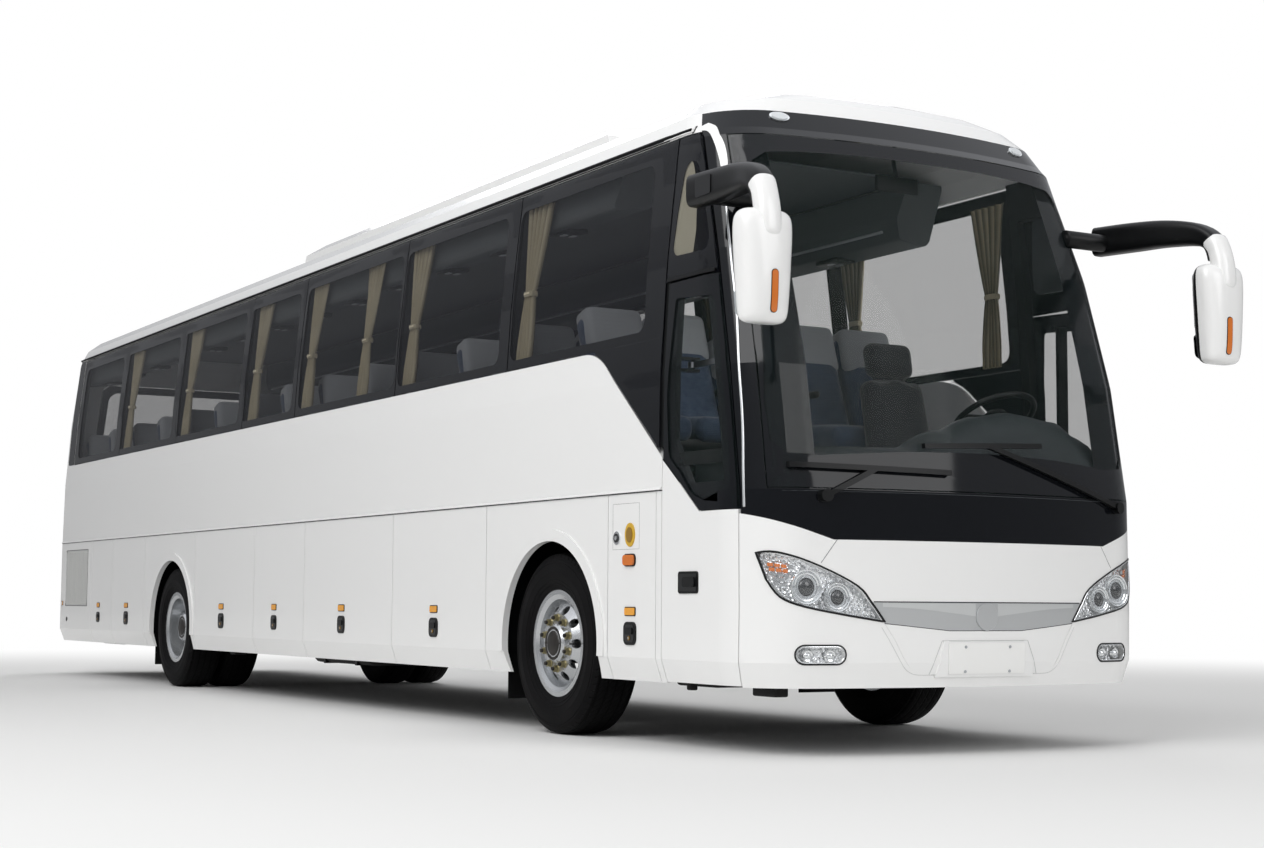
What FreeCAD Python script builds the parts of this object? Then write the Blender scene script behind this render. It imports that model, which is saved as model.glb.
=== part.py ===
"""Two-axle touring coach as a parametric assembly.

Frame: +X forward, +Y to the coach's left, +Z up, ground at z = 0, millimetres.
The driving dimensions are in the table SIZES and live in the spreadsheet "sizes".
Primitives and sketches are bound to its cells; the curved body panels are cut from one
lofted body form that reads the same cells.
"""
import FreeCAD, Part
import math
import os
import Sketcher

doc = FreeCAD.newDocument("coach")
sheet = doc.addObject("Spreadsheet::Sheet", "sizes")

# alias, value, meaning
SIZES = [
    ("front_axle_x", 4150, "front axle ahead of the frame's origin"),
    ("wheelbase", 7000, "front axle to rear axle"),
    ("front_overhang", 2250, "front axle to the nose"),
    ("rear_overhang", 3800, "rear axle to the tail"),
    ("body_width", 2530, "outside width of the side panels"),
    ("bead_radius", 10, "round moulding that is also the flap hinge pin"),
    ("gutter_width", 2300, "body width at the gutter"),
    ("belt_narrowing", 20, "how much narrower the body is at the belt"),
    ("skirt_tuck", 40, "how far the skirt's lower edge turns in, each side"),
    ("skirt_bottom", 330, "skirt edge above ground"),
    ("skirt_knee", 120, "height of the turned-in strip of the skirt"),
    ("moulding_z", 1312, "hinge line of the flaps"),
    ("belt_z", 2090, "lower edge of the window band"),
    ("gutter_z", 3152, "upper edge of the window band"),
    ("roof_z", 3450, "roof crown"),
    ("nose_radius", 4140, "plan radius of the front"),
    ("nose_corner", 374, "plan radius of the front corners"),
    ("tail_corner", 130, "plan radius of the rear corners"),
    ("mask_z", 1040, "lower edge of the black front panel"),
    ("mask_corner_z", 1165, "the same edge at the corners"),
    ("sill_z", 1284, "lower edge of the windscreen"),
    ("dome_z", 3118, "upper edge of the windscreen"),
    ("dome_top_z", 3266, "upper edge of the black dome"),
    ("screen_setback", 220, "windscreen edge behind the nose line"),
    ("pillar_width", 110, "white strip beside the windscreen"),
    ("wall", 40, "side wall, roof and front panel thickness"),
    ("post_depth", 60, "skin to the inner face of the window posts"),
    ("post_width", 90, "window post width"),
    ("glass", 8, "bonded glass thickness"),
    ("flap_thickness", 30, "flap and fixed skirt thickness"),
    ("gap", 6, "gap round flaps, door and lid"),
    ("seam", 6, "gap between side panes"),
    ("hinge_gap", 0.3, "clearance of a hinge or a seat on a moving body"),
    ("pin_gap", 0.05, "radial clearance of a turning fit"),
    ("tyre_radius", 506, "tyre outside radius"),
    ("tyre_width", 295, "tyre section width"),
    ("rim_radius", 298, "rim flange radius"),
    ("rim_width", 240, "rim width over the flanges"),
    ("track_half", 1087, "centre line of the outer tyres"),
    ("twin_pitch", 330, "outer to inner rear tyre"),
    ("arch_radius", 570, "wheel opening in the skirt"),
    ("arch_lip", 66, "width of the raised lip round the opening"),
    ("lip_proud", 10, "how far that lip stands out"),
    ("well_half", 640, "half length of a wheel well"),
    ("well_sheet", 12, "sheet of the wheel wells"),
    ("front_well_inner", 500, "inner wall of a front well from the centre line"),
    ("rear_well_inner", 560, "inner wall of a rear well from the centre line"),
    ("kingpin_half", 900, "kingpin from the centre line"),
    ("kingpin_radius", 22, "kingpin radius"),
    ("stub_radius", 45, "stub axle radius"),
    ("front_bay_ahead", 670, "front axle to the front service flap"),
    ("front_bay", 500, "front service flap width"),
    ("door_start", 1230, "front axle to the door's rear edge"),
    ("door_front_setback", 345, "door's front edge behind the nose line"),
    ("door_top", 2373, "top edge of the door"),
    ("step_z", 380, "first step"),
    ("platform_z", 1000, "driver's platform"),
    ("floor_z", 1330, "passenger floor"),
    ("floor_slab", 50, "thickness of the passenger floor"),
    ("hold_floor_z", 420, "luggage floor"),
    ("hold_slab", 24, "luggage floor thickness"),
    ("arm_length", 420, "door swing arm, post to pin"),
    ("arm_ahead", 1710, "door post ahead of the front axle"),
    ("arm_half", 1120, "door post from the centre line"),
    ("arm_tube", 20, "door post radius"),
    ("rail_half", 400, "chassis rail from the centre line"),
    ("rail_width", 60, "chassis rail width"),
    ("rail_bottom", 660, "underside of the chassis rails"),
    ("rail_height", 200, "chassis rail height"),
    ("tow_pin_radius", 20, "bore of the front tow jaw"),
    ("seat_pitch", 810, "row to row"),
    ("seat_pair_width", 855, "width of a pair of seats"),
    ("aisle_half", 230, "half width of the aisle"),
    ("seat_rows", 14, "rows of passenger seats"),
    ("lid_half", 960, "half width of the engine lid"),
    ("lid_bottom", 620, "lower edge of the engine lid"),
    ("lid_top", 1560, "hinge line of the engine lid"),
    ("pod_half", 850, "half width of the roof pod"),
    ("pod_length", 5000, "length of the roof pod"),
    ("pod_height", 170, "pod above the roof crown"),
]
for row, (alias, value, meaning) in enumerate(SIZES, 1):
    sheet.set("A%d" % row, meaning)
    sheet.set("B%d" % row, str(value))
    sheet.setAlias("B%d" % row, alias)
doc.recompute()


class Size:
    """A number together with the spreadsheet expression that gives it."""

    def __init__(self, value, text=None):
        self.value = float(value)
        self.text = text or "%.6f" % self.value

    def __float__(self):
        return self.value

    def __add__(self, other):
        other = sized(other)
        return Size(self.value + other.value, "(%s + %s)" % (self.text, other.text))

    def __sub__(self, other):
        other = sized(other)
        return Size(self.value - other.value, "(%s - %s)" % (self.text, other.text))

    def __mul__(self, other):
        other = sized(other)
        return Size(self.value * other.value, "(%s * %s)" % (self.text, other.text))

    def __truediv__(self, other):
        other = sized(other)
        return Size(self.value / other.value, "(%s / %s)" % (self.text, other.text))

    def __radd__(self, other):
        return sized(other) + self

    def __rsub__(self, other):
        return sized(other) - self

    def __rmul__(self, other):
        return sized(other) * self

    def __neg__(self):
        return Size(-self.value, "(-1 * %s)" % self.text)


def sized(item):
    return item if isinstance(item, Size) else Size(item)


def cell(alias):
    return Size(sheet.get(alias), "sizes." + alias)


class S:
    """Every cell of the sheet by its alias."""


for alias, value, meaning in SIZES:
    setattr(S, alias, cell(alias))

SIDES = (("right", -1), ("left", 1))
FRONT_AXLE = S.front_axle_x
REAR_AXLE = S.front_axle_x - S.wheelbase
NOSE = FRONT_AXLE + S.front_overhang
TAIL = REAR_AXLE - S.rear_overhang
HALF = S.body_width / 2
AXLE_Z = S.tyre_radius

nodes = {}


def node(label, thing):
    """Keep a document object as a finished sub-part."""
    thing.Label = label
    nodes[label] = thing
    return thing


def bind(thing, **values):
    """Bind properties of a document object to sheet expressions."""
    for name, value in values.items():
        thing.setExpression(name, sized(value).text)
    return thing


def locate(thing, position, rotation=None):
    """Place a document object at sheet-driven coordinates."""
    if rotation is not None:
        thing.Placement = FreeCAD.Placement(FreeCAD.Vector(0, 0, 0), rotation)
    for axis, value in zip("xyz", position):
        thing.setExpression("Placement.Base." + axis, sized(value).text)
    return thing


def box(name, low, high):
    """A block from its lowest to its highest corner."""
    thing = doc.addObject("Part::Box", name)
    bind(thing, Length=high[0] - low[0], Width=high[1] - low[1], Height=high[2] - low[2])
    return locate(thing, low)


ALONG = {
    "x": FreeCAD.Rotation(FreeCAD.Vector(0, 1, 0), 90),
    "y": FreeCAD.Rotation(FreeCAD.Vector(1, 0, 0), -90),
    "z": FreeCAD.Rotation(),
}


def rod(name, start, axis, radius, length):
    """A cylinder from its start point along a frame axis."""
    thing = doc.addObject("Part::Cylinder", name)
    bind(thing, Radius=radius, Height=length)
    return locate(thing, start, ALONG[axis])


def fuse(name, parts):
    thing = doc.addObject("Part::MultiFuse", name)
    thing.Shapes = parts
    return thing


def group(name, parts):
    """Like pieces of one body that do not touch."""
    thing = doc.addObject("Part::Compound", name)
    thing.Links = parts
    return thing


def cut(name, base, tool):
    thing = doc.addObject("Part::Cut", name)
    thing.Base = base
    thing.Tool = tool
    return thing


def made(name, shape):
    """A shape worked out from the sheet's values by Part's own functions."""
    thing = doc.addObject("Part::Feature", name)
    thing.Shape = shape
    return thing


# ---------------------------------------------------------------- sketched bodies

def plane_of(body, role):
    return [item for item in body.Origin.OriginFeatures if item.Role == role][0]


def profile(body, name, role, points):
    """A closed outline of straight edges, each corner bound to the sheet."""
    sketch = body.newObject("Sketcher::SketchObject", name)
    sketch.AttachmentSupport = [(plane_of(body, role), "")]
    sketch.MapMode = "FlatFace"
    corners = []
    for u, v in points:
        u, v = sized(u), sized(v)
        if not corners or math.hypot(u.value - corners[-1][0].value,
                                     v.value - corners[-1][1].value) > 0.01:
            corners.append((u, v))
    count = len(corners)
    for index in range(count):
        here, there = corners[index], corners[(index + 1) % count]
        sketch.addGeometry(Part.LineSegment(FreeCAD.Vector(here[0].value, here[1].value, 0),
                                            FreeCAD.Vector(there[0].value, there[1].value, 0)))
    for index in range(count):
        sketch.addConstraint(Sketcher.Constraint("Coincident", index, 2, (index + 1) % count, 1))
    for index, corner in enumerate(corners):
        for kind, value, axis in (("DistanceX", corner[0], -2), ("DistanceY", corner[1], -1)):
            if abs(value.value) < 1e-9:
                sketch.addConstraint(Sketcher.Constraint("PointOnObject", index, 1, axis))
            else:
                key = sketch.addConstraint(
                    Sketcher.Constraint(kind, -1, 1, index, 1, value.value))
                sketch.setExpression("Constraints[%d]" % key, value.text)
    return sketch


def turned(name, points):
    """A ring turned about the Y axis from (radius, y) points, at the origin."""
    body = doc.addObject("PartDesign::Body", name)
    outline = profile(body, name + "_profile", "XY_Plane", points)
    ring = body.newObject("PartDesign::Revolution", name + "_turn")
    ring.Profile = outline
    ring.ReferenceAxis = (outline, ["V_Axis"])
    ring.Angle = 360
    return body


# ---------------------------------------------------------------- the body form

# height, half width, nose set-back, tail set-in, lean of the surface in degrees
FORM = [
    (S.skirt_bottom, HALF - S.skirt_tuck, 30, 25, 0),
    (S.skirt_bottom + S.skirt_knee, HALF, 6, 0, 0),
    (S.mask_z - 340, HALF, 0, 0, 0),
    (S.moulding_z - 32, HALF, 6, 0, 0),
    (S.belt_z - 190, HALF - S.belt_narrowing * 0.4, 108, 15, 0),
    (S.belt_z + 410, HALF - 45, 270, 45, 0),
    (S.dome_z, S.gutter_width / 2 + 4, 505, 95, 6),
    (S.gutter_z + 8, S.gutter_width / 2 - 4, 545, 100, 10),
    (S.roof_z - 180, S.gutter_width / 2 - 55, 615, 130, 38),
    (S.roof_z - 95, S.gutter_width / 2 - 160, 690, 200, 64),
    (S.roof_z - 45, S.gutter_width / 2 - 350, 755, 330, 78),
    (S.roof_z - 12, S.gutter_width / 2 - 600, 850, 560, 84),
    (S.roof_z, S.gutter_width / 2 - 700, 1000, 800, 90),
]
BELOW = 60.0


def plan_outline(height, half, nose, tail, inset):
    """Plan wire of the body at one height: straight sides, round nose and corners."""
    big = float(S.nose_radius) - inset
    corner = float(S.nose_corner) - inset
    rear = float(S.tail_corner) - inset
    centre_y = half - corner
    centre_x = nose - big + math.sqrt((big - corner) ** 2 - centre_y ** 2)
    turn = math.asin(centre_y / (big - corner))

    def point(x, y):
        return FreeCAD.Vector(x, y, height)

    def on_corner(angle, side):
        return point(centre_x + corner * math.cos(angle),
                     side * (centre_y + corner * math.sin(angle)))

    def rear_corner(angle, side):
        return point(tail + rear - rear * math.cos(angle),
                     side * (half - rear + rear * math.sin(angle)))

    middle = (turn + math.pi / 2) / 2
    quarter, eighth = math.pi / 2, math.pi / 4
    edges = [
        Part.LineSegment(rear_corner(0, 1), rear_corner(0, -1)),
        Part.Arc(rear_corner(0, -1), rear_corner(eighth, -1), rear_corner(quarter, -1)),
        Part.LineSegment(rear_corner(quarter, -1), on_corner(quarter, -1)),
        Part.Arc(on_corner(quarter, -1), on_corner(middle, -1), on_corner(turn, -1)),
        Part.Arc(on_corner(turn, -1), point(nose, 0), on_corner(turn, 1)),
        Part.Arc(on_corner(turn, 1), on_corner(middle, 1), on_corner(quarter, 1)),
        Part.LineSegment(on_corner(quarter, 1), rear_corner(quarter, 1)),
        Part.Arc(rear_corner(quarter, 1), rear_corner(eighth, 1), rear_corner(0, 1)),
    ]
    return Part.Wire([edge.toShape() for edge in edges])


def body_form(inset=0.0):
    """The closed body form, moved in by an inset all round (its base stays open below)."""
    wires = []
    for index, (height, half, setback, setin, lean) in enumerate(FORM):
        across = inset * math.cos(math.radians(lean))
        down = inset * math.sin(math.radians(lean))
        drop = BELOW if inset and index == 0 else 0.0
        wires.append(plan_outline(float(height) - down - drop, float(half) - across,
                                  float(NOSE) - float(setback) - across,
                                  float(TAIL) + float(setin) + across, inset))
    return Part.makeLoft(wires, True, True)


forms = {}


def form(inset):
    """The body form at one inset, made once."""
    key = round(float(inset), 4)
    if key not in forms:
        forms[key] = body_form(key)
    return forms[key]


skins = {}


def skin(outer, inner):
    """The shell between two insets."""
    key = (round(float(outer), 4), round(float(inner), 4))
    if key not in skins:
        skins[key] = form(outer).cut(form(inner))
    return skins[key]


def nose_line(setback, low, high):
    """Points of the nose line in side view, moved back, between two heights."""
    table = [(float(height), float(NOSE) - float(back)) for height, half, back, setin, lean in FORM]

    def nose_at(height):
        for (z0, x0), (z1, x1) in zip(table, table[1:]):
            if z0 <= height <= z1:
                return x0 + (x1 - x0) * (height - z0) / (z1 - z0)
        return table[0][1]

    low, high = float(low), float(high)
    heights = [low] + [z for z, x in table if low < z < high] + [high]
    return [(nose_at(z) - float(setback), z) for z in heights]


FAR = 1600.0
AHEAD = float(NOSE) + 300.0
BEHIND = float(TAIL) - 300.0


def side_prism(points, side):
    """A side-view outline (x, z) swept across one half of the body."""
    corners = [FreeCAD.Vector(float(x), 0, float(z)) for x, z in points]
    face = Part.Face(Part.makePolygon(corners + corners[:1]))
    return face.extrude(FreeCAD.Vector(0, side * FAR, 0))


def front_prism(points, start, end):
    """A front-view outline (y, z) swept from one x to another."""
    corners = [FreeCAD.Vector(float(start), float(y), float(z)) for y, z in points]
    face = Part.Face(Part.makePolygon(corners + corners[:1]))
    return face.extrude(FreeCAD.Vector(float(end) - float(start), 0, 0))


def block(low, high):
    """A plain block between two corners given in numbers or sheet values."""
    low = [float(value) for value in low]
    high = [float(value) for value in high]
    return Part.makeBox(high[0] - low[0], high[1] - low[1], high[2] - low[2],
                        FreeCAD.Vector(*low))


def frame_of(x0, z0, x1, z1):
    return [(x0, z0), (x1, z0), (x1, z1), (x0, z1)]


def solids(shape):
    """Every solid of a boolean result, largest first."""
    return sorted(shape.Solids, key=lambda item: -item.Volume)


def together(shapes):
    """One compound of all the solids in several shapes."""
    return Part.makeCompound([item for shape in shapes for item in shape.Solids])


# ---------------------------------------------------------------- side layout

DOOR_REAR = FRONT_AXLE + S.door_start
BAND_REAR = TAIL + 400
BAND_LAP = 3.0
CORNER_X = TAIL + S.tail_corner
DIP_X = FRONT_AXLE + 500
DIP_LOW = (FRONT_AXLE + 1584, S.mask_corner_z)
DIP_SEAM = 4.0
DIP_ROUND = 400.0

# flap, rear edge, width: the last of each run takes what is left
HOLD_REAR = REAR_AXLE + 650
HOLD_FRONT = FRONT_AXLE - 810
BAYS = [
    ("hold_1", HOLD_REAR, HOLD_REAR + 1460),
    ("hold_2", HOLD_REAR + 1460, HOLD_REAR + 2530),
    ("hold_3", HOLD_REAR + 2530, HOLD_REAR + 4140),
    ("hold_4", HOLD_REAR + 4140, HOLD_FRONT),
    ("rear_1", REAR_AXLE - 2550, REAR_AXLE - 1820),
    ("rear_2", REAR_AXLE - 1820, REAR_AXLE - 780),
    ("front_1", FRONT_AXLE + S.front_bay_ahead, FRONT_AXLE + S.front_bay_ahead + S.front_bay),
]
LEFT_SKIPS = ("rear_1",)

# pane boundaries from the front, as offsets from the front axle
DIVIDERS = [DOOR_REAR - 30, FRONT_AXLE - 600, FRONT_AXLE - 2270, FRONT_AXLE - 4140,
            FRONT_AXLE - 5320, FRONT_AXLE - 7040, FRONT_AXLE - 8790, BAND_REAR]


def dip_x(height):
    """Where the black band's falling edge is at a height."""
    x0, z0 = float(DIP_X), float(S.belt_z)
    x1, z1 = float(DIP_LOW[0]), float(DIP_LOW[1])
    return x0 + (x1 - x0) * (z0 - height) / (z0 - z1)


def dip_z(x):
    """How high the black band's falling edge is at a station."""
    x0, z0 = float(DIP_X), float(S.belt_z)
    x1, z1 = float(DIP_LOW[0]), float(DIP_LOW[1])
    return z0 + (z1 - z0) * (float(x) - x0) / (x1 - x0)


def rounded_corner(prism, x, z, radius):
    """A side-view prism with the corner at (x, z) rounded."""
    corner = [edge for edge in prism.Edges
              if all(abs(vertex.X - x) < 0.01 and abs(vertex.Z - z) < 0.01
                     for vertex in edge.Vertexes)]
    return prism.makeFillet(radius, corner)


# ---------------------------------------------------------------- side walls and glazing

def side_wall(side):
    """White wall between the hinge line and the window band, with the hinge bead."""
    low, high = float(S.moulding_z), float(S.belt_z)
    end = DOOR_REAR - S.gap if side < 0 else sized(dip_x(low))
    outline = [(CORNER_X, low), (end, low), (end, dip_z(end)), (DIP_X, high), (CORNER_X, high)]
    if side > 0:
        outline.pop(2)
    outline_prism = rounded_corner(side_prism(outline, side), float(DIP_X), high, DIP_ROUND)
    wall = skin(0, S.wall).common(outline_prism)
    bead_end = float(end) if side < 0 else dip_x(low + float(S.bead_radius) + DIP_SEAM)
    bead = Part.makeCylinder(float(S.bead_radius), bead_end - float(CORNER_X),
                             FreeCAD.Vector(float(CORNER_X), side * float(HALF), low),
                             FreeCAD.Vector(1, 0, 0))
    return wall.fuse(bead)


def posts(side):
    """Window posts behind the glass, one at each pane boundary, and a header over the door."""
    half = float(S.post_width) / 2
    shell = skin(S.glass, S.post_depth)
    low, high = float(S.belt_z), float(S.gutter_z)
    made_posts = []
    for x in DIVIDERS:
        x = float(x)
        outline = frame_of(x - half, low, x + half, high)
        if x == float(BAND_REAR):
            outline = frame_of(x - BAND_LAP, low, x + half, high)
        if x == float(DIVIDERS[0]):
            outline = frame_of(x - half, dip_z(x - half), float(DOOR_REAR) - float(S.gap), high)
        made_posts.append(shell.common(side_prism(outline, side)))
    return together(made_posts)


def panes(side):
    """Bonded side glass: seven panes, the black dip below the first, and the front pane."""
    shell = skin(0, S.glass)
    seam = float(S.seam) / 2
    low, high = float(S.belt_z), float(S.gutter_z)
    made_panes = []
    for front, rear in zip(DIVIDERS, DIVIDERS[1:]):
        outline = frame_of(float(rear) + seam, low, float(front) - seam, high)
        made_panes.append(shell.common(side_prism(outline, side)))
    first = float(DIVIDERS[0])
    dip = frame_of(DIP_X - DIP_ROUND, dip_z(first - seam), first - seam, low - seam)
    under = [(DIP_X - 2 * DIP_ROUND, low + DIP_SEAM), (DIP_X, low + DIP_SEAM),
             (first, dip_z(first) + DIP_SEAM), (first, dip_z(first) - FAR),
             (DIP_X - 2 * DIP_ROUND, dip_z(first) - FAR)]
    under_prism = rounded_corner(side_prism(under, side), float(DIP_X), low + DIP_SEAM,
                                 DIP_ROUND + DIP_SEAM)
    made_panes.append(shell.common(side_prism(dip, side)).cut(under_prism))
    floor = float(S.door_top) + float(S.gap)
    base = floor if side < 0 else float(S.mask_corner_z)
    edge = nose_line(S.door_front_setback, base, high)
    lower = [(first + seam, floor)]
    if side > 0:
        lower = [(first + seam, dip_z(first + seam) + DIP_SEAM), (dip_x(base - DIP_SEAM), base)]
    made_panes.append(shell.common(side_prism(lower + edge + [(first + seam, high)], side)))
    return together(made_panes)


def header(side):
    """Frame behind the front side pane, over the door or round the driver's window."""
    shell = skin(S.glass, S.post_depth)
    first = float(DOOR_REAR) - float(S.gap)
    high = float(S.gutter_z)
    floor = float(S.door_top) + float(S.gap) if side < 0 else high - 220
    edge = nose_line(S.door_front_setback, floor, high)
    return shell.common(side_prism([(first, floor)] + edge + [(first, high)], side))


for name, side in SIDES:
    node("side_wall_" + name, made("wall_" + name, side_wall(side)))
node("window_posts", made("posts", together([posts(side).fuse(header(side))
                                             for name, side in SIDES])))
side_panes = [panes(side) for name, side in SIDES]


# ---------------------------------------------------------------- skirts and flaps

def arch_disc(axle, radius, side):
    return Part.makeCylinder(float(radius), FAR, FreeCAD.Vector(float(axle), 0, float(AXLE_Z)),
                             FreeCAD.Vector(0, side, 0))


def skirt(side):
    """Fixed lower panels: rear corner, both wheel arches with raised lips, door jamb."""
    shell = skin(0, S.flap_thickness)
    low, high = float(S.skirt_bottom), float(S.moulding_z)
    gap = float(S.gap) / 2
    edges = {name: (float(rear), float(front)) for name, rear, front in BAYS}
    rear_end = edges["rear_2"][0] if side > 0 else edges["rear_1"][0]
    spans = [(float(CORNER_X), rear_end - gap), (edges["rear_2"][1] + gap, float(HOLD_REAR) - gap),
             (float(HOLD_FRONT) + gap, edges["front_1"][0] - gap)]
    end = float(DOOR_REAR) - float(S.gap)
    if side < 0:
        spans.append((edges["front_1"][1] + gap, end))
    panels = [shell.common(side_prism(frame_of(start, low, stop, high), side))
              for start, stop in spans]
    if side > 0:
        start = edges["front_1"][1] + gap
        outline = [(start, low)] + [(x, z) for x, z in nose_line(S.door_front_setback, low,
                                                                 S.mask_corner_z)]
        outline += [(DIP_LOW[0], S.mask_corner_z), (dip_x(high), high), (start, high)]
        panels.append(shell.common(side_prism(outline, side)))
    lip_outer = float(S.arch_radius) + float(S.arch_lip)
    for index, axle in ((1, REAR_AXLE), (2, FRONT_AXLE)):
        lip = Part.makeCylinder(lip_outer, float(HALF) + float(S.lip_proud) - 1200,
                                FreeCAD.Vector(float(axle), side * 1200, float(AXLE_Z)),
                                FreeCAD.Vector(0, side, 0))
        lip = lip.cut(form(S.flap_thickness))
        lip = lip.common(block((BEHIND, -FAR, low + float(S.skirt_knee)), (AHEAD, FAR, high)))
        start, stop = spans[index]
        lip = lip.common(block((start, -FAR, low), (stop, FAR, high)))
        panels[index] = panels[index].fuse(lip).cut(arch_disc(axle, S.arch_radius, side))
    panels[0] = panels[0].cut(vent_block(side))
    moulding = Part.makeCylinder(float(S.bead_radius), AHEAD - BEHIND,
                                 FreeCAD.Vector(BEHIND, side * float(HALF), high),
                                 FreeCAD.Vector(1, 0, 0))
    return together([panel.cut(moulding) for panel in panels])


VENT_REAR, VENT_FRONT = TAIL + 305, REAR_AXLE - 2690
VENT_LOW, VENT_HIGH = 678.0, 1228.0
VENT_REACH = 60
VENT_PROUD = 2
# slats: width of the frame round them, pitch, open width
VENT_RAIL, VENT_PITCH, VENT_SLOT = 28.0, 62.0, 34.0


def vent_block(side):
    """The opening of the radiator grille in the rear corner panel."""
    return block((VENT_REAR, side * HALF - VENT_REACH, VENT_LOW),
                 (VENT_FRONT, side * HALF + VENT_REACH, VENT_HIGH))


def vent_grille(side):
    """Vertical slats between a top and a bottom rail, set in the opening."""
    whole = skin(VENT_PROUD, S.flap_thickness).common(vent_block(side))
    width = float(VENT_FRONT) - float(VENT_REAR)
    count = int((width - 2 * VENT_RAIL) // VENT_PITCH)
    start = float(VENT_REAR) + (width - count * VENT_PITCH + VENT_PITCH - VENT_SLOT) / 2
    slots = [block((start + index * VENT_PITCH, -FAR, VENT_LOW + VENT_RAIL),
                   (start + index * VENT_PITCH + VENT_SLOT, FAR, VENT_HIGH - VENT_RAIL))
             for index in range(count)]
    return whole.cut(Part.makeCompound(slots))


def flap(rear, front, side):
    """A lower flap, hooked round the hinge bead along its top edge."""
    gap = float(S.gap) / 2
    top = float(S.moulding_z)
    shell = skin(0, S.flap_thickness)
    leaf = shell.common(side_prism(frame_of(float(rear) + gap, S.skirt_bottom,
                                            float(front) - gap, top - float(S.gap)), side))
    hook_radius = float(S.bead_radius) + float(S.hinge_gap)
    bead = Part.makeCylinder(hook_radius, float(front) - float(rear),
                             FreeCAD.Vector(float(rear), side * float(HALF), top),
                             FreeCAD.Vector(1, 0, 0))
    return leaf.cut(bead)


for name, side in SIDES:
    node("skirt_" + name, made("skirt_panels_" + name, skirt(side)))
    for bay, rear, front in BAYS:
        if side > 0 and bay in LEFT_SKIPS:
            continue
        label = "flap_%s_%s" % (name, bay)
        node(label, made("leaf_" + label, flap(rear, front, side)))
node("vent_grilles", made("slats", together([vent_grille(side) for name, side in SIDES])))


# ---------------------------------------------------------------- front

def mask_edge(raise_by=0.0):
    """The V-shaped upper edge of the white front panel, from right to left."""
    low, high = float(S.mask_z) + raise_by, float(S.mask_corner_z) + raise_by
    return [(-FAR, high), (-1240, high), (-860, low), (860, low), (1240, high), (FAR, high)]


# headlamp outline in front view: its upper and its lower edge, from the inner to the outer tip
LAMP_TOP = [(595, 648), (664, 738), (738, 819), (932, 913), (1120, 977), (1195, 975)]
LAMP_LOW = [(595, 648), (780, 676), (1006, 718), (1112, 764), (1163, 849), (1195, 975)]
BAND = [(-597, 640), (-228, 605), (228, 605), (597, 640), (668, 742), (-668, 742)]
FOG_INNER, FOG_OUTER, FOG_Z, FOG_HALF = 842, 1006, 490, 45
# raised mount of the blank plate, and the pressed line from the band's corners round it
PLATE_MOUNT = [(-310, 380), (310, 380), (262, 556), (-262, 556)]
PLATE_PROUD = 8
PRESS_LINE = [(-592, 632), (-541, 561), (-487, 465), (-446, 414), (-392, 394), (-330, 388),
              (-320, 368), (320, 368), (330, 388), (392, 394), (446, 414), (487, 465),
              (541, 561), (592, 632)]
PRESS_WIDTH = 6
PRESS_DEPTH = 3


def pressed_line(points, width):
    """Narrow front-view prisms along a line, one from each point to the next."""
    runs = []
    for (y0, z0), (y1, z1) in zip(points, points[1:]):
        along = FreeCAD.Vector(0, y1 - y0, z1 - z0)
        along.normalize()
        out = FreeCAD.Vector(0, -along.z, along.y) * (width / 2)
        corners = [(y0 + out.y, z0 + out.z), (y1 + out.y, z1 + out.z),
                   (y1 - out.y, z1 - out.z), (y0 - out.y, z0 - out.z)]
        runs.append(front_prism(corners, float(NOSE) - 400, AHEAD))
    return runs


def front_region(side):
    """Everything ahead of the door line, in side view, for one half."""
    edge = nose_line(S.door_front_setback - S.gap, S.skirt_bottom, S.mask_corner_z)
    return side_prism(edge + [(AHEAD, S.mask_corner_z), (AHEAD, S.skirt_bottom)], side)


def lamp_prism(side):
    """The headlamp's front-view outline, two fair curves, swept along X."""
    start = float(NOSE) - 700
    edges = []
    for line in (LAMP_TOP, LAMP_LOW):
        curve = Part.BSplineCurve()
        curve.interpolate([FreeCAD.Vector(start, side * y, z) for y, z in line])
        edges.append(curve.toShape())
    face = Part.Face(Part.Wire(Part.__sortEdges__(edges)))
    return face.extrude(FreeCAD.Vector(AHEAD - start, 0, 0))


def fog_prism(side):
    """The fog lamp's long oval, swept along X."""
    start = float(NOSE) - 400
    along = FreeCAD.Vector(AHEAD - start, 0, 0)
    ends = [Part.makeCylinder(FOG_HALF, along.Length, FreeCAD.Vector(start, side * y, FOG_Z), along)
            for y in (FOG_INNER, FOG_OUTER)]
    low_y, high_y = sorted((side * FOG_INNER, side * FOG_OUTER))
    middle = block((start, low_y, FOG_Z - FOG_HALF), (AHEAD, high_y, FOG_Z + FOG_HALF))
    return middle.fuse(ends).removeSplitter()


front_shell = together([skin(0, S.wall).common(front_region(side)) for name, side in SIDES])
front_shell = solids(front_shell)[0].fuse(solids(front_shell)[1]).removeSplitter()
below_edge = front_prism(mask_edge() + [(FAR, 0), (-FAR, 0)], float(NOSE) - 900, AHEAD)
band_prism = front_prism(BAND, float(NOSE) - 500, AHEAD)
lamp_tools = [prism(side) for name, side in SIDES for prism in (lamp_prism, fog_prism)]
front_panel = front_shell.common(below_edge).cut(band_prism).cut(Part.makeCompound(lamp_tools))
press_runs = pressed_line(PRESS_LINE, PRESS_WIDTH)
press_tool = form(0).cut(form(PRESS_DEPTH)).common(press_runs[0].fuse(press_runs[1:]))
mount_prism = front_prism(PLATE_MOUNT, float(NOSE) - 400, AHEAD)
plate_mount = form(-PLATE_PROUD).cut(form(PRESS_DEPTH)).common(mount_prism)
front_panel = solids(front_panel.cut(press_tool).fuse(plate_mount))[0]
node("front_panel", made("bumper", front_panel))
band = front_shell.common(band_prism).cut(Part.makeCompound(lamp_tools))
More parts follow.
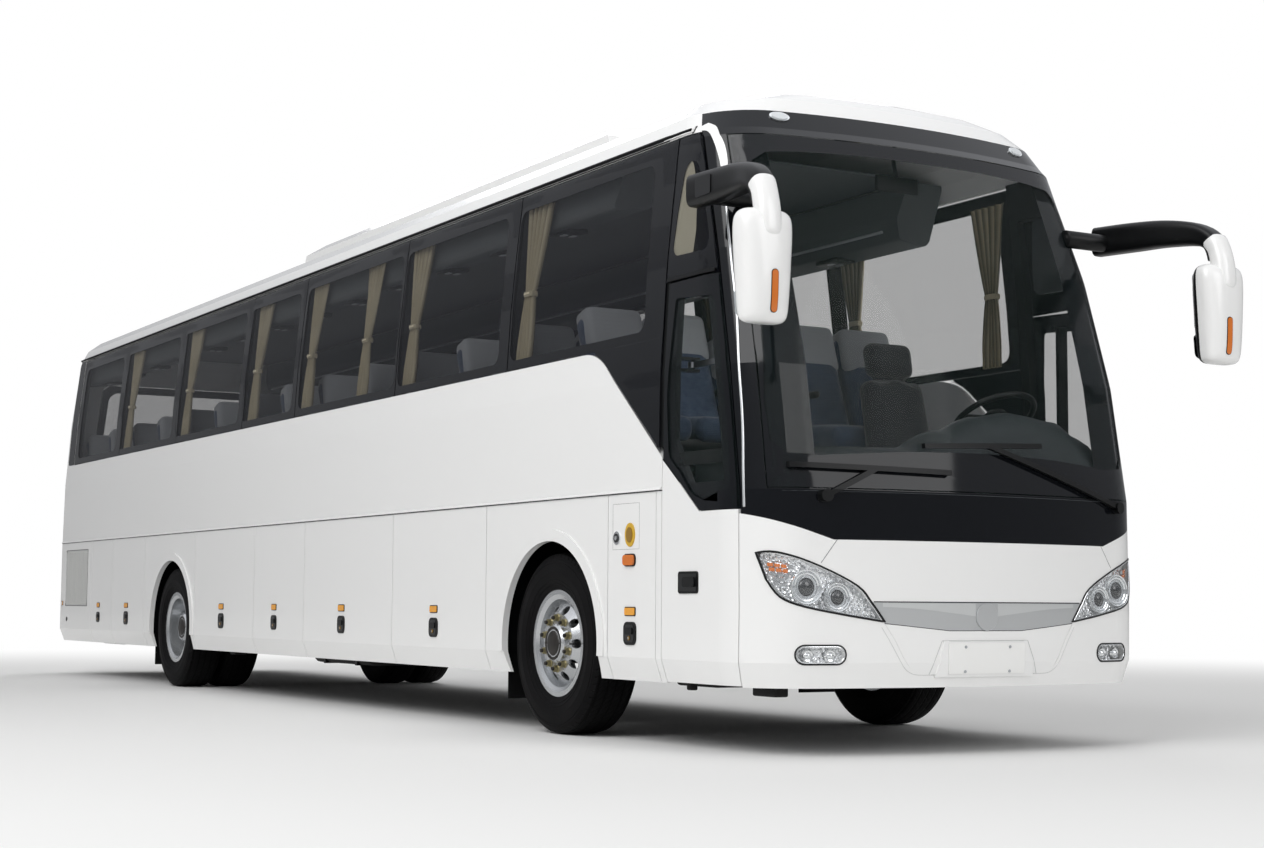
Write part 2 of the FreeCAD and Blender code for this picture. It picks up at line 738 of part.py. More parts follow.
node("lamp_band", made("band", solids(band)[0]))
node("front_lamps", made("lamps", together([front_shell.common(tool) for tool in lamp_tools])))


def between(setback, low, high, depth_from, depth_to):
    """Skin ahead of a set-back nose line, both sides, between two heights."""
    halves = []
    for name, side in SIDES:
        outline = nose_line(setback, low, high) + [(AHEAD, high), (AHEAD, low)]
        halves.append(skin(depth_from, depth_to).common(side_prism(outline, side)))
    return halves[0].fuse(halves[1]).removeSplitter()


above_edge = front_prism(mask_edge() + [(FAR, 4000), (-FAR, 4000)], float(NOSE) - 900, AHEAD)
black = between(S.screen_setback + S.pillar_width, S.mask_z, S.sill_z, 0, S.wall)
pillar_foot = [side_prism(nose_line(S.screen_setback + S.pillar_width, S.mask_corner_z, S.sill_z)
                          + nose_line(S.screen_setback, S.mask_corner_z, S.sill_z)[::-1], side)
               for name, side in SIDES]
black = black.common(above_edge).cut(Part.makeCompound(pillar_foot))
node("windscreen", made("screen", between(S.screen_setback, S.sill_z, S.dome_z, 0, 10)))
dome = between(S.screen_setback + S.pillar_width, S.dome_z, S.dome_top_z, 0, S.wall)
node("front_black_panels", made("black_panels", together([black, dome])))


def pillar(side):
    """White strip beside the windscreen with the rebate that carries the glass."""
    back = S.screen_setback + S.pillar_width
    strip = nose_line(back, S.mask_corner_z, S.dome_z) + \
        nose_line(S.screen_setback, S.mask_corner_z, S.dome_z)[::-1]
    rebate = nose_line(back, S.sill_z, S.dome_z) + \
        nose_line(S.screen_setback - 60, S.sill_z, S.dome_z)[::-1]
    face = skin(0, S.post_depth).common(side_prism(strip, side))
    seat = skin(10, S.post_depth).common(side_prism(rebate, side))
    return face.fuse(seat).removeSplitter()


node("windscreen_pillars", made("pillars", together([pillar(side) for name, side in SIDES])))

# ---------------------------------------------------------------- roof and rear

roof_cap = skin(0, S.wall).common(block((BEHIND, -FAR, S.gutter_z), (AHEAD, FAR, S.roof_z + 50)))
dome_zone = [side_prism(nose_line(S.screen_setback + S.pillar_width, S.gutter_z, S.dome_top_z)
                        + [(AHEAD, S.dome_top_z), (AHEAD, S.gutter_z)], side)
             for name, side in SIDES]
# gutter rail: rear end, front end, lower edge, height, how far it stands out
GUTTER_REAR, GUTTER_FRONT = TAIL + 220, DOOR_REAR + 90
GUTTER_LOW, GUTTER_RAIL, GUTTER_PROUD = S.gutter_z + 8, 26, 10
gutters = [form(-GUTTER_PROUD).cut(form(S.glass)).common(
    side_prism(frame_of(GUTTER_REAR, GUTTER_LOW, GUTTER_FRONT, GUTTER_LOW + GUTTER_RAIL), side))
    for name, side in SIDES]
roof_shell = roof_cap.cut(Part.makeCompound(dome_zone)).fuse(gutters)
node("roof", made("roof_shell", solids(roof_shell)[0]))

POD_FRONT = REAR_AXLE + 1950 + S.pod_length
POD_REAR = REAR_AXLE + 1950


# section of the pod: in from its side, height above the roof crown
POD_SECTION = [(0, -80), (0, 20), (110, 95), (420, S.pod_height)]
# its ends in side view: in from the rear, in from the front, height above the crown
POD_ENDS = [(0, 0, -80), (50, 60, 20), (320, 420, S.pod_height)]
# lengthwise grooves: in from the side, height above the crown
POD_GROOVES = [(180, 117), (330, 153)]
POD_GROOVE = 14.0
POD_GROOVE_START = 300


def roof_pod():
    """Air-conditioner housing: crowned section with two lengthwise grooves each side."""
    half, crown = float(S.pod_half), float(S.roof_z)
    right = [(-half + inward, crown + float(rise)) for inward, rise in POD_SECTION]
    left = [(-y, z) for y, z in right[::-1]]
    body = front_prism(right + left, POD_REAR, POD_FRONT)
    rear_end = [(POD_REAR + rear, crown + float(rise)) for rear, front, rise in POD_ENDS]
    front_end = [(POD_FRONT - front, crown + float(rise)) for rear, front, rise in POD_ENDS]
    slopes = [side_prism(rear_end + front_end[::-1], side) for name, side in SIDES]
    pod = body.common(slopes[0].fuse(slopes[1])).cut(form(0))
    length = float(S.pod_length) - 2 * POD_GROOVE_START
    grooves = [Part.makeCylinder(POD_GROOVE, length,
                                 FreeCAD.Vector(float(POD_REAR) + POD_GROOVE_START,
                                                side * (half - inward), crown + rise),
                                 FreeCAD.Vector(1, 0, 0))
               for inward, rise in POD_GROOVES for name, side in SIDES]
    return solids(pod.cut(Part.makeCompound(grooves)))[0]


node("roof_pod", made("pod", roof_pod()))

rear_outline = [(BEHIND, S.skirt_bottom), (CORNER_X, S.skirt_bottom), (CORNER_X, S.belt_z),
                (BAND_REAR - BAND_LAP, S.belt_z), (BAND_REAR - BAND_LAP, S.gutter_z),
                (BEHIND, S.gutter_z)]
rear_shell = together([skin(0, S.wall).common(side_prism(rear_outline, side))
                       for name, side in SIDES])
rear_shell = solids(rear_shell)[0].fuse(solids(rear_shell)[1]).removeSplitter()
REAR_WINDOW = [(-880, 2180), (880, 2180), (960, 2260), (900, 2900), (820, 2960), (-820, 2960),
               (-900, 2900), (-960, 2260)]
TAIL_LAMP = [(1020, 880), (1150, 880), (1165, 900), (1150, 1500), (1040, 1500), (1010, 1470)]
window_prism = front_prism(REAR_WINDOW, BEHIND, float(TAIL) + 600)
lamp_prisms = [front_prism([(side * y, z) for y, z in TAIL_LAMP], BEHIND, float(TAIL) + 600)
               for name, side in SIDES]
lid_prism = block((BEHIND, -S.lid_half - S.gap, S.lid_bottom - S.gap),
                  (float(TAIL) + 200, S.lid_half + S.gap, S.lid_top))
rear_panel = rear_shell.cut(window_prism).cut(Part.makeCompound(lamp_prisms)).cut(lid_prism)
lid_bead = Part.makeCylinder(float(S.bead_radius), 2 * float(S.lid_half) + 2 * float(S.gap),
                             FreeCAD.Vector(float(TAIL), -float(S.lid_half) - float(S.gap),
                                            float(S.lid_top)), FreeCAD.Vector(0, 1, 0))
node("rear_panel", made("tail_panel", rear_panel.fuse(lid_bead)))
node("body_glass", made("panes", together(side_panes + [skin(0, 10).common(window_prism)])))
node("tail_lamps", made("tail_light", together([skin(0, S.wall).common(tool)
                                                for tool in lamp_prisms])))


# air slots of the lid: how many, half width, lowest edge, height, pitch
LID_SLOTS, LID_SLOT_HALF, LID_SLOT_LOW, LID_SLOT, LID_SLOT_PITCH = 6, 700, 760, 26, 60


def engine_lid():
    """Rear lid hooked round its hinge bead."""
    leaf = skin(0, S.wall).common(block((BEHIND, -S.lid_half, S.lid_bottom),
                                        (float(TAIL) + 200, S.lid_half, S.lid_top - S.gap)))
    hook = Part.makeCylinder(float(S.bead_radius) + float(S.hinge_gap), 2 * FAR,
                             FreeCAD.Vector(float(TAIL), -FAR, float(S.lid_top)),
                             FreeCAD.Vector(0, 1, 0))
    slots = []
    for index in range(LID_SLOTS):
        low = LID_SLOT_LOW + index * LID_SLOT_PITCH
        slots.append(block((BEHIND, -LID_SLOT_HALF, low),
                           (float(TAIL) + 200, LID_SLOT_HALF, low + LID_SLOT)))
    return leaf.cut(hook).cut(Part.makeCompound(slots))


node("engine_lid", made("lid", engine_lid()))

# ---------------------------------------------------------------- door and its arm

door_edge = nose_line(S.door_front_setback, S.skirt_bottom + S.gap, S.door_top)
door_outline = [(DOOR_REAR, S.skirt_bottom + S.gap)] + door_edge + [(DOOR_REAR, S.door_top)]
split_low = [(DOOR_REAR, dip_z(DOOR_REAR)), (DIP_LOW[0], S.mask_corner_z + 20)]
glass_edge = nose_line(S.door_front_setback, S.mask_corner_z + 20, S.door_top)
door_glass_outline = split_low + glass_edge + [(DOOR_REAR, S.door_top)]
inner_edge = nose_line(S.door_front_setback + 95, 1330, S.door_top - 90)
aperture = [(DOOR_REAR + 100, 1560), (DOOR_REAR + 260, 1330)] + inner_edge + \
    [(DOOR_REAR + 100, S.door_top - 90)]

ARM_X = FRONT_AXLE + S.arm_ahead
PIN_X = ARM_X - S.arm_length
ARM_Y = -S.arm_half
ARM_LEVELS = (700.0, 1950.0)
EYE = 26.0
PIN = 10.0
ARM_THICK = 30.0


def door_panel():
    whole = skin(0, S.wall).common(side_prism(door_outline, -1))
    rebate = skin(0, S.glass).common(side_prism(door_glass_outline, -1))
    panel = whole.cut(rebate).cut(side_prism(aperture, -1))
    for level in ARM_LEVELS:
        for offset in (-ARM_THICK, ARM_THICK):
            ear = block((float(PIN_X) - EYE, float(ARM_Y) - 130, level + offset - 8),
                        (float(PIN_X) + EYE, float(ARM_Y) + EYE, level + offset + 8))
            panel = panel.fuse(ear.common(form(S.wall - 2)))
        pin = Part.makeCylinder(PIN, 2 * ARM_THICK, FreeCAD.Vector(float(PIN_X), float(ARM_Y),
                                                                  level - ARM_THICK))
        panel = panel.fuse(pin)
    return panel.removeSplitter()


def door_arm():
    post = Part.makeCylinder(float(S.arm_tube), 1640,
                             FreeCAD.Vector(float(ARM_X), float(ARM_Y), 420))
    arm = post
    for level in ARM_LEVELS:
        low = level - ARM_THICK / 2
        bar = block((float(PIN_X), float(ARM_Y) - 12, low),
                    (float(ARM_X), float(ARM_Y) + 12, low + ARM_THICK))
        eye = Part.makeCylinder(EYE, ARM_THICK, FreeCAD.Vector(float(PIN_X), float(ARM_Y), low))
        bore = Part.makeCylinder(PIN + float(S.pin_gap), ARM_THICK + 2,
                                 FreeCAD.Vector(float(PIN_X), float(ARM_Y), low - 1))
        arm = arm.fuse(bar).fuse(eye).cut(bore)
    return arm.removeSplitter()


node("door_panel", made("door_leaf", door_panel()))
node("door_glass", made("door_pane", skin(0, S.glass).common(side_prism(door_glass_outline, -1))))
node("door_arm", made("swing_arm", door_arm()))

# ---------------------------------------------------------------- floors, hold, wells

INNER = HALF - S.wall
PLATFORM_REAR = FRONT_AXLE + 730
FLOOR_REAR = TAIL + 60

floor_parts = [
    box("deck_rear", (FLOOR_REAR, -INNER, S.floor_z - S.floor_slab),
        (PLATFORM_REAR, INNER, S.floor_z)),
    box("deck_riser", (PLATFORM_REAR - S.wall, -INNER, S.platform_z - S.floor_slab),
        (PLATFORM_REAR, INNER, S.floor_z - S.floor_slab)),
]
WELL_TOP = S.floor_z - S.floor_slab
WELL_BOTTOM = S.skirt_bottom + S.skirt_knee
AXLE_PASSAGE = 160
wells = []
for name, side in SIDES:
    for place_name, axle, inner in (("front", FRONT_AXLE, S.front_well_inner),
                                    ("rear", REAR_AXLE, S.rear_well_inner)):
        outer = HALF - S.flap_thickness
        low_y, high_y = (inner, outer) if side > 0 else (-outer, -inner)
        label = "well_%s_%s" % (place_name, name)
        shell_box = box(label, (axle - S.well_half, low_y, WELL_BOTTOM),
                        (axle + S.well_half, high_y, WELL_TOP))
        inside_low = low_y + S.well_sheet if side > 0 else low_y - 50
        inside_high = high_y + 50 if side > 0 else high_y - S.well_sheet
        hollow = box(label + "_inside", (axle - S.well_half + S.well_sheet, inside_low,
                                         WELL_BOTTOM - 100),
                     (axle + S.well_half - S.well_sheet, inside_high, WELL_TOP - S.well_sheet))
        passage = box(label + "_passage", (axle - AXLE_PASSAGE, low_y, WELL_BOTTOM - 100),
                      (axle + AXLE_PASSAGE, high_y, AXLE_Z + AXLE_PASSAGE))
        wells.append(cut(label + "_sheet", shell_box, fuse(label + "_opening",
                                                           [hollow, passage])))
node("wheel_wells", group("wells", wells))

doc.recompute()


WELL_SIDE = -560.0
SECOND_RISER = -880.0
TREAD = 30.0
CHEEK = 20.0


def front_floor():
    """Driver's platform, the step well inside the door and its two treads, plate by plate."""
    inside = form(S.wall + S.gap)
    top, slab = float(S.platform_z), float(S.floor_slab)
    rear, front = float(PLATFORM_REAR), float(NOSE) - 120
    well_rear, well_front = float(DOOR_REAR) - 20, float(ARM_X) + 130
    sheet_side = -float(INNER) + 15
    low = float(S.step_z) - TREAD
    middle = (top + float(S.step_z)) / 2
    plates = [
        block((rear, WELL_SIDE, top - slab), (front, FAR, top)),
        block((rear, -FAR, top - slab), (well_rear - CHEEK, WELL_SIDE, top)),
        block((well_front + CHEEK, -FAR, top - slab), (front, WELL_SIDE, top)),
        block((well_rear, sheet_side, low), (well_front, SECOND_RISER, float(S.step_z))),
        block((well_rear, SECOND_RISER, low), (well_front, SECOND_RISER + CHEEK, middle)),
        block((well_rear, SECOND_RISER + CHEEK, middle - TREAD), (well_front, WELL_SIDE, middle)),
        block((well_rear, WELL_SIDE, middle - TREAD), (well_front, WELL_SIDE + CHEEK, top - slab)),
        block((well_rear - CHEEK, sheet_side, low), (well_rear, WELL_SIDE, top)),
        block((well_front, sheet_side, low), (well_front + CHEEK, WELL_SIDE, top)),
    ]
    plates = [plate.common(inside) for plate in plates]
    socket = Part.makeCylinder(float(S.arm_tube) + 18, 60,
                               FreeCAD.Vector(float(ARM_X), float(ARM_Y), float(S.step_z)))
    bore = Part.makeCylinder(float(S.arm_tube) + float(S.pin_gap), 60,
                             FreeCAD.Vector(float(ARM_X), float(ARM_Y), float(S.step_z) + 40))
    plates[3] = plates[3].fuse(socket).cut(bore)
    return plates


deck_plates = [part.Shape.common(form(S.wall)) for part in floor_parts]
node("cabin_floor", made("floor_pan", together(deck_plates + front_floor())))

hold = [
    box("hold_floor", (HOLD_REAR, -INNER + 40, S.hold_floor_z - S.hold_slab),
        (HOLD_FRONT, INNER - 40, S.hold_floor_z)),
    box("hold_rear_wall", (HOLD_REAR, -INNER + 40, S.hold_floor_z - S.hold_slab),
        (HOLD_REAR + 30, INNER - 40, S.floor_z - S.floor_slab)),
    box("hold_front_wall", (HOLD_FRONT - 30, -INNER + 40, S.hold_floor_z - S.hold_slab),
        (HOLD_FRONT, INNER - 40, S.floor_z - S.floor_slab)),
]
node("luggage_hold", fuse("hold", hold))

# ---------------------------------------------------------------- chassis, axles, engine

RAIL_TOP = S.rail_bottom + S.rail_height
JACK_PAD = 12
JACK_HALF = 60
CROSS_LOW, CROSS_HIGH, CROSS_WIDTH = S.rail_bottom + 20, S.rail_bottom + 140, 60
# each straight piece of the frame touches the next, as its bolted joints do
frame_parts = []
for name, side in SIDES:
    low_y = S.rail_half if side > 0 else -S.rail_half - S.rail_width
    for run, rear, front in (("front", HOLD_FRONT, NOSE - 420), ("rear", TAIL + 120, HOLD_REAR)):
        frame_parts.append(box("rail_%s_%s" % (run, name), (rear, low_y, S.rail_bottom),
                               (front, low_y + S.rail_width, RAIL_TOP)))
    for run, x in (("front", FRONT_AXLE + 570), ("rear", REAR_AXLE - 750)):
        frame_parts.append(box("jack_pad_%s_%s" % (run, name),
                               (x - JACK_HALF, low_y, S.rail_bottom - JACK_PAD),
                               (x + JACK_HALF, low_y + S.rail_width, S.rail_bottom)))
# cross-member, its rear face
CROSSINGS = [("nose", NOSE - 480), ("front_axle", FRONT_AXLE + 500),
             ("front_hold", HOLD_FRONT + 40), ("rear_hold", HOLD_REAR - 100),
             ("rear_axle", REAR_AXLE - 560), ("tail", TAIL + 120)]
for name, x in CROSSINGS:
    frame_parts.append(box("cross_" + name, (x, -S.rail_half, CROSS_LOW),
                           (x + CROSS_WIDTH, S.rail_half, CROSS_HIGH)))
TOW_X = NOSE - 390
TOW_HALF = 70
tow_jaw = box("nose_tow_jaw", (NOSE - 480 + CROSS_WIDTH, -TOW_HALF, CROSS_LOW),
              (TOW_X + 60, TOW_HALF, S.rail_bottom + 60))
tow_bore = rod("tow_bore", (TOW_X, 0, S.rail_bottom), "z", S.tow_pin_radius, 100)
frame_parts.append(cut("nose_tow_eye", tow_jaw, tow_bore))
node("chassis_frame", group("frame", frame_parts))

node("engine", box("engine_block", (TAIL + 260, -S.rail_half, 480),
                   (TAIL + 1500, S.rail_half, 1200)))

KING = S.kingpin_half
front_axle_parts = [
    box("axle_beam", (FRONT_AXLE - 50, -KING + 80, AXLE_Z - 150),
        (FRONT_AXLE + 50, KING - 80, AXLE_Z - 50)),
]
for name, side in SIDES:
    near = side * KING
    front_axle_parts.append(rod("king_boss_" + name, (FRONT_AXLE, near, AXLE_Z - 58), "z", 42,
                                116))
    for part, reach, start, low, high in (("arm", 140, 76, -150, 58), ("neck", 110, 0, -58, 58)):
        inner = near - side * reach
        outer = near - side * start
        low_y, high_y = (inner, outer) if side > 0 else (outer, inner)
        front_axle_parts.append(box("king_%s_%s" % (part, name),
                                    (FRONT_AXLE - 36, low_y, AXLE_Z + low),
                                    (FRONT_AXLE + 36, high_y, AXLE_Z + high)))
    front_axle_parts.append(rod("air_bag_front_" + name,
                                (FRONT_AXLE, side * S.rail_half, AXLE_Z - 60), "z", 90,
                                S.rail_bottom - AXLE_Z + 60))
axle_raw = fuse("front_axle_raw", front_axle_parts)
king_bores = [rod("king_bore_" + name, (FRONT_AXLE, side * KING, AXLE_Z - 200), "z",
                  S.kingpin_radius + S.pin_gap, 400) for name, side in SIDES]
node("front_axle", cut("front_axle_bored", axle_raw, group("king_bores", king_bores)))

SPINDLE_END = S.track_half + 30
rear_parts = [rod("axle_tube", (REAR_AXLE, -SPINDLE_END + 420, AXLE_Z), "y", 80,
                  2 * SPINDLE_END - 840),
              rod("spindle", (REAR_AXLE, -SPINDLE_END, AXLE_Z), "y", S.stub_radius,
                  2 * SPINDLE_END)]
diff = doc.addObject("Part::Sphere", "differential")
bind(diff, Radius=210)
locate(diff, (REAR_AXLE, 0, AXLE_Z))
rear_parts.append(diff)
for name, side in SIDES:
    rear_parts.append(rod("air_bag_rear_" + name,
                          (REAR_AXLE, side * S.rail_half, AXLE_Z), "z", 90,
                          S.rail_bottom - AXLE_Z))
node("rear_axle", fuse("rear_axle_case", rear_parts))

# ---------------------------------------------------------------- knuckles and wheels

for name, side in SIDES:
    near = side * KING
    stub_length = S.track_half - KING + 50
    parts = [
        rod("kingpin_" + name, (FRONT_AXLE, near, AXLE_Z - 110), "z", S.kingpin_radius, 220),
        box("yoke_top_" + name, (FRONT_AXLE - 45, near - 45, AXLE_Z + 65.0),
            (FRONT_AXLE + 45, near + 45, AXLE_Z + 105)),
        box("yoke_low_" + name, (FRONT_AXLE - 45, near - 45 + 0, AXLE_Z - 105),
            (FRONT_AXLE + 45, near + 45, AXLE_Z - 65.0)),
    ]
    plate_low = near + 50 if side > 0 else near - 80
    parts.append(box("yoke_back_" + name, (FRONT_AXLE - 45, plate_low, AXLE_Z - 105),
                     (FRONT_AXLE + 45, plate_low + 30, AXLE_Z + 105)))
    for level_name, level in (("top", AXLE_Z + 65), ("low", AXLE_Z - 105)):
        link_low = near + 40 if side > 0 else near - 55
        parts.append(box("yoke_link_%s_%s" % (level_name, name),
                         (FRONT_AXLE - 45, link_low, level),
                         (FRONT_AXLE + 45, link_low + 15, level + 40)))
    stub_from = near + 50 if side > 0 else near - 50 - stub_length
    parts.append(rod("stub_" + name, (FRONT_AXLE, stub_from, AXLE_Z), "y", S.stub_radius,
                     stub_length))
    node("knuckle_" + name, fuse("knuckle_body_" + name, parts))

HALF_TYRE = S.tyre_width / 2
HALF_RIM = S.rim_width / 2
SHOULDER = 40.0


def tyre_ring(name, centre):
    """Tyre cross-section: bead, bulging wall, shoulder and slightly crowned tread."""
    r, rim = S.tyre_radius, S.rim_radius
    c = sized(centre)
    half = [(rim - 19, HALF_RIM - 18), (rim + 1, HALF_RIM - 12), (rim + 5, HALF_RIM + 4),
            (rim + 55, HALF_TYRE - 5), (rim + 100, HALF_TYRE), (r - SHOULDER, HALF_TYRE - 8),
            (r - 8, HALF_TYRE - 28), (r, HALF_TYRE - 62)]
    points = [(radius, c - reach) for radius, reach in half]
    points += [(radius, c + reach) for radius, reach in half[::-1]]
    return turned(name, points)


# hand holes of a wheel disc: how many, their centres' circle, their radius
HAND_HOLES, HAND_CIRCLE, HAND_RADIUS = 10, 190, 26


def holed(body, name):
    """Round hand holes through a wheel disc, as a polar pattern of one pocket."""
    plane = plane_of(body, "XZ_Plane")
    sketch = body.newObject("Sketcher::SketchObject", name + "_hole")
    sketch.AttachmentSupport = [(plane, "")]
    sketch.MapMode = "FlatFace"
    sketch.addGeometry(Part.Circle(FreeCAD.Vector(HAND_CIRCLE, 0, 0),
                                   FreeCAD.Vector(0, 0, 1), HAND_RADIUS))
    sketch.addConstraint(Sketcher.Constraint("DistanceX", -1, 1, 0, 3, HAND_CIRCLE))
    sketch.addConstraint(Sketcher.Constraint("PointOnObject", 0, 3, -1))
    sketch.addConstraint(Sketcher.Constraint("Radius", 0, HAND_RADIUS))
    pocket = body.newObject("PartDesign::Pocket", name + "_pocket")
    pocket.Profile = sketch
    pocket.Length = 2 * S.track_half.value + 2 * FAR
    pocket.Midplane = True
    pattern = body.newObject("PartDesign::PolarPattern", name + "_pattern")
    pattern.Originals = [pocket]
    axis = [item for item in body.Origin.OriginFeatures if item.Role == "Y_Axis"][0]
    pattern.Axis = (axis, [""])
    pattern.Angle = 360
    pattern.Occurrences = HAND_HOLES
    body.Tip = pattern
    return body


def rim_points(centre, side, face, hub):
    """Half section of a rim: flanged barrel, dished disc with its flat face at one depth
    outside or inside the tyre's centre, and the hub (radius, start, end, cap) if it has one."""
    c, f = sized(centre), sized(face)
    w, t = HALF_RIM, 14
    flange, drop = S.rim_radius, S.rim_radius - 40
    lean = 1 if f.value > c.value else -1
    root = c + lean * 50
    barrel = [(drop - 12, root + 9), (drop - 12, c + w - 14), (flange - 26, c + w),
              (flange, c + w), (flange, c + w - 12), (flange - 20, c + w - 18), (drop, c + 30),
              (drop, c - 30), (flange - 20, c - w + 18), (flange, c - w + 12), (flange, c - w),
              (flange - 26, c - w), (drop - 12, c - w + 14), (drop - 12, root - 9)]
    radius, start, end, cap = hub
    if start is None:
        centre_part = [(172, f), (radius, f), (radius, f + t), (172, f + t)]
    else:
        bore = S.stub_radius + S.pin_gap
        centre_part = [(172, f), (radius, f), (radius, start), (bore, start), (bore, end),
                       (0, end), (0, end + cap), (radius - 14, end + cap),
                       (radius, end + cap - 14), (radius, f + t), (172, f + t)]
    points = barrel + centre_part
    if side < 0:
        points = [(distance, -1 * sized(y)) for distance, y in points]
    return points


for name, side in SIDES:
    tyre = tyre_ring("front_tyre_ring_" + name, side * S.track_half)
    locate(tyre, (FRONT_AXLE, 0, AXLE_Z))
    node("front_tyre_" + name, tyre)
    points = rim_points(S.track_half, side, S.track_half + 106,
                        (110, S.track_half - 60, S.track_half + 118, 32))
    rim = turned("front_rim_ring_" + name, points)
    holed(rim, "front_rim_" + name)
    locate(rim, (FRONT_AXLE, 0, AXLE_Z))
    node("front_rim_" + name, rim)

doc.recompute()
for name, side in SIDES:
    tyres, rims = [], []
    for index, offset in enumerate((0, 1)):
        centre = S.track_half - offset * S.twin_pitch
        tyre = tyre_ring("rear_tyre_ring_%s_%d" % (name, index), side * centre)
        locate(tyre, (REAR_AXLE, 0, AXLE_Z))
        tyres.append(tyre)
    node("rear_tyres_" + name, group("rear_tyre_pair_" + name, tyres))
    middle = S.track_half - S.twin_pitch / 2
    outer = turned("rear_rim_outer_" + name,
                   rim_points(S.track_half, side, middle,
                              (120, middle - 150, S.track_half + 40, 32)))
    holed(outer, "rear_outer_" + name)
    inner_points = rim_points(S.track_half - S.twin_pitch, side, middle - 14,
                              (120, None, None, None))
    inner_rim = turned("rear_rim_inner_" + name, inner_points)
    holed(inner_rim, "rear_inner_" + name)
    pair = fuse("rear_rim_pair_" + name, [outer, inner_rim])
    locate(pair, (REAR_AXLE, 0, AXLE_Z))
    node("rear_rims_" + name, pair)

# ---------------------------------------------------------------- cabin furniture

inside = form(S.post_depth)


# side profile of a passenger seat: ahead of its station, above the floor
SEAT_PROFILE = [(-20, 0), (400, 0), (430, 300), (450, 440), (40, 400), (-190, 1130),
                (-290, 1110), (-90, 330)]
# side profile of the driver's seat, above the platform
DRIVER_PROFILE = [(-220, 0), (220, 0), (240, 320), (260, 440), (-120, 400), (-260, 1130),
                  (-350, 1110), (-250, 330)]
# the gap between the two backs of a pair: its width, its lower end above the floor
BACK_GAP, BACK_GAP_LOW = 36, 480


def seat_form(outline, x, floor, low_y, high_y):
    """A seat's closed side profile swept across its width."""
    corners = [FreeCAD.Vector(x + px, low_y, floor + pz) for px, pz in outline]
    face = Part.Face(Part.makePolygon(corners + corners[:1]))
    return face.extrude(FreeCAD.Vector(0, high_y - low_y, 0))


def seat_pair(x, low_y, high_y):
    """Two seats on one boxed frame, with a gap between their backs."""
    middle = (low_y + high_y) / 2
    gap = block((x - 400, middle - BACK_GAP / 2, S.floor_z + BACK_GAP_LOW),
                (x + 400, middle + BACK_GAP / 2, S.floor_z + 1200))
    return seat_form(SEAT_PROFILE, x, float(S.floor_z), low_y, high_y).cut(gap)


seat_start = float(FLOOR_REAR) + 420
low_half = float(S.aisle_half) + 20
high_half = low_half + float(S.seat_pair_width)
seats = []
for row in range(int(float(S.seat_rows))):
    x = seat_start + row * float(S.seat_pitch)
    for name, side in SIDES:
        span = (low_half, high_half) if side > 0 else (-high_half, -low_half)
        seats.append(seat_pair(x, *span))
node("passenger_seats", made("seats", Part.makeCompound(seats)))

driver_x = float(FRONT_AXLE) + 1010
DRIVER_SEAT_Y = (360, 860)
node("driver_seat", made("driver_seat_form", seat_form(DRIVER_PROFILE, driver_x,
                                                       float(S.platform_z), *DRIVER_SEAT_Y)))

dash = block((float(NOSE) - 640, -430, S.platform_z), (AHEAD, FAR, float(S.sill_z) + 30))
scoop = block((float(NOSE) - 900, 300, S.platform_z), (float(NOSE) - 420, 900, 1225))
node("dashboard", made("dash_block", dash.common(inside).cut(scoop)))

STEER_RADIUS, STEER_GRIP, STEER_SPOKE, STEER_COLUMN = 225, 16, 14, 34
wheel_centre = FreeCAD.Vector(float(NOSE) - 640, 600, 1740)
tilt = FreeCAD.Vector(-0.5, 0, 0.866)
ring = Part.makeTorus(STEER_RADIUS, STEER_GRIP, wheel_centre, tilt)
spoke = Part.makeCylinder(STEER_SPOKE, 2 * STEER_RADIUS,
                          wheel_centre - FreeCAD.Vector(0, STEER_RADIUS, 0),
                          FreeCAD.Vector(0, 1, 0))
foot = FreeCAD.Vector(wheel_centre.x + 250, 600, 1290)
column_way = foot - wheel_centre
column = Part.makeCylinder(STEER_COLUMN, column_way.Length, wheel_centre, column_way)
wheel = ring.fuse(spoke).fuse(column)
node("steering_wheel", made("wheel_and_column", wheel.cut(nodes["dashboard"].Shape)))

RACK_INNER, RACK_LOW, CEILING_Z, CEILING_SHEET = 820, 2830, 3250, 12
racks = []
for name, side in SIDES:
    y0, y1 = (RACK_INNER, FAR) if side > 0 else (-FAR, -RACK_INNER)
    rack = block((float(FLOOR_REAR) + 200, y0, RACK_LOW),
                 (float(FRONT_AXLE) + 600, y1, CEILING_Z + CEILING_SHEET))
    racks.append(rack.common(inside))
ceiling = block((float(FLOOR_REAR) + 200, -RACK_INNER, CEILING_Z),
                (float(FRONT_AXLE) + 600, RACK_INNER, CEILING_Z + CEILING_SHEET))
node("luggage_racks", made("racks", together(racks + [ceiling])))

CURTAIN_HALF = 130
CURTAIN_INSET = 105
curtains = []
curtain_shell = form(S.post_depth + S.hinge_gap).cut(form(CURTAIN_INSET))
for name, side in SIDES:
    for x in DIVIDERS[1:-1]:
        outline = frame_of(x - CURTAIN_HALF, S.belt_z + 20, x + CURTAIN_HALF,
                           RACK_LOW - S.hinge_gap)
        curtains.append(curtain_shell.common(side_prism(outline, side)))
node("curtains", made("curtain_bundles", together(curtains)))

# ---------------------------------------------------------------- mirrors, wipers, flaps


SQUARENESS = 1.16
MIRROR_Y = 1420
MIRROR_BACK = NOSE + 105


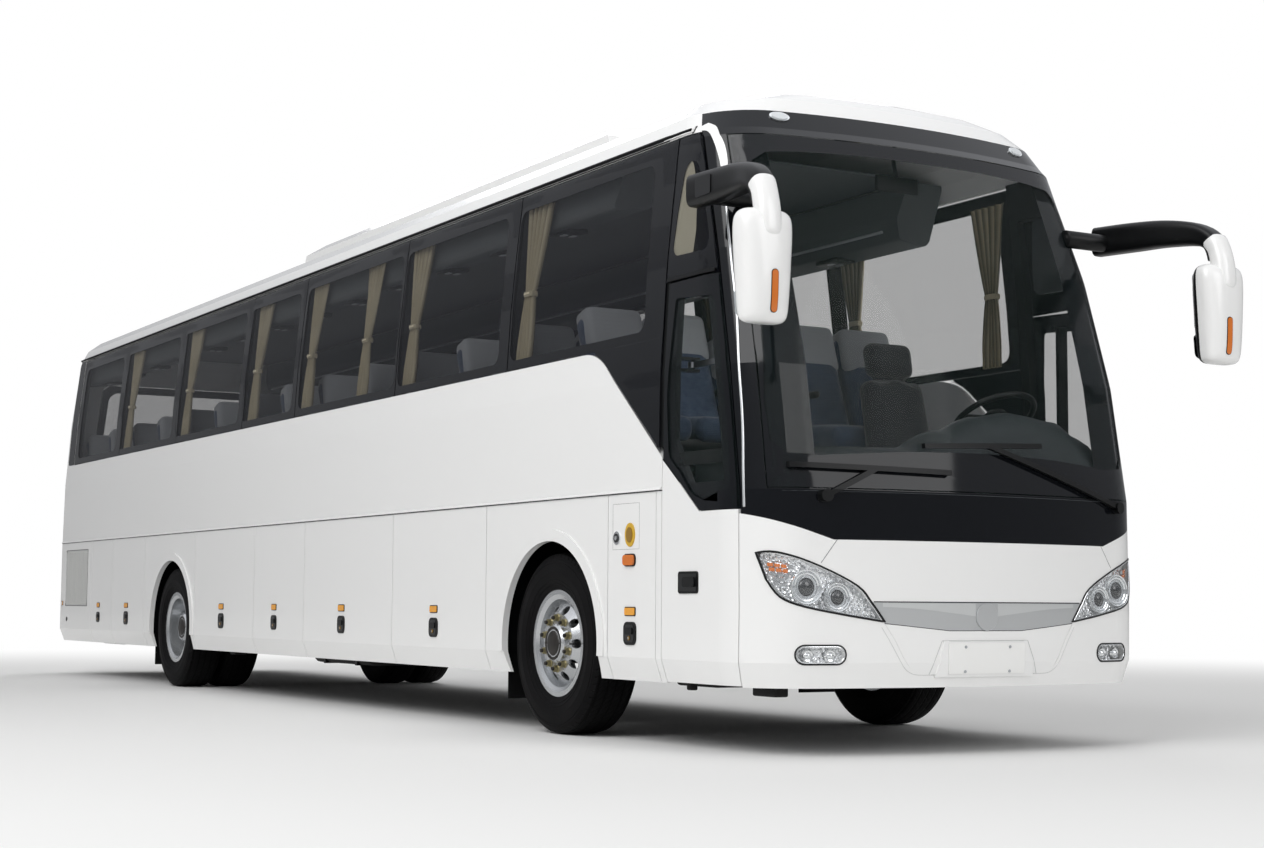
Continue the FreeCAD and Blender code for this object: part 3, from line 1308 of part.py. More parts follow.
def section(centre, up, half_up, half_across):
    """A closed soft-cornered curve round a centre, across the coach and along a direction."""
    points = []
    for step in range(8):
        turn = step * math.pi / 4
        bulge = 1.0 if step % 2 == 0 else SQUARENESS
        points.append(centre + up * (half_up * bulge * math.cos(turn))
                      + FreeCAD.Vector(0, half_across * bulge * math.sin(turn), 0))
    curve = Part.BSplineCurve()
    curve.interpolate(points, True)
    return Part.Wire([curve.toShape()])


# arm: station ahead of the nose line, |y|, height, slope of the section, half height, half width
ARM_STATIONS = [
    (-600, 1335, 2768, 90, 86, 45),
    (-300, 1350, 2748, 90, 92, 55),
    (-70, 1378, 2712, 70, 86, 62),
    (80, 1402, 2636, 35, 66, 72),
    (150, 1415, 2535, 5, 50, 80),
    (185, 1420, 2420, 0, 36, 78),
]
# housing: height, half depth, half width
HOUSING_STATIONS = [(2020, 48, 74), (2060, 74, 116), (2180, 90, 140), (2400, 96, 148),
                    (2505, 84, 136), (2548, 48, 96)]


def mirror(side):
    """Forward-hung mirror: a lofted arm bent down into a lofted housing with a flat back."""
    nose = float(NOSE)
    wires = []
    for ahead, y, z, slope, half_up, half_across in ARM_STATIONS:
        turn = math.radians(slope)
        up = FreeCAD.Vector(math.cos(turn), 0, math.sin(turn))
        wires.append(section(FreeCAD.Vector(nose + ahead, side * y, z), up, half_up, half_across))
    arm = Part.makeLoft(wires, True, False)
    wires = [section(FreeCAD.Vector(nose + 170, side * MIRROR_Y, z), FreeCAD.Vector(1, 0, 0),
                     half_depth, half_width) for z, half_depth, half_width in HOUSING_STATIONS]
    housing = Part.makeLoft(wires, True, False)
    behind = block((nose - 200, -FAR - 200, 2000), (float(MIRROR_BACK), FAR + 200, 2560))
    bracket = Part.makeCylinder(48, 380, FreeCAD.Vector(nose - 520, side * 980, 2745),
                                FreeCAD.Vector(0, side, 0))
    housing = housing.cut(behind)
    whole = arm.fuse(housing).fuse(bracket.cut(form(0)))
    return solids(whole)[0]


node("mirrors", made("mirror_pair", together([mirror(side) for name, side in SIDES])))


# wiper: pivot, elbow on the blade, blade ends, as (y, z) in front view
WIPERS = [
    ((-913, 1250), (-640, 1388), (-1080, 1398), (-216, 1379)),
    ((978, 1243), (40, 1524), (-358, 1508), (400, 1540)),
]
WIPER_LIFT, WIPER_HEIGHT, WIPER_WIDTH = 8, 34, 26


def strip(start, end, width):
    """A straight band in front view between two (y, z) points, swept along X."""
    ahead = FreeCAD.Vector(0, end[0] - start[0], end[1] - start[1])
    ahead.normalize()
    out = FreeCAD.Vector(0, -ahead.z, ahead.y) * (width / 2)
    corners = [(start[0] + out.y, start[1] + out.z), (end[0] + out.y, end[1] + out.z),
               (end[0] - out.y, end[1] - out.z), (start[0] - out.y, start[1] - out.z)]
    return front_prism(corners, float(NOSE) - 400, AHEAD)


def wiper(pivot, elbow, blade_start, blade_end):
    """Wiper arm and blade parked low on the glass, on a boss through the black panel."""
    shell = form(-WIPER_HEIGHT).cut(form(-WIPER_LIFT))
    arm = shell.common(strip(pivot, elbow, WIPER_WIDTH))
    blade = shell.common(strip(blade_start, blade_end, WIPER_WIDTH))
    boss = Part.makeCylinder(30, 700, FreeCAD.Vector(float(NOSE) - 500, pivot[0], pivot[1]),
                             FreeCAD.Vector(1, 0, 0))
    boss = boss.common(form(-WIPER_HEIGHT - 8)).cut(form(0))
    return solids(arm.fuse(blade).fuse(boss))[0]


node("wipers", made("wiper_pair", together([wiper(*places) for places in WIPERS])))

mud = []
for place_name, axle in (("front", FRONT_AXLE), ("rear", REAR_AXLE)):
    for name, side in SIDES:
        low_y = 880 if side > 0 else -1190
        mud.append(box("mud_%s_%s" % (place_name, name),
                       (axle - S.well_half - 12, low_y, 170),
                       (axle - S.well_half, low_y + 310, 620)))
node("mud_flaps", group("mud_flap_set", mud))

# ---------------------------------------------------------------- check and write

doc.recompute()
for thing in doc.Objects:
    if "Invalid" in thing.State or "Error" in thing.State:
        raise RuntimeError("failed: %s %s" % (thing.Name, thing.State))
os.makedirs("parts", exist_ok=True)
for label, thing in nodes.items():
    shape = thing.Shape
    if shape.isNull() or not shape.isValid() or shape.Volume <= 0:
        raise RuntimeError("bad shape: %s" % label)
    shape.exportStep("parts/%s.step" % label)
    print("%-24s solids %2d  volume %9.1f l" % (label, len(shape.Solids), shape.Volume / 1e6))
print("nodes", len(nodes))
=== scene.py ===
"""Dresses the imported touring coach: finishes, trim, lamps, cabin fittings and a plain studio."""
import logging
import math
from dataclasses import dataclass
from enum import Enum
from typing import Iterable, Optional, Sequence, Tuple

import bmesh
import bpy
from mathutils import Matrix, Vector
from mathutils.bvhtree import BVHTree


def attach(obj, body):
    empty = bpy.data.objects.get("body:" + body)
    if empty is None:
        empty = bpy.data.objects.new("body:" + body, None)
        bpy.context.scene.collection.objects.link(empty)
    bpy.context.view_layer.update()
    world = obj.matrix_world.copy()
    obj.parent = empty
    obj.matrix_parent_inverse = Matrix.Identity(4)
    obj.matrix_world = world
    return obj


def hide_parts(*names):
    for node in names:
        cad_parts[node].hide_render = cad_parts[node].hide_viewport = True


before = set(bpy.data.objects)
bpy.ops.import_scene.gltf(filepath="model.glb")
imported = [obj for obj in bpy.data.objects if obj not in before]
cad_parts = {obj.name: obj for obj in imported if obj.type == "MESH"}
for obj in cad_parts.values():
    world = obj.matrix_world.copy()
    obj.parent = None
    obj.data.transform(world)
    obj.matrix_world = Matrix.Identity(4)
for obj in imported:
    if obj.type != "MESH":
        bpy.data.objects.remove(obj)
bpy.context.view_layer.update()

log = logging.getLogger("coach")
Point = Tuple[float, float, float]
Flat = Tuple[float, float]
BODY = "coach_body"
SIDES = (("right", -1), ("left", 1))
FRONT_AXLE_X = 4.15
REAR_AXLE_X = -2.85
TRACK_HALF = 1.087
TYRE_RADIUS = 0.506
SNAP = 1e-5  # a cut nearer than this to a vertex goes through it
MERGE = 1e-6  # points nearer than this are one


# ------------------------------------------------------------------ finishes

def linear(code: str, alpha: float = 1.0) -> Tuple[float, float, float, float]:
    """Turn an sRGB hex code into linear colour.

    Args:
        code: six hex digits.
        alpha: value of the fourth channel.

    Returns:
        Linear red, green, blue and alpha.
    """
    parts = [int(code[index:index + 2], 16) / 255 for index in (0, 2, 4)]
    low = [part / 12.92 if part <= 0.04045 else ((part + 0.055) / 1.055) ** 2.4 for part in parts]
    return (low[0], low[1], low[2], alpha)


def add_node(tree: bpy.types.NodeTree, kind: str, settings: Optional[dict] = None,
             values: Optional[dict] = None, links: Optional[dict] = None) -> bpy.types.Node:
    """Add one shader node.

    Args:
        tree: the node tree.
        kind: the node's type name.
        settings: attributes of the node.
        values: input name or index to its default value.
        links: input name or index to the output socket that feeds it.

    Returns:
        The new node.
    """
    node = tree.nodes.new(kind)
    for name, value in (settings or {}).items():
        setattr(node, name, value)
    for name, value in (values or {}).items():
        node.inputs[name].default_value = value
    for name, socket in (links or {}).items():
        tree.links.new(socket, node.inputs[name])
    return node


class Grain(Enum):
    """How a surface was made, which decides its fine relief."""

    SMOOTH = "smooth"
    SPRAYED = "sprayed"
    MOULDED = "moulded"
    CAST = "cast"
    WOVEN = "woven"
    BRUSHED = "brushed"
    FACETED = "faceted"


@dataclass(frozen=True)
class Finish:
    """A surface finish and the numbers that set its look."""

    name: str
    colour: str
    rough: float
    metal: float = 0.0
    ior: float = 1.5
    grain: Grain = Grain.SMOOTH
    grain_mm: float = 1.0
    depth: float = 0.1
    second: str = ""
    mottle_mm: float = 300.0
    coat: float = 0.0
    alpha: float = 1.0
    sheen: float = 0.0
    specular: float = 0.5

    def relief(self, tree: bpy.types.NodeTree, place: bpy.types.NodeSocket
               ) -> Optional[bpy.types.NodeSocket]:
        """Height field of the grain, or nothing on a smooth surface.

        Args:
            tree: the material's node tree.
            place: socket with the object's own coordinates.

        Returns:
            The socket of the height field, or None.
        """
        if self.grain is Grain.SMOOTH:
            return None
        scale = 1000.0 / self.grain_mm
        if self.grain is Grain.WOVEN:
            across = add_node(tree, "ShaderNodeTexWave", {"bands_direction": "X"},
                              {"Scale": scale / 6.2832, "Distortion": 0.6}, {"Vector": place})
            along = add_node(tree, "ShaderNodeTexWave", {"bands_direction": "Z"},
                             {"Scale": scale / 6.2832, "Distortion": 0.6}, {"Vector": place})
            both = add_node(tree, "ShaderNodeMath", {"operation": "MULTIPLY"}, {},
                            {0: across.outputs["Fac"], 1: along.outputs["Fac"]})
            return both.outputs[0]
        if self.grain is Grain.BRUSHED:
            stretch = add_node(tree, "ShaderNodeMapping", {}, {"Scale": (0.04, 1.0, 1.0)},
                               {"Vector": place})
            place = stretch.outputs["Vector"]
        if self.grain is Grain.FACETED:
            cells = add_node(tree, "ShaderNodeTexVoronoi", {}, {"Scale": scale},
                             {"Vector": place})
            return cells.outputs["Distance"]
        detail = {Grain.SPRAYED: 1.0, Grain.MOULDED: 3.0, Grain.CAST: 6.0, Grain.BRUSHED: 2.0}
        noise = add_node(tree, "ShaderNodeTexNoise", {},
                         {"Scale": scale, "Detail": detail[self.grain], "Roughness": 0.5},
                         {"Vector": place})
        return noise.outputs["Fac"]

    def build(self) -> bpy.types.Material:
        """Make the material once and return it.

        Returns:
            The material.
        """
        found = bpy.data.materials.get(self.name)
        if found:
            return found
        material = bpy.data.materials.new(self.name)
        material.use_nodes = True
        tree = material.node_tree
        shader = tree.nodes["Principled BSDF"]
        settings = {"Base Color": linear(self.colour), "Roughness": self.rough,
                    "Metallic": self.metal, "Alpha": self.alpha, "Coat Weight": self.coat,
                    "Coat Roughness": 0.04, "Sheen Weight": self.sheen,
                    "Specular IOR Level": self.specular}
        if not self.metal:
            settings["IOR"] = self.ior
        for name, value in settings.items():
            shader.inputs[name].default_value = value
        place = add_node(tree, "ShaderNodeTexCoord").outputs["Object"]
        if self.second:
            cloud = add_node(tree, "ShaderNodeTexNoise", {},
                             {"Scale": 1000.0 / self.mottle_mm, "Detail": 4.0}, {"Vector": place})
            blend = add_node(tree, "ShaderNodeValToRGB", {}, {}, {"Fac": cloud.outputs["Fac"]})
            blend.color_ramp.elements[0].position = 0.35
            blend.color_ramp.elements[0].color = linear(self.colour)
            blend.color_ramp.elements[1].position = 0.68
            blend.color_ramp.elements[1].color = linear(self.second)
            tree.links.new(blend.outputs["Color"], shader.inputs["Base Color"])
        height = self.relief(tree, place)
        if height is not None:
            bump = add_node(tree, "ShaderNodeBump", {},
                            {"Strength": self.depth, "Distance": self.grain_mm / 1000.0},
                            {"Height": height})
            tree.links.new(bump.outputs["Normal"], shader.inputs["Normal"])
        material.diffuse_color = linear(self.colour, self.alpha)
        return material


# two-pack polyurethane over primed steel: an even bright white with a faint orange peel
WHITE = Finish("white_polyurethane_paint", "F3F3F2", 0.24, coat=0.5, grain=Grain.SPRAYED,
               grain_mm=9.0, depth=0.012)
# black coach enamel baked on glass and panels: a deep, wet-looking black
BLACK_GLOSS = Finish("black_gloss_enamel", "0E1014", 0.07, specular=0.32)
# float glass tinted in the melt: dark, clear and sharp in its reflections
TINTED = Finish("grey_tinted_float_glass", "14161C", 0.03, ior=1.52, alpha=0.34, specular=0.32)
# laminated windscreen: clear, with a green cast
SCREEN = Finish("laminated_green_glass", "2A3633", 0.02, ior=1.52, alpha=0.1, specular=0.3)
# moulded and hard-coated lamp cover: all but unseen, with crisp highlights
LENS = Finish("clear_moulded_polycarbonate", "E6EAEC", 0.03, ior=1.58, alpha=0.07, specular=0.4)
# moulded indicator lens: a deep orange that stays bright in shade
AMBER_DEEP = Finish("deep_amber_moulded_acrylic", "D6742A", 0.14, ior=1.49, coat=0.3)
# moulded tail lens: dark glossy red
RED_LENS = Finish("red_moulded_acrylic", "8E0E0C", 0.06, ior=1.49, coat=0.5)
# moulded side reflector: light yellowish orange
AMBER = Finish("amber_moulded_acrylic", "EFA63A", 0.14, ior=1.49, coat=0.3)
# bumper paint with fine flakes: a soft silver sheen under clear lacquer
SILVER_BAND = Finish("silver_metallic_paint", "B7B9BA", 0.34, metal=0.25, coat=0.4)
# baked powder on the vent slats: flat light grey, slightly rough
GRILLE = Finish("grey_powder_coat", "C3C4C3", 0.5, grain=Grain.MOULDED, grain_mm=2.0, depth=0.05)
# brushed chassis paint under road dust: patchy black-brown without shine
CHASSIS = Finish("black_chassis_paint", "101113", 0.6, second="1F1C1A", grain=Grain.CAST,
                 grain_mm=6.0, depth=0.15, specular=0.2)
# pebbled liner of wheel wells and hold: black that swallows light
BOOT_LINING = Finish("black_moulded_polypropylene", "0E0F10", 0.55, grain=Grain.MOULDED,
                     grain_mm=3.0, depth=0.2, specular=0.15)
# rolled vinyl with chips in it: dark grey with light specks
FLOOR_VINYL = Finish("speckled_floor_vinyl", "3A3C40", 0.5, second="474A4F", mottle_mm=9.0)
# brushed tube and strip: long soft highlights
SATIN_STEEL = Finish("satin_stainless_steel", "B9BCC0", 0.28, metal=1.0, grain=Grain.BRUSHED,
                     grain_mm=1.5, depth=0.08)
# plated lamp parts: small hard sparkles
CHROME = Finish("chromium_plate", "EEF0F1", 0.08, metal=0.85)
# silvered glass: a clean reflection
MIRROR_GLASS = Finish("silvered_mirror_glass", "D5DADD", 0.02, metal=1.0)
# cured tyre rubber: matt black with a slight mould grain
TYRE = Finish("carbon_black_rubber", "0B0B0C", 0.65, second="121112", grain=Grain.MOULDED,
              grain_mm=4.0, depth=0.12, specular=0.08)
# lacquered pressed wheel: bright silver with soft, slightly uneven highlights
RIM = Finish("silver_wheel_lacquer", "C0C2C4", 0.27, metal=0.8, coat=0.2, grain=Grain.CAST,
             grain_mm=5.0, depth=0.04)
# cast hub with an oil film: brown-black, patchy and rough
HUB_IRON = Finish("oiled_cast_iron", "1B1917", 0.5, metal=0.3, second="2B2621", mottle_mm=40.0,
                  grain=Grain.CAST, grain_mm=3.0, depth=0.3)
# woven pile of the seats: soft blue-grey; its 1 mm weave is drawn at 5 mm so that it shows
SEAT_CLOTH = Finish("blue_grey_woven_moquette", "4A5A72", 0.9, second="3A4961", mottle_mm=40.0,
                    grain=Grain.WOVEN, grain_mm=5.0, depth=0.35, sheen=0.3)
# woven driver's cover: charcoal; its 1 mm weave is drawn at 5 mm so that it shows
DRIVER_CLOTH = Finish("charcoal_woven_cloth", "2B2D31", 0.9, second="34363B", mottle_mm=30.0,
                      grain=Grain.WOVEN, grain_mm=5.0, depth=0.35, sheen=0.3)
# woven headrest covers: pale grey and flat; 1 mm threads drawn at 4 mm so that they show
HEAD_CLOTH = Finish("grey_woven_cotton", "B0B4B8", 0.92, grain=Grain.WOVEN, grain_mm=4.0,
                    depth=0.3, sheen=0.3)
# woven curtains: warm beige; 1 mm threads drawn at 4 mm so that they show
CURTAIN = Finish("beige_woven_polyester", "DDD2B4", 0.92, second="CFC3A3", mottle_mm=200.0,
                 grain=Grain.WOVEN, grain_mm=4.0, depth=0.3, sheen=0.25)
# soft skin of the dash: dark green-grey that breaks up reflections
DASH = Finish("grained_dark_polyurethane", "2A3032", 0.5, grain=Grain.MOULDED, grain_mm=4.0,
              depth=0.2, specular=0.3)
# moulded handles, wipers and mirror arms: half-matt black
BLACK_PLASTIC = Finish("black_moulded_polyamide", "0C0D0E", 0.36, grain=Grain.MOULDED,
                       grain_mm=2.0, depth=0.08, specular=0.25)
# rolled rubber of flaps and beads: dull black
RUBBER_FLAP = Finish("black_rolled_rubber", "0E0E0F", 0.7, grain=Grain.MOULDED, grain_mm=6.0,
                     depth=0.12, specular=0.15)
# moulded racks and ceiling: plain mid grey
RACK = Finish("grey_moulded_abs", "63686A", 0.6, grain=Grain.MOULDED, grain_mm=3.0,
              depth=0.1)
# pressed and aluminised reflector: broad glittering cells
REFLECTOR = Finish("aluminised_lamp_reflector", "EDEFF1", 0.16, metal=0.75, grain=Grain.FACETED,
                   grain_mm=18.0, depth=0.7)
# fine ribs pressed in the bowl round a projector: small broken sparkle
RIBBED = Finish("ribbed_aluminised_bowl", "C9CCCE", 0.16, metal=0.8, grain=Grain.FACETED,
                grain_mm=6.0, depth=0.6)
# painted highlight: a lighter sweep across the band, a paler silver than its paint
BAND_HIGHLIGHT = Finish("painted_highlight_on_band", "C9CBCB", 0.34, metal=0.25, coat=0.4)
# lacquered ring round the blank cover: a thin bright line
BRIGHT_EDGE = Finish("bright_lacquered_steel", "CFD1D3", 0.3, metal=0.3)
# moulded well round a projector or latch: near black, half gloss; also near-black blocks behind
# the flap gaps as painted shade
DARK_BOWL_AND_GAP_SHADE = Finish("dark_moulded_polycarbonate_and_gap_shade", "0E0F11", 0.3, grain=Grain.MOULDED, grain_mm=2.0,
                   depth=0.05)
# polished lens of a projector: dark, bright where it catches the sky
PROJECTOR = Finish("polished_lens_glass", "15191C", 0.02, ior=1.62, coat=0.5)
# frosted lamp lens: milky white
FROSTED = Finish("frosted_moulded_acrylic", "D8DCDF", 0.25, ior=1.49)
# sprayed face of a blank plate: even white, slightly soft
PLATE = Finish("white_plate_enamel", "F4F4F2", 0.35, grain=Grain.SPRAYED, grain_mm=4.0,
               depth=0.02)
# anodised strip beside the windscreen: a bright, soft line
TRIM_STEEL = Finish("bright_anodised_aluminium", "E4E6E8", 0.2, metal=0.6)
# woven wire over the vents: even light grey; 2 mm mesh drawn at 6 mm so that it shows
MESH = Finish("grey_woven_wire", "CFCFCC", 0.6, specular=0.2, grain=Grain.WOVEN, grain_mm=6.0,
              depth=0.6)
# woven roller blind behind the quarter window: smooth warm grey
BLIND = Finish("woven_blind_cloth", "B4AF9C", 0.9, grain=Grain.WOVEN, grain_mm=3.0, depth=0.1)
# passivated wheel nuts: dull yellow metal
NUT_STEEL = Finish("yellow_passivated_steel", "928966", 0.35, metal=0.9)
# rolled exhaust pipe: blotched brown metal
EXHAUST = Finish("heat_stained_steel", "6C6358", 0.45, metal=0.9, second="54473A",
                 mottle_mm=120.0, grain=Grain.CAST, grain_mm=4.0, depth=0.1)
# extruded bead under the windscreen: a matt grey line on the black mask
GREY_BEAD = Finish("grey_extruded_rubber", "4A4D50", 0.6, specular=0.2)
# painted shade: a soft grey shadow line laid in pressed creases and along the roof's joint
SHADE_LINE = Finish("painted_shade_line", "C4C5C4", 0.5)
# sealant laid in a panel joint: a dark line; its colour also paints the shadow line under the
# flaps' moulding
SEAM_AND_SHADOW_LINE = Finish("joint_sealant", "2A2B2D", 0.7, specular=0.1)
# moulded fuel cap: warm yellow, half matt
CAP_YELLOW = Finish("yellow_moulded_polyamide", "D3A92F", 0.4, grain=Grain.MOULDED, grain_mm=2.0,
                    depth=0.05)
# moulded middle of the cap and key covers: ochre, half matt
CAP_OCHRE = Finish("ochre_moulded_polyamide", "8F6C1E", 0.5, grain=Grain.MOULDED, grain_mm=2.0,
                   depth=0.05)
# painted studio floor: matt and pale, so that it takes a soft shadow
STUDIO_FLOOR = "F1F1F0"


@dataclass(frozen=True)
class Zone:
    """A slab of space, low < x * a + y * b + z * c < high, in the coach's frame."""

    weights: Point
    low: float = -50.0
    high: float = 50.0

    def mask(self, tree: bpy.types.NodeTree, place: bpy.types.NodeSocket
             ) -> bpy.types.NodeSocket:
        """One inside the slab and nought outside it.

        Args:
            tree: the material's node tree.
            place: socket with the object's own coordinates.

        Returns:
            The socket with one or nought.
        """
        value = add_node(tree, "ShaderNodeVectorMath", {"operation": "DOT_PRODUCT"},
                         {1: self.weights}, {0: place}).outputs["Value"]
        over = add_node(tree, "ShaderNodeMath", {"operation": "GREATER_THAN"}, {1: self.low},
                        {0: value})
        under = add_node(tree, "ShaderNodeMath", {"operation": "LESS_THAN"}, {1: self.high},
                         {0: value})
        return add_node(tree, "ShaderNodeMath", {"operation": "MULTIPLY"}, {},
                        {0: over.outputs[0], 1: under.outputs[0]}).outputs[0]


def two_tone(name: str, first: Finish, other: Finish, zones: Sequence[Zone]
             ) -> bpy.types.Material:
    """Paint masked along straight lines: the other colour lies where all zones meet.

    Args:
        name: the material's name.
        first: the finish outside the zones.
        other: the finish inside them.
        zones: the slabs.

    Returns:
        The material.
    """
    material = first.build().copy()
    material.name = name
    tree = material.node_tree
    shader = tree.nodes["Principled BSDF"]
    place = add_node(tree, "ShaderNodeTexCoord").outputs["Object"]
    inside = zones[0].mask(tree, place)
    for zone in zones[1:]:
        inside = add_node(tree, "ShaderNodeMath", {"operation": "MINIMUM"}, {},
                          {0: inside, 1: zone.mask(tree, place)}).outputs[0]
    mix = add_node(tree, "ShaderNodeMix", {"data_type": "RGBA"},
                   {6: linear(first.colour), 7: linear(other.colour)}, {0: inside})
    tree.links.new(mix.outputs[2], shader.inputs["Base Color"])
    for socket, low, high in (("Specular IOR Level", first.specular, other.specular),
                              ("Coat Weight", first.coat, other.coat)):
        share = add_node(tree, "ShaderNodeMapRange", {}, {"To Min": low, "To Max": high},
                         {"Value": inside})
        tree.links.new(share.outputs["Result"], shader.inputs[socket])
    return material


DRESS = {
    WHITE: ["side_wall_*", "skirt_*", "roof", "roof_pod", "front_panel", "rear_panel",
            "engine_lid", "mirrors", "flap_*", "door_panel"],
    BLACK_GLOSS: ["front_black_panels", "windscreen_pillars"],
    TINTED: ["body_glass"],
    SCREEN: ["windscreen", "door_glass"],
    LENS: ["front_lamps"],
    RED_LENS: ["tail_lamps"],
    SILVER_BAND: ["lamp_band"],
    GRILLE: ["vent_grilles"],
    CHASSIS: ["chassis_frame", "engine", "front_axle", "rear_axle", "knuckle_*"],
    BOOT_LINING: ["wheel_wells", "luggage_hold", "window_posts"],
    FLOOR_VINYL: ["cabin_floor"],
    SATIN_STEEL: ["door_arm"],
    TYRE: ["front_tyre_*", "rear_tyres_*"],
    RIM: ["front_rim_*", "rear_rims_*"],
    SEAT_CLOTH: ["passenger_seats"],
    DRIVER_CLOTH: ["driver_seat"],
    DASH: ["dashboard"],
    BLACK_PLASTIC: ["steering_wheel", "wipers"],
    RACK: ["luggage_racks"],
    CURTAIN: ["curtains"],
    RUBBER_FLAP: ["mud_flaps"],
}


def matches(name: str, patterns: Iterable[str]) -> bool:
    """Whether a name is among some, where one with a star at its end stands for its start."""
    return any(name == want or want.endswith("*") and name.startswith(want[:-1])
               for want in patterns)


def dress(node: bpy.types.Object, material: bpy.types.Material) -> None:
    """Give a carried-over node one material."""
    node.data.materials.clear()
    node.data.materials.append(material)


def dress_nodes() -> None:
    """Give every carried-over node its finish."""
    for finish, patterns in DRESS.items():
        for name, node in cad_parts.items():
            if matches(name, patterns):
                dress(node, finish.build())


def dress_two_tone() -> None:
    """Mask the nodes that carry two colours.

    The door is black over its waist line, and a dark line of painted shadow runs under the
    moulding that the flaps hang from.
    """
    # painted shadow: a dark band under the bead of the moulding, where its shade falls
    joint = two_tone("white_paint_painted_shadow_under_bead", WHITE, SEAM_AND_SHADOW_LINE, [Zone((0, 0, 1), 1.3005, 1.3085)])
    door = two_tone("white_paint_black_waist", WHITE, BLACK_GLOSS,
                    [Zone((0.751, 0, 1), 5.500), Zone((0, 0, 1), 1.186)])
    for material, names in ((joint, ("side_wall_right", "side_wall_left")),
                            (door, ("door_panel",))):
        for name in names:
            dress(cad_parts[name], material)


# ------------------------------------------------------------------ shaping

class View(Enum):
    """Side of the coach that a flat piece is laid on from."""

    RIGHT = "right"
    LEFT = "left"
    FRONT = "front"
    REAR = "rear"
    TOP = "top"

    def ray(self, u: float, v: float) -> Tuple[Vector, Vector]:
        """Where a ray towards the coach starts, and its direction.

        Args:
            u: place along the view.
            v: place up the view.

        Returns:
            The ray's start and its direction.
        """
        far = 12.0
        if self in (View.RIGHT, View.LEFT):
            side = -1.0 if self is View.RIGHT else 1.0
            return Vector((u, side * far, v)), Vector((0.0, -side, 0.0))
        if self is View.TOP:
            return Vector((u, v, far)), Vector((0.0, 0.0, -1.0))
        side = 1.0 if self is View.FRONT else -1.0
        return Vector((side * far, u, v)), Vector((-side, 0.0, 0.0))


SIDE_VIEW = {-1: View.RIGHT, 1: View.LEFT}


class Skin:
    """The outer surface of some nodes, for laying trim on."""

    def __init__(self, *names: str, made: Optional[bmesh.types.BMesh] = None) -> None:
        """Gather the faces of the nodes, or of a made mesh, in one search tree.

        Args:
            names: names of nodes; one with a star at its end is a start.
            made: a mesh that is looked up besides them.
        """
        mesh = made.copy() if made else bmesh.new()
        for name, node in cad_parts.items():
            if matches(name, names):
                mesh.from_mesh(node.data)
        self.tree = BVHTree.FromBMesh(mesh)
        mesh.free()

    def cast(self, view: View, u: float, v: float) -> Optional[Tuple[Vector, Vector]]:
        """Surface point and outward normal under (u, v).

        Args:
            view: the side that it is seen from.
            u: place along the view.
            v: place up the view.

        Returns:
            The point and the normal, or None where there is no surface.
        """
        start, way = view.ray(u, v)
        hit, normal, _, _ = self.tree.ray_cast(start, way)
        if hit is None:
            return None
        return hit, -normal if normal.dot(way) > 0 else normal

    def touch(self, view: View, u: float, v: float, lift: float = 0.0,
              span: float = 0.0) -> Optional[Vector]:
        """The surface point under (u, v), raised along its normal.

        Args:
            view: the side it is seen from.
            u: place along the view.
            v: place up the view.
            lift: height over the surface.
            span: reach to both sides that carries it across a panel gap.

        Returns:
            The point, or None where there is no surface.
        """
        found = self.cast(view, u, v)
        for du, dv in ((span, 0.0), (0.0, span)) if span else ():
            one, two = self.cast(view, u + du, v + dv), self.cast(view, u - du, v - dv)
            if one and two:
                middle, normal = (one[0] + two[0]) / 2, (one[1] + two[1]).normalized()
                if found is None or (middle - found[0]).dot(normal) > 0.002:
                    found = middle, normal
        return None if found is None else found[0] + found[1] * lift

    def lay(self, mesh: bmesh.types.BMesh, view: View, lift: float = 0.0,
            span: float = 0.0) -> bmesh.types.BMesh:
        """Lay a board (u, v, height) on the surface.

        Args:
            mesh: the board; its third coordinate becomes height above the surface.
            view: the side that it is laid on from.
            lift: extra height.
            span: reach that carries it across panel gaps.

        Returns:
            The same mesh, in place.
        """
        missed = []
        for vert in mesh.verts:
            u, v, height = vert.co
            place = self.touch(view, u, v, lift + height, span)
            if place is None:
                missed.append(vert)
            else:
                vert.co = place
        if missed:
            log.info("vertices off the surface: %d", len(missed))
            bmesh.ops.delete(mesh, geom=missed, context="VERTS")
        mesh.normal_update()
        facing = sum((face.normal * face.calc_area() for face in mesh.faces), Vector())
        area = sum(face.calc_area() for face in mesh.faces)
        if facing.dot(view.ray(0.0, 0.0)[1]) > 0.2 * area:
            bmesh.ops.reverse_faces(mesh, faces=list(mesh.faces))
        return mesh

    def plank(self, view: View, sides: Sequence[float], round_by: float = 0.0,
              thick: float = 0.0, lift: float = 0.0, step: float = 0.0, segments: int = 4
              ) -> bmesh.types.BMesh:
        """A rounded rectangle laid on the surface.

        Args:
            view: the side that it is laid on from.
            sides: its low u, low v, high u and high v.
            round_by: corner radius.
            thick: height of its top over its underside.
            lift: height of its underside over the surface.
            step: largest distance between cuts that let it bend; uncut when 0.
            segments: steps in a rounded corner.

        Returns:
            The laid mesh.
        """
        mesh = board(rectangle(*sides), round_by, thick, segments)
        return self.lay(cut_up(mesh, step) if step else mesh, view, lift)


def every(mesh: bmesh.types.BMesh) -> list:
    """All vertices, edges and faces of a mesh."""
    return [*mesh.verts, *mesh.edges, *mesh.faces]


def cut(mesh: bmesh.types.BMesh, axis: int, value: float) -> None:
    """Cut a mesh by the plane across one axis at a value.

    Args:
        mesh: the mesh, which is changed.
        axis: 0 for x, 1 for y and 2 for z.
        value: where the plane crosses that axis.
    """
    place, normal = [0.0, 0.0, 0.0], [0.0, 0.0, 0.0]
    place[axis], normal[axis] = value, 1.0
    bmesh.ops.bisect_plane(mesh, geom=every(mesh), dist=SNAP, plane_co=place, plane_no=normal)


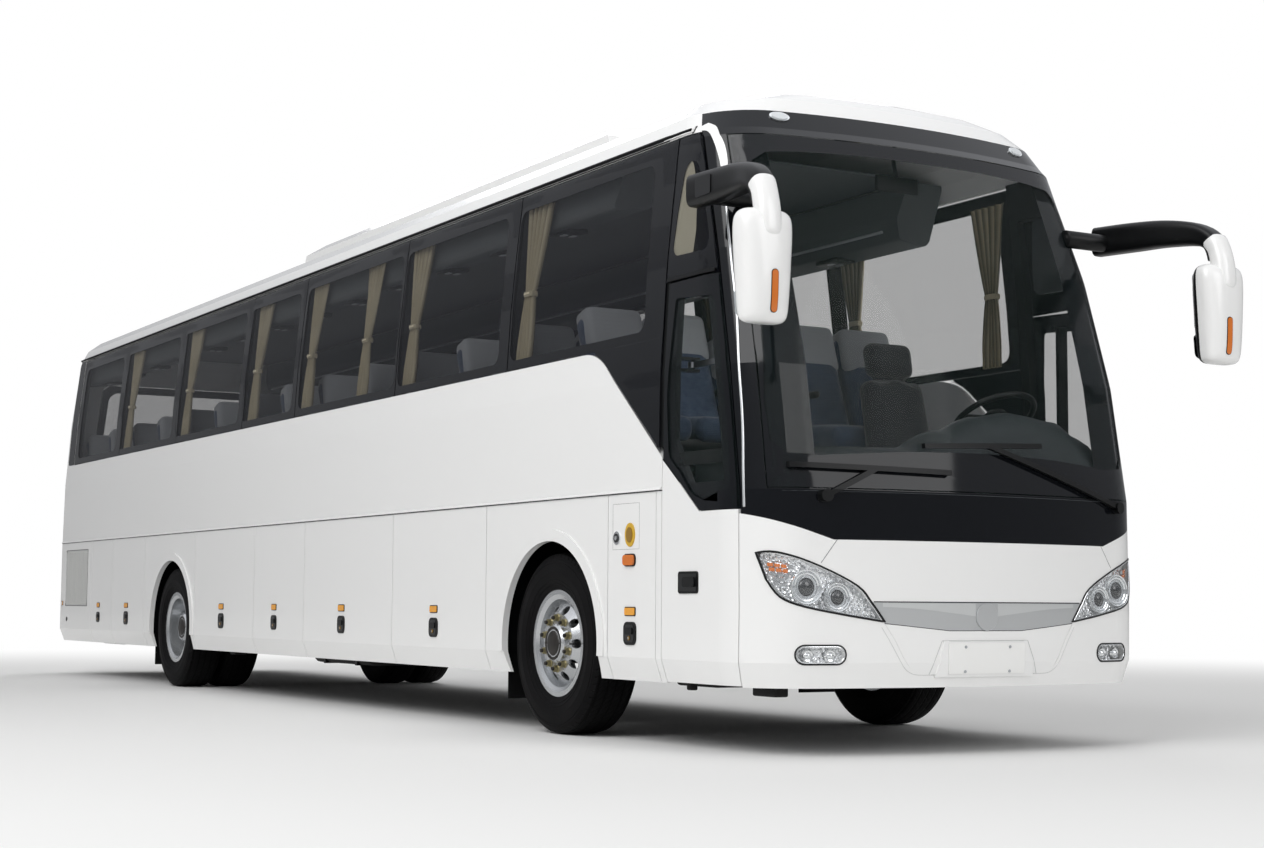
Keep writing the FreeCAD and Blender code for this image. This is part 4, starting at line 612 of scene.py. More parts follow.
def soften(mesh: bmesh.types.BMesh, geom: list, radius: float, segments: int,
           affect: str = "EDGES") -> None:
    """Round some edges or corners of a mesh off."""
    bmesh.ops.bevel(mesh, geom=geom, offset=radius, offset_type="OFFSET", segments=segments,
                    profile=0.5, affect=affect, material=-1, clamp_overlap=True)


def thickened(mesh: bmesh.types.BMesh, height: float) -> list:
    """Extrude a flat mesh upwards and return the vertices of its top.

    Args:
        mesh: the mesh, which is changed.
        height: how far its faces are moved.

    Returns:
        The moved vertices.
    """
    top = bmesh.ops.extrude_face_region(mesh, geom=list(mesh.faces))
    verts = [item for item in top["geom"] if isinstance(item, bmesh.types.BMVert)]
    bmesh.ops.translate(mesh, vec=(0.0, 0.0, height), verts=verts)
    return verts


def append(mesh: bmesh.types.BMesh, part: bmesh.types.BMesh) -> None:
    """Add a part to a mesh and free the part.

    Args:
        mesh: the mesh that grows.
        part: the part.
    """
    data = bpy.data.meshes.new("part")
    part.to_mesh(data)
    part.free()
    mesh.from_mesh(data)
    bpy.data.meshes.remove(data)


def new_object(name: str, mesh: bmesh.types.BMesh) -> bpy.types.Object:
    """Make an object in the scene from a mesh, which is freed.

    Args:
        name: its name.
        mesh: its mesh.

    Returns:
        The object.
    """
    data = bpy.data.meshes.new(name)
    mesh.to_mesh(data)
    mesh.free()
    thing = bpy.data.objects.new(name, data)
    bpy.context.scene.collection.objects.link(thing)
    return thing


def evaluated(thing: bpy.types.Object) -> bpy.types.Mesh:
    """A new mesh of an object as its modifiers or its curve's bevel make it."""
    return bpy.data.meshes.new_from_object(thing.evaluated_get(
        bpy.context.evaluated_depsgraph_get()))


def board(corners: Sequence[Flat], round_by: float = 0.0, thick: float = 0.0,
          segments: int = 4, which: Optional[Sequence[int]] = None) -> bmesh.types.BMesh:
    """A flat plate with rounded corners.

    Args:
        corners: its corners, as (u, v).
        round_by: corner radius.
        thick: height of its top over the board.
        segments: steps in a rounded corner.
        which: numbers of the corners that are rounded; all when left out.

    Returns:
        A mesh in board coordinates.
    """
    mesh = bmesh.new()
    verts = [mesh.verts.new((u, v, 0.0)) for u, v in corners]
    mesh.faces.new(verts)
    if round_by:
        rounded = verts if which is None else [verts[number] for number in which]
        soften(mesh, rounded, round_by, segments, "VERTICES")
    if thick:
        thickened(mesh, thick)
    return mesh


def rectangle(u0: float, v0: float, u1: float, v1: float) -> Sequence[Flat]:
    """Corners of an upright rectangle."""
    return [(u0, v0), (u1, v0), (u1, v1), (u0, v1)]


def sided(mesh: bmesh.types.BMesh, side: int) -> bmesh.types.BMesh:
    """A front-view board drawn for the left, put on the given side.

    Args:
        mesh: the mesh, which is changed.
        side: -1 for the right side, 1 for the left.

    Returns:
        The same mesh.
    """
    if side < 0:
        bmesh.ops.scale(mesh, vec=(-1.0, 1.0, 1.0), verts=list(mesh.verts))
        bmesh.ops.reverse_faces(mesh, faces=list(mesh.faces))
    return mesh


def cut_up(mesh: bmesh.types.BMesh, step: float) -> bmesh.types.BMesh:
    """Divide a board along a grid so that it can follow a curved surface.

    Args:
        mesh: the mesh, which is changed.
        step: largest distance between two cuts.

    Returns:
        The same mesh.
    """
    for axis in (0, 1):
        values = [vert.co[axis] for vert in mesh.verts]
        low, high = min(values), max(values)
        count = int((high - low) / step)
        for index in range(1, count + 1):
            cut(mesh, axis, low + (high - low) * index / (count + 1))
    return mesh


def window_frame(outer: Sequence[Flat], hole: Sequence[Flat], round_by: float,
                 step: float = 0.12) -> bmesh.types.BMesh:
    """A flat border between an outline and a rounded hole in it.

    Args:
        outer: corners of the border's outline.
        hole: corners of the open area.
        round_by: corner radius of the open area.
        step: largest distance between two cuts.

    Returns:
        The border in board coordinates.
    """
    mesh = board(hole, round_by, segments=5)
    inner = list(mesh.edges)
    bmesh.ops.delete(mesh, geom=list(mesh.faces), context="FACES_ONLY")
    corners = [mesh.verts.new((u, v, 0.0)) for u, v in outer]
    edges = [mesh.edges.new((one, two)) for one, two in zip(corners, corners[1:] + corners[:1])]
    bmesh.ops.bridge_loops(mesh, edges=inner + edges)
    bmesh.ops.triangulate(mesh, faces=list(mesh.faces))
    return cut_up(mesh, step)


def disc(u: float, v: float, radius: float, thick: float = 0.0, stretch: float = 1.0,
         segments: int = 24) -> bmesh.types.BMesh:
    """A round or oval plate in board coordinates.

    Args:
        u: its middle's u.
        v: its middle's v.
        radius: half its height.
        thick: height of its top.
        stretch: its width over its height.
        segments: steps round it.

    Returns:
        The plate.
    """
    mesh = bmesh.new()
    bmesh.ops.create_circle(mesh, cap_ends=True, segments=segments, radius=radius)
    bmesh.ops.scale(mesh, vec=(stretch, 1.0, 1.0), verts=list(mesh.verts))
    bmesh.ops.translate(mesh, vec=(u, v, 0.0), verts=list(mesh.verts))
    if thick:
        thickened(mesh, thick)
    return mesh


def block(low: Point, high: Point, round_by: float = 0.0, segments: int = 3
          ) -> bmesh.types.BMesh:
    """A block between two corners, with softened edges.

    Args:
        low: its lowest corner.
        high: its highest corner.
        round_by: edge radius.
        segments: steps across a rounded edge.

    Returns:
        The block.
    """
    mesh = bmesh.new()
    bmesh.ops.create_cube(mesh, size=1.0)
    low_corner, high_corner = Vector(low), Vector(high)
    bmesh.ops.scale(mesh, vec=high_corner - low_corner, verts=list(mesh.verts))
    bmesh.ops.translate(mesh, vec=(low_corner + high_corner) / 2, verts=list(mesh.verts))
    if round_by:
        soften(mesh, list(mesh.edges), round_by, segments)
    return mesh


def turned(profile: Sequence[Flat], steps: int = 32, shut: bool = False) -> bmesh.types.BMesh:
    """A body of revolution about Z.

    Args:
        profile: (radius, height) from one end to the other.
        steps: steps round the axis.
        shut: whether the profile's own ends are joined.

    Returns:
        The mesh, standing on the origin.
    """
    mesh = bmesh.new()
    verts = [mesh.verts.new((radius, 0.0, height)) for radius, height in profile]
    edges = [mesh.edges.new(pair) for pair in zip(verts, verts[1:])]
    if shut:
        edges.append(mesh.edges.new((verts[-1], verts[0])))
    bmesh.ops.spin(mesh, geom=verts + edges, cent=(0, 0, 0), axis=(0, 0, 1),
                   angle=2 * math.pi, steps=steps, use_merge=True)
    bmesh.ops.remove_doubles(mesh, verts=list(mesh.verts), dist=MERGE)
    return mesh


def aim(mesh: bmesh.types.BMesh, place: Sequence[float], way: Sequence[float]
        ) -> bmesh.types.BMesh:
    """Turn a mesh from +Z to a direction and move it to a place.

    Args:
        mesh: the mesh, which is changed.
        place: where its origin goes.
        way: where its +Z points.

    Returns:
        The same mesh.
    """
    turn = Vector(way).to_track_quat("Z", "Y").to_matrix().to_4x4()
    bmesh.ops.transform(mesh, matrix=Matrix.Translation(Vector(place)) @ turn,
                        verts=list(mesh.verts))
    return mesh


def rod(points: Sequence[Sequence[float]], radius: float, segments: int = 8,
        smooth: bool = False) -> bmesh.types.BMesh:
    """A round rod along a line of points.

    Args:
        points: the places it goes through.
        radius: its radius.
        segments: faces round it.
        smooth: whether the line is a fair curve and not straight runs.

    Returns:
        The mesh of the rod, with closed ends.
    """
    curve = bpy.data.curves.new("rod", "CURVE")
    curve.dimensions = "3D"
    curve.bevel_depth = radius
    curve.bevel_resolution = max(0, segments // 4 - 1)
    curve.use_fill_caps = True
    line = curve.splines.new("BEZIER" if smooth else "POLY")
    targets = line.bezier_points if smooth else line.points
    targets.add(len(points) - 1)
    for target, place in zip(targets, points):
        if smooth:
            target.co = place
            target.handle_left_type = target.handle_right_type = "AUTO"
        else:
            target.co = (*place, 1.0)
    holder = bpy.data.objects.new("rod", curve)
    bpy.context.scene.collection.objects.link(holder)
    data = evaluated(holder)
    mesh = bmesh.new()
    mesh.from_mesh(data)
    bpy.data.meshes.remove(data)
    bpy.data.objects.remove(holder)
    bpy.data.curves.remove(curve)
    bmesh.ops.remove_doubles(mesh, verts=list(mesh.verts), dist=MERGE)
    return mesh


def lofted(stations: Sequence[Sequence[float]], steps: int = 4, sides: int = 32,
           power: float = 2.6) -> bmesh.types.BMesh:
    """A body lofted through soft-cornered rings.

    Args:
        stations: centre x, y and z, the ring's slope in degrees, its half height and half width.
        steps: rings to a station.
        sides: faces round it.
        power: squareness of the rings; 2 is an ellipse.

    Returns:
        The closed mesh.
    """
    mesh = bmesh.new()
    rings = []
    for x, y, z, slope, tall, wide in fair(stations, steps):
        verts = bmesh.ops.create_circle(mesh, segments=sides, radius=1.0)["verts"]
        up = Vector((math.cos(math.radians(slope)), 0.0, math.sin(math.radians(slope))))
        for vert in verts:
            a, b = vert.co.x, vert.co.y
            bulge = (abs(a) ** power + abs(b) ** power) ** (-1.0 / power)
            vert.co = Vector((x, y + b * bulge * wide, z)) + up * (a * bulge * tall)
        rings.append(list({edge for vert in verts for edge in vert.link_edges}))
    for one, two in zip(rings, rings[1:]):
        bmesh.ops.bridge_loops(mesh, edges=one + two)
    bmesh.ops.holes_fill(mesh, edges=rings[0] + rings[-1], sides=0)
    bmesh.ops.recalc_face_normals(mesh, faces=list(mesh.faces))
    return mesh


class Kit:
    """Small parts of one assembly, joined in one piece that rides on one body."""

    def __init__(self, name: str, body: str = BODY, smooth: float = 35.0) -> None:
        """Start an empty kit.

        Args:
            name: the piece's name.
            body: the CAD body that it moves with.
            smooth: angle in degrees under which faces shade as one.
        """
        self.name, self.body, self.smooth = name, body, smooth
        self.mesh = bmesh.new()
        self.finishes = []

    def add(self, finish: Finish, *parts: bmesh.types.BMesh) -> None:
        """Join some parts in one finish.

        Args:
            finish: their finish.
            parts: the meshes, which are freed.
        """
        if finish not in self.finishes:
            self.finishes.append(finish)
        slot = self.finishes.index(finish)
        for part in parts:
            closed = all(len(edge.link_faces) == 2 for edge in part.edges)
            if closed:
                bmesh.ops.recalc_face_normals(part, faces=list(part.faces))
            for face in part.faces:
                face.material_index = slot
                face.smooth = True
            append(self.mesh, part)

    def finish(self, *replaced: str) -> bpy.types.Object:
        """Make the object; it may stand for some CAD nodes.

        Args:
            replaced: the CAD nodes.

        Returns:
            The object.
        """
        piece = new_object(self.name, self.mesh)
        for finish in self.finishes:
            piece.data.materials.append(finish.build())
        piece.data.set_sharp_from_angle(angle=math.radians(self.smooth))
        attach(piece, self.body)
        if replaced:
            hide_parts(*replaced)
        log.info("%s: %d faces", self.name, len(piece.data.polygons))
        return piece


def flipped(points: Iterable[Flat]) -> Sequence[Flat]:
    """The same outline on the other side of the centre line, in a front view."""
    return [(-u, v) for u, v in points]


def ribbon(left: Sequence[Flat], right: Sequence[Flat]) -> Sequence[Flat]:
    """Outline of a strip between two edge lines that run the same way."""
    return [*left, *reversed(right)]


def on_side(stations: Sequence[Sequence[float]], side: int) -> Sequence[Sequence[float]]:
    """The stations of a loft drawn for the left, put on the given side."""
    return [(station[0], side * station[1], *station[2:]) for station in stations]


def fair(points: Sequence[Sequence[float]], steps: int = 4) -> Sequence[Sequence[float]]:
    """More points on a fair curve through some points.

    Args:
        points: the points, with any number of coordinates.
        steps: steps from one point to the next.

    Returns:
        The points of the curve.
    """
    line = []
    padded = [points[0], *points, points[-1]]
    for before, one, two, after in zip(padded, padded[1:], padded[2:], padded[3:]):
        for step in range(steps):
            t = step / steps
            line.append(tuple(0.5 * (2 * b + (c - a) * t + (2 * a - 5 * b + 4 * c - d) * t * t
                                     + (3 * b - a - 3 * c + d) * t ** 3)
                              for a, b, c, d in zip(before, one, two, after)))
    return line + [points[-1]]


def strand(shell: Skin, view: View, points: Sequence[Flat], radius: float, lift: float = 0.0,
           step: float = 0.04, sides: int = 6, span: float = 0.0) -> bmesh.types.BMesh:
    """A thin rod laid on a surface along some points.

    Args:
        shell: the surface.
        view: the side it is laid on from.
        points: the corners of its line.
        radius: the rod's radius.
        lift: height of its middle over the surface.
        step: largest distance between two laid points.
        sides: faces round it.
        span: reach across panel gaps.

    Returns:
        The rod.
    """
    places = []
    for (u0, v0), (u1, v1) in zip(points, points[1:]):
        count = max(1, math.ceil(math.hypot(u1 - u0, v1 - v0) / step))
        for number in range(count + 1):
            share = number / count
            place = shell.touch(view, u0 + (u1 - u0) * share, v0 + (v1 - v0) * share, lift, span)
            if place is not None and (not places or (place - places[-1]).length > 1e-4):
                places.append(place)
    return rod(places, radius, sides)


# ------------------------------------------------------------------ glazing

@dataclass
class Glazing:
    """Black borders on the glass, with the rounded clear areas left open."""

    low: float = 2.150
    high: float = 3.052
    corner: float = 0.070
    rake: float = 0.010
    lift: float = 0.0007
    driver_bar: Tuple[Point, Point] = ((5.640, 1.150, 1.330), (5.672, 1.214, 2.290))
    clear: Sequence[Flat] = ((5.140, 3.570), (3.410, 1.900), (1.845, 0.060), (-0.085, -1.200),
                             (-1.295, -2.940), (-3.045, -4.670), (-4.800, -6.130))
    bars: Sequence[float] = (5.35, 3.55, 1.88, 0.01, -1.17, -2.89, -4.64, -6.25)
    quarter: Sequence[Flat] = ((5.430, 2.510), (5.715, 2.503), (5.728, 2.560), (5.675, 2.700),
                               (5.636, 2.800), (5.596, 2.910), (5.545, 2.992), (5.480, 3.002),
                               (5.440, 2.950), (5.410, 2.750), (5.394, 2.550))
    blind: Sequence[Flat] = ((5.425, 2.500), (5.590, 2.500), (5.600, 2.620), (5.580, 2.780),
                             (5.540, 2.920), (5.505, 3.000), (5.470, 3.006), (5.430, 2.950),
                             (5.405, 2.750), (5.390, 2.550))
    door_clear: Sequence[Flat] = ((5.413, 1.765), (5.440, 1.470), (5.556, 1.385),
                                  (5.655, 1.285), (5.750, 1.240), (5.960, 1.222),
                                  (6.002, 1.262), (5.990, 1.400), (5.976, 1.500),
                                  (5.960, 1.600), (5.928, 1.800), (5.883, 2.000),
                                  (5.832, 2.190), (5.795, 2.262), (5.458, 2.285),
                                  (5.430, 2.000))
    nose_edge: Sequence[Flat] = ((6.045, 1.190), (6.040, 1.300), (6.024, 1.400), (6.008, 1.500),
                                 (5.992, 1.600), (5.958, 1.800), (5.914, 2.000), (5.860, 2.200),
                                 (5.818, 2.370))
    upper_edge: Sequence[Flat] = ((5.809, 2.390), (5.742, 2.600), (5.666, 2.800),
                                  (5.590, 3.000), (5.524, 3.142))
    screen_clear: Sequence[Flat] = ((0.110, 3.035), (0.369, 3.036), (0.744, 3.027),
                                    (0.932, 3.012), (1.000, 2.966), (1.025, 2.883),
                                    (1.104, 2.216), (1.137, 1.712), (1.129, 1.516),
                                    (1.075, 1.457), (0.910, 1.446), (0.481, 1.475),
                                    (0.110, 1.484))

    def build(self) -> None:
        """Lay every border on its glass."""
        glass = Skin("body_glass")
        kit = Kit("glass_borders")
        for _, side in SIDES:
            view = SIDE_VIEW[side]
            for (front, rear), ahead, behind in zip(self.clear, self.bars, self.bars[1:]):
                outer = rectangle(behind + 0.006, 2.097, ahead - 0.006, 3.143)
                hole = [(rear + self.rake / 2, self.low), (front + self.rake, self.low),
                        (front - self.rake, self.high), (rear - self.rake / 2, self.high)]
                kit.add(BLACK_GLOSS, glass.lay(window_frame(outer, hole, self.corner, 0.4),
                                               view, self.lift))
            upper = [(5.360, 2.390), *self.upper_edge, (5.360, 3.142)]
            kit.add(BLACK_GLOSS, glass.lay(window_frame(upper, self.quarter, 0.022, 0.06),
                                           view, self.lift))
            dip = [(4.614, 2.0966), (4.640, 2.0755), (4.705, 2.045), (4.763, 2.0045),
                   (5.340, 1.5225), (5.340, 2.0966)]
            kit.add(BLACK_GLOSS, glass.lay(cut_up(board(dip), 0.15), view, self.lift))
        kit.add(RACK, glass.lay(cut_up(board(self.quarter, 0.02), 0.04), View.LEFT, -0.0045))
        kit.add(BLIND, glass.lay(cut_up(board(self.blind, 0.02), 0.04), View.RIGHT, -0.0045))
        kit.add(BLACK_PLASTIC, Skin("body_glass", "door_glass").lay(
            cut_up(board(rectangle(5.372, 2.379, 5.800, 2.399), 0.004, 0.012), 0.08),
            View.RIGHT, 0.0, 0.012))
        lower = [(5.360, 1.493), (5.719, 1.190), *self.nose_edge, (5.360, 2.388)]
        driver = [(5.430, 1.765), (5.450, 1.500), (5.660, 1.330), *self.door_clear[5:]]
        kit.add(BLACK_GLOSS, glass.lay(window_frame(lower, driver, 0.022, 0.06), View.LEFT,
                                       self.lift))
        kit.add(BLACK_PLASTIC, block(*self.driver_bar, 0.006, 2))
        kit.finish()
        self.door()
        self.screen()

    def door(self) -> None:
        """The border round the door's glass, its lower corner and its waist bar."""
        kit = Kit("door_glass_border", "door")
        glass = Skin("door_glass")
        outer = [(5.386, 1.470), (5.737, 1.190), *self.nose_edge, (5.386, 2.370)]
        kit.add(BLACK_GLOSS, glass.lay(window_frame(outer, self.door_clear, 0.020, 0.05),
                                       View.RIGHT, self.lift))
        corner = [(5.540, 1.374), (5.737, 1.190), (5.800, 1.188), (5.800, 1.232),
                  (5.655, 1.278), (5.560, 1.378)]
        kit.add(BLACK_GLOSS, Skin("door_glass", "door_panel").lay(
            cut_up(board(corner), 0.03), View.RIGHT, 0.0014, 0.02))
        kit.add(BLACK_PLASTIC, glass.lay(cut_up(board(rectangle(5.440, 1.420, 5.990, 1.488)),
                                                0.1), View.RIGHT, -0.008))
        kit.finish()

    def screen(self) -> None:
        """The border of the windscreen, and the sun band at its top."""
        glass = Skin("windscreen")
        kit = Kit("screen_border")
        edge = [(0.000, 1.290), (1.154, 1.290), (1.144, 2.000), (1.124, 2.400),
                (1.092, 2.800), (1.066, 3.112), (0.000, 3.112)]
        outline = [*edge, *[(-u, v) for u, v in reversed(edge[1:-1])]]
        clear = [*reversed(self.screen_clear), *[(-u, v) for u, v in self.screen_clear]]
        kit.add(BLACK_GLOSS, glass.lay(window_frame(outline, clear, 0.0, 0.06), View.FRONT,
                                       self.lift))
        kit.finish()


# ------------------------------------------------------------------ front

@dataclass
class FrontFace:
    """Lamp units, blank plate, seams and markers of the front."""

    lamp_top: Sequence[Flat] = ((0.595, 0.648), (0.664, 0.738), (0.738, 0.819),
                                (0.932, 0.913), (1.120, 0.977), (1.195, 0.975))
    lamp_low: Sequence[Flat] = ((1.163, 0.849), (1.112, 0.764), (1.006, 0.718),
                                (0.780, 0.676))
    middle: Flat = (0.92, 0.81)
    main_lens: Tuple[float, float, float] = (0.995, 0.812, 0.084)
    dip_lens: Tuple[float, float, float] = (0.838, 0.764, 0.070)
    fog: Tuple[float, float, float] = (0.924, 0.490, 0.046)

    def build(self) -> None:
        """Make the lamps, the plate and the seams."""
        self.shell = Skin("front_panel", "front_lamps", "lamp_band", "front_black_panels")
        for name, side in SIDES:
            kit = Kit("headlamp_inside_" + name)
            self.headlamp(kit, side)
            self.fog_lamp(kit, side)
            kit.finish()
        self.plate()
        self.seams()
        self.markers()

    def outline(self, shrink: float = 0.0) -> Sequence[Flat]:
        """The headlamp's fair outline, drawn in towards its middle by a share.

        Args:
            shrink: the share.

        Returns:
            Its corners.
        """
        top, low = fair(self.lamp_top), fair(self.lamp_low)
        return [(u + (self.middle[0] - u) * shrink, v + (self.middle[1] - v) * shrink)
                for u, v in [*top, *low]]

    def edging(self, points: Sequence[Flat], side: int, radius: float) -> bmesh.types.BMesh:
        """A closed dark bead along a front-view outline."""
        line = [(side * u, v) for u, v in points]
        return strand(self.shell, View.FRONT, [*line, line[0], line[1]], radius, 0.0006, 0.02, 8)

    def unit(self, kit: Kit, side: int, u: float, v: float, radius: float) -> None:
        """One round projector: two bright rings, a ribbed bowl and a dark bulging lens.

        Args:
            side: -1 for the right side, 1 for the left.
            u: its middle across the front.
            v: its middle's height.
            radius: radius of its outer ring.
        """
        place = self.shell.touch(View.FRONT, side * u, v, -0.022)
        way = (1.0, side * 0.10, 0.02)
        r = radius
        outer = turned([(r * 0.88, 0.000), (r * 0.92, 0.012), (r * 0.97, 0.014), (r, 0.006),
                        (r, 0.000)], 48, True)
        inner = turned([(r * 0.70, -0.004), (r * 0.73, 0.008), (r * 0.80, 0.010),
                        (r * 0.84, 0.002)], 48, True)
        bowl = turned([(r * 0.90, 0.004), (r * 0.74, -0.001), (r * 0.50, -0.006)], 48)
        well = turned([(0.0, -0.004), (r * 0.52, -0.003)], 40)
        collar = turned([(r * 0.50, -0.004), (r * 0.52, 0.006), (r * 0.56, 0.006),
                         (r * 0.57, -0.004)], 40, True)
        lens = turned([(0.0, 0.018), (r * 0.16, 0.0172), (r * 0.32, 0.0135), (r * 0.44, 0.007),
                       (r * 0.50, -0.002)], 40)
        for part in (outer, inner, bowl, well, collar, lens):
            aim(part, place, way)
        kit.add(CHROME, outer, inner, collar)
        kit.add(RIBBED, bowl)
        kit.add(DARK_BOWL_AND_GAP_SHADE, well)
        kit.add(PROJECTOR, lens)

    def headlamp(self, kit: Kit, side: int) -> None:
        """Faceted reflector, bezel, two round units and the indicator cells.

        Args:
            side: -1 for the right side, 1 for the left.
        """
        shell = self.shell
        kit.add(REFLECTOR, shell.lay(sided(cut_up(board(self.outline()), 0.03), side),
                                     View.FRONT, -0.034))
        kit.add(BLACK_PLASTIC, self.edging(self.outline(), side, 0.0050))
        kit.add(CHROME, self.edging(self.outline(0.055), side, 0.0022))
        self.unit(kit, side, *self.main_lens)
        self.unit(kit, side, *self.dip_lens)
        for row in range(5):
            for column in range(4 - (row + 1) // 2):
                u = 1.150 - 0.027 * column - 0.006 * row
                v = 0.918 - 0.023 * row - 0.004 * column
                cell = board([(u - 0.0115, v - 0.009), (u + 0.0105, v - 0.007),
                              (u + 0.0115, v + 0.010), (u - 0.0105, v + 0.008)], 0.003, 0.006)
                kit.add(AMBER_DEEP if row < 2 and column < 3 else CHROME,
                        shell.lay(sided(cell, side), View.FRONT, -0.022))
        for index in range(9):
            u = 0.655 + 0.026 * index
            v = 0.735 + 0.0155 * index
            rib = board([(u, v - 0.008), (u + 0.012, v - 0.004), (u + 0.012, v + 0.018),
                         (u, v + 0.012)], 0.002, 0.006)
            kit.add(CHROME, shell.lay(sided(rib, side), View.FRONT, -0.026))
        for index in range(6):
            u = 0.640 + 0.022 * index
            rib = board([(u, 0.676 + 0.002 * index), (u + 0.014, 0.678 + 0.002 * index),
                         (u + 0.012, 0.700), (u + 0.002, 0.698)], 0.002, 0.006)
            kit.add(CHROME, shell.lay(sided(rib, side), View.FRONT, -0.026))

    def fog_lamp(self, kit: Kit, side: int) -> None:
        """Faceted reflector, two bulbs and the dark rim of one fog lamp.

        Args:
            side: -1 for the right side, 1 for the left.
        """
        u, v, half = self.fog
        shell = self.shell
        oval = board(rectangle(u - 0.126, v - half, u + 0.126, v + half), half - 0.001,
                     segments=6)
        rim = [(vert.co.x, vert.co.y) for vert in oval.verts]
        rim.sort(key=lambda place: math.atan2((place[1] - v) * 2.5, place[0] - u))
        kit.add(REFLECTOR, shell.lay(sided(cut_up(oval, 0.03), side), View.FRONT, -0.034))
        kit.add(BLACK_PLASTIC, self.edging(rim, side, 0.0038))
        inner = [(u + (a - u) * 0.93, v + (b - v) * 0.84) for a, b in rim]
        kit.add(CHROME, self.edging(inner, side, 0.0018))
        for place in (u - 0.055, u + 0.060):
            bulb = turned([(0.0, 0.012), (0.010, 0.010), (0.018, 0.002), (0.026, 0.004),
                           (0.032, -0.004)], 24)
            kit.add(CHROME, aim(bulb, shell.touch(View.FRONT, side * place, v - 0.006, -0.022),
                                (1.0, side * 0.15, 0.0)))

    def plate(self) -> None:
        """A blank plate with four screws, a blank round cover on the band, and a painted highlight
        along the band.
        """
        kit = Kit("front_plate")
        shell = Skin("front_panel", "lamp_band")
        plate = board(rectangle(-0.240, 0.396, 0.240, 0.545), 0.010, 0.004)
        kit.add(PLATE, shell.lay(cut_up(plate, 0.06), View.FRONT, 0.0015))
        for u in (-0.140, 0.140):
            for v in (0.407, 0.526):
                kit.add(SATIN_STEEL, shell.lay(disc(u, v, 0.0075, 0.003, segments=12),
                                               View.FRONT, 0.0055))
        cover = disc(0.0, 0.673, 0.066, 0.005, segments=48)
        kit.add(SILVER_BAND, shell.lay(cut_up(cover, 0.05), View.FRONT, 0.0005))
        ring = [(0.0665 * math.cos(turn * math.pi / 24), 0.673 + 0.0665 * math.sin(turn
                 * math.pi / 24)) for turn in range(50)]
        kit.add(BRIGHT_EDGE, strand(shell, View.FRONT, ring, 0.0016, 0.0035, 0.02))
        # a paler strip along the band's upper edge: a painted highlight
        gloss = [*fair(((-0.655, 0.722), (-0.430, 0.712), (-0.200, 0.690), (-0.070, 0.676)), 4)]
        for side in (-1, 1):
            upper = [(side * u, v) for u, v in gloss]
            sheet = ribbon(upper, [(u, 0.738) for u, _ in upper])
            kit.add(BAND_HIGHLIGHT, shell.lay(cut_up(board(sheet), 0.05), View.FRONT, 0.0004))
        kit.finish()

    def seams(self) -> None:
        """Dark panel seams of the front, and soft grey lines of painted shade along its creases.
        """
        kit = Kit("front_seams")
        shell = Skin("front_panel", "lamp_band")
        for side in (-1, 1):
            hood = [(side * 0.842, 1.040), (side * 0.925, 0.928)]
            kit.add(SEAM_AND_SHADOW_LINE, strand(shell, View.FRONT, hood, 0.0016, -0.0004))
        band = [(-0.655, 0.744), (0.655, 0.744)]
        kit.add(SEAM_AND_SHADOW_LINE, strand(shell, View.FRONT, band, 0.0028, -0.0002))
        low = [(-0.597, 0.640), (-0.228, 0.605), (0.228, 0.605), (0.597, 0.640)]
        kit.add(SEAM_AND_SHADOW_LINE, strand(shell, View.FRONT, low, 0.0018, -0.0002))
        crease = fair(((0.612, 0.622), (0.570, 0.560), (0.530, 0.495), (0.490, 0.434),
                       (0.450, 0.403), (0.400, 0.391), (0.300, 0.391)), 3)
        mount = [(0.340, 0.392), (0.310, 0.470), (0.272, 0.556), (-0.272, 0.556),
                 (-0.310, 0.470), (-0.340, 0.392)]
        # the bumper crease and the plate mount's outline are grey lines of painted shade
        for side in (-1, 1):
            kit.add(SHADE_LINE, strand(shell, View.FRONT, [(side * u, v) for u, v in crease], 0.0022,
                                 -0.0008))
        kit.add(SHADE_LINE, strand(shell, View.FRONT, mount, 0.0024, -0.0006))
        mask = Skin("front_black_panels")
        kit.add(GREY_BEAD, strand(mask, View.FRONT, [(-1.10, 1.272), (1.10, 1.272)], 0.0013,
                                    0.0, 0.05))
        kit.finish()

    def markers(self) -> None:
        """Two small clear marker lamps high on the black dome."""
        kit = Kit("roof_markers")
        dome = Skin("front_black_panels", "roof")
        for side in (-1, 1):
            base = disc(side * 0.786, 3.229, 0.026, 0.007, 2.1, 28)
            kit.add(CHROME, dome.lay(base, View.FRONT))
            top = disc(side * 0.786, 3.229, 0.021, 0.006, 2.15, 28)
            kit.add(FROSTED, dome.lay(top, View.FRONT, 0.007))
        kit.finish()


# ------------------------------------------------------------------ sides

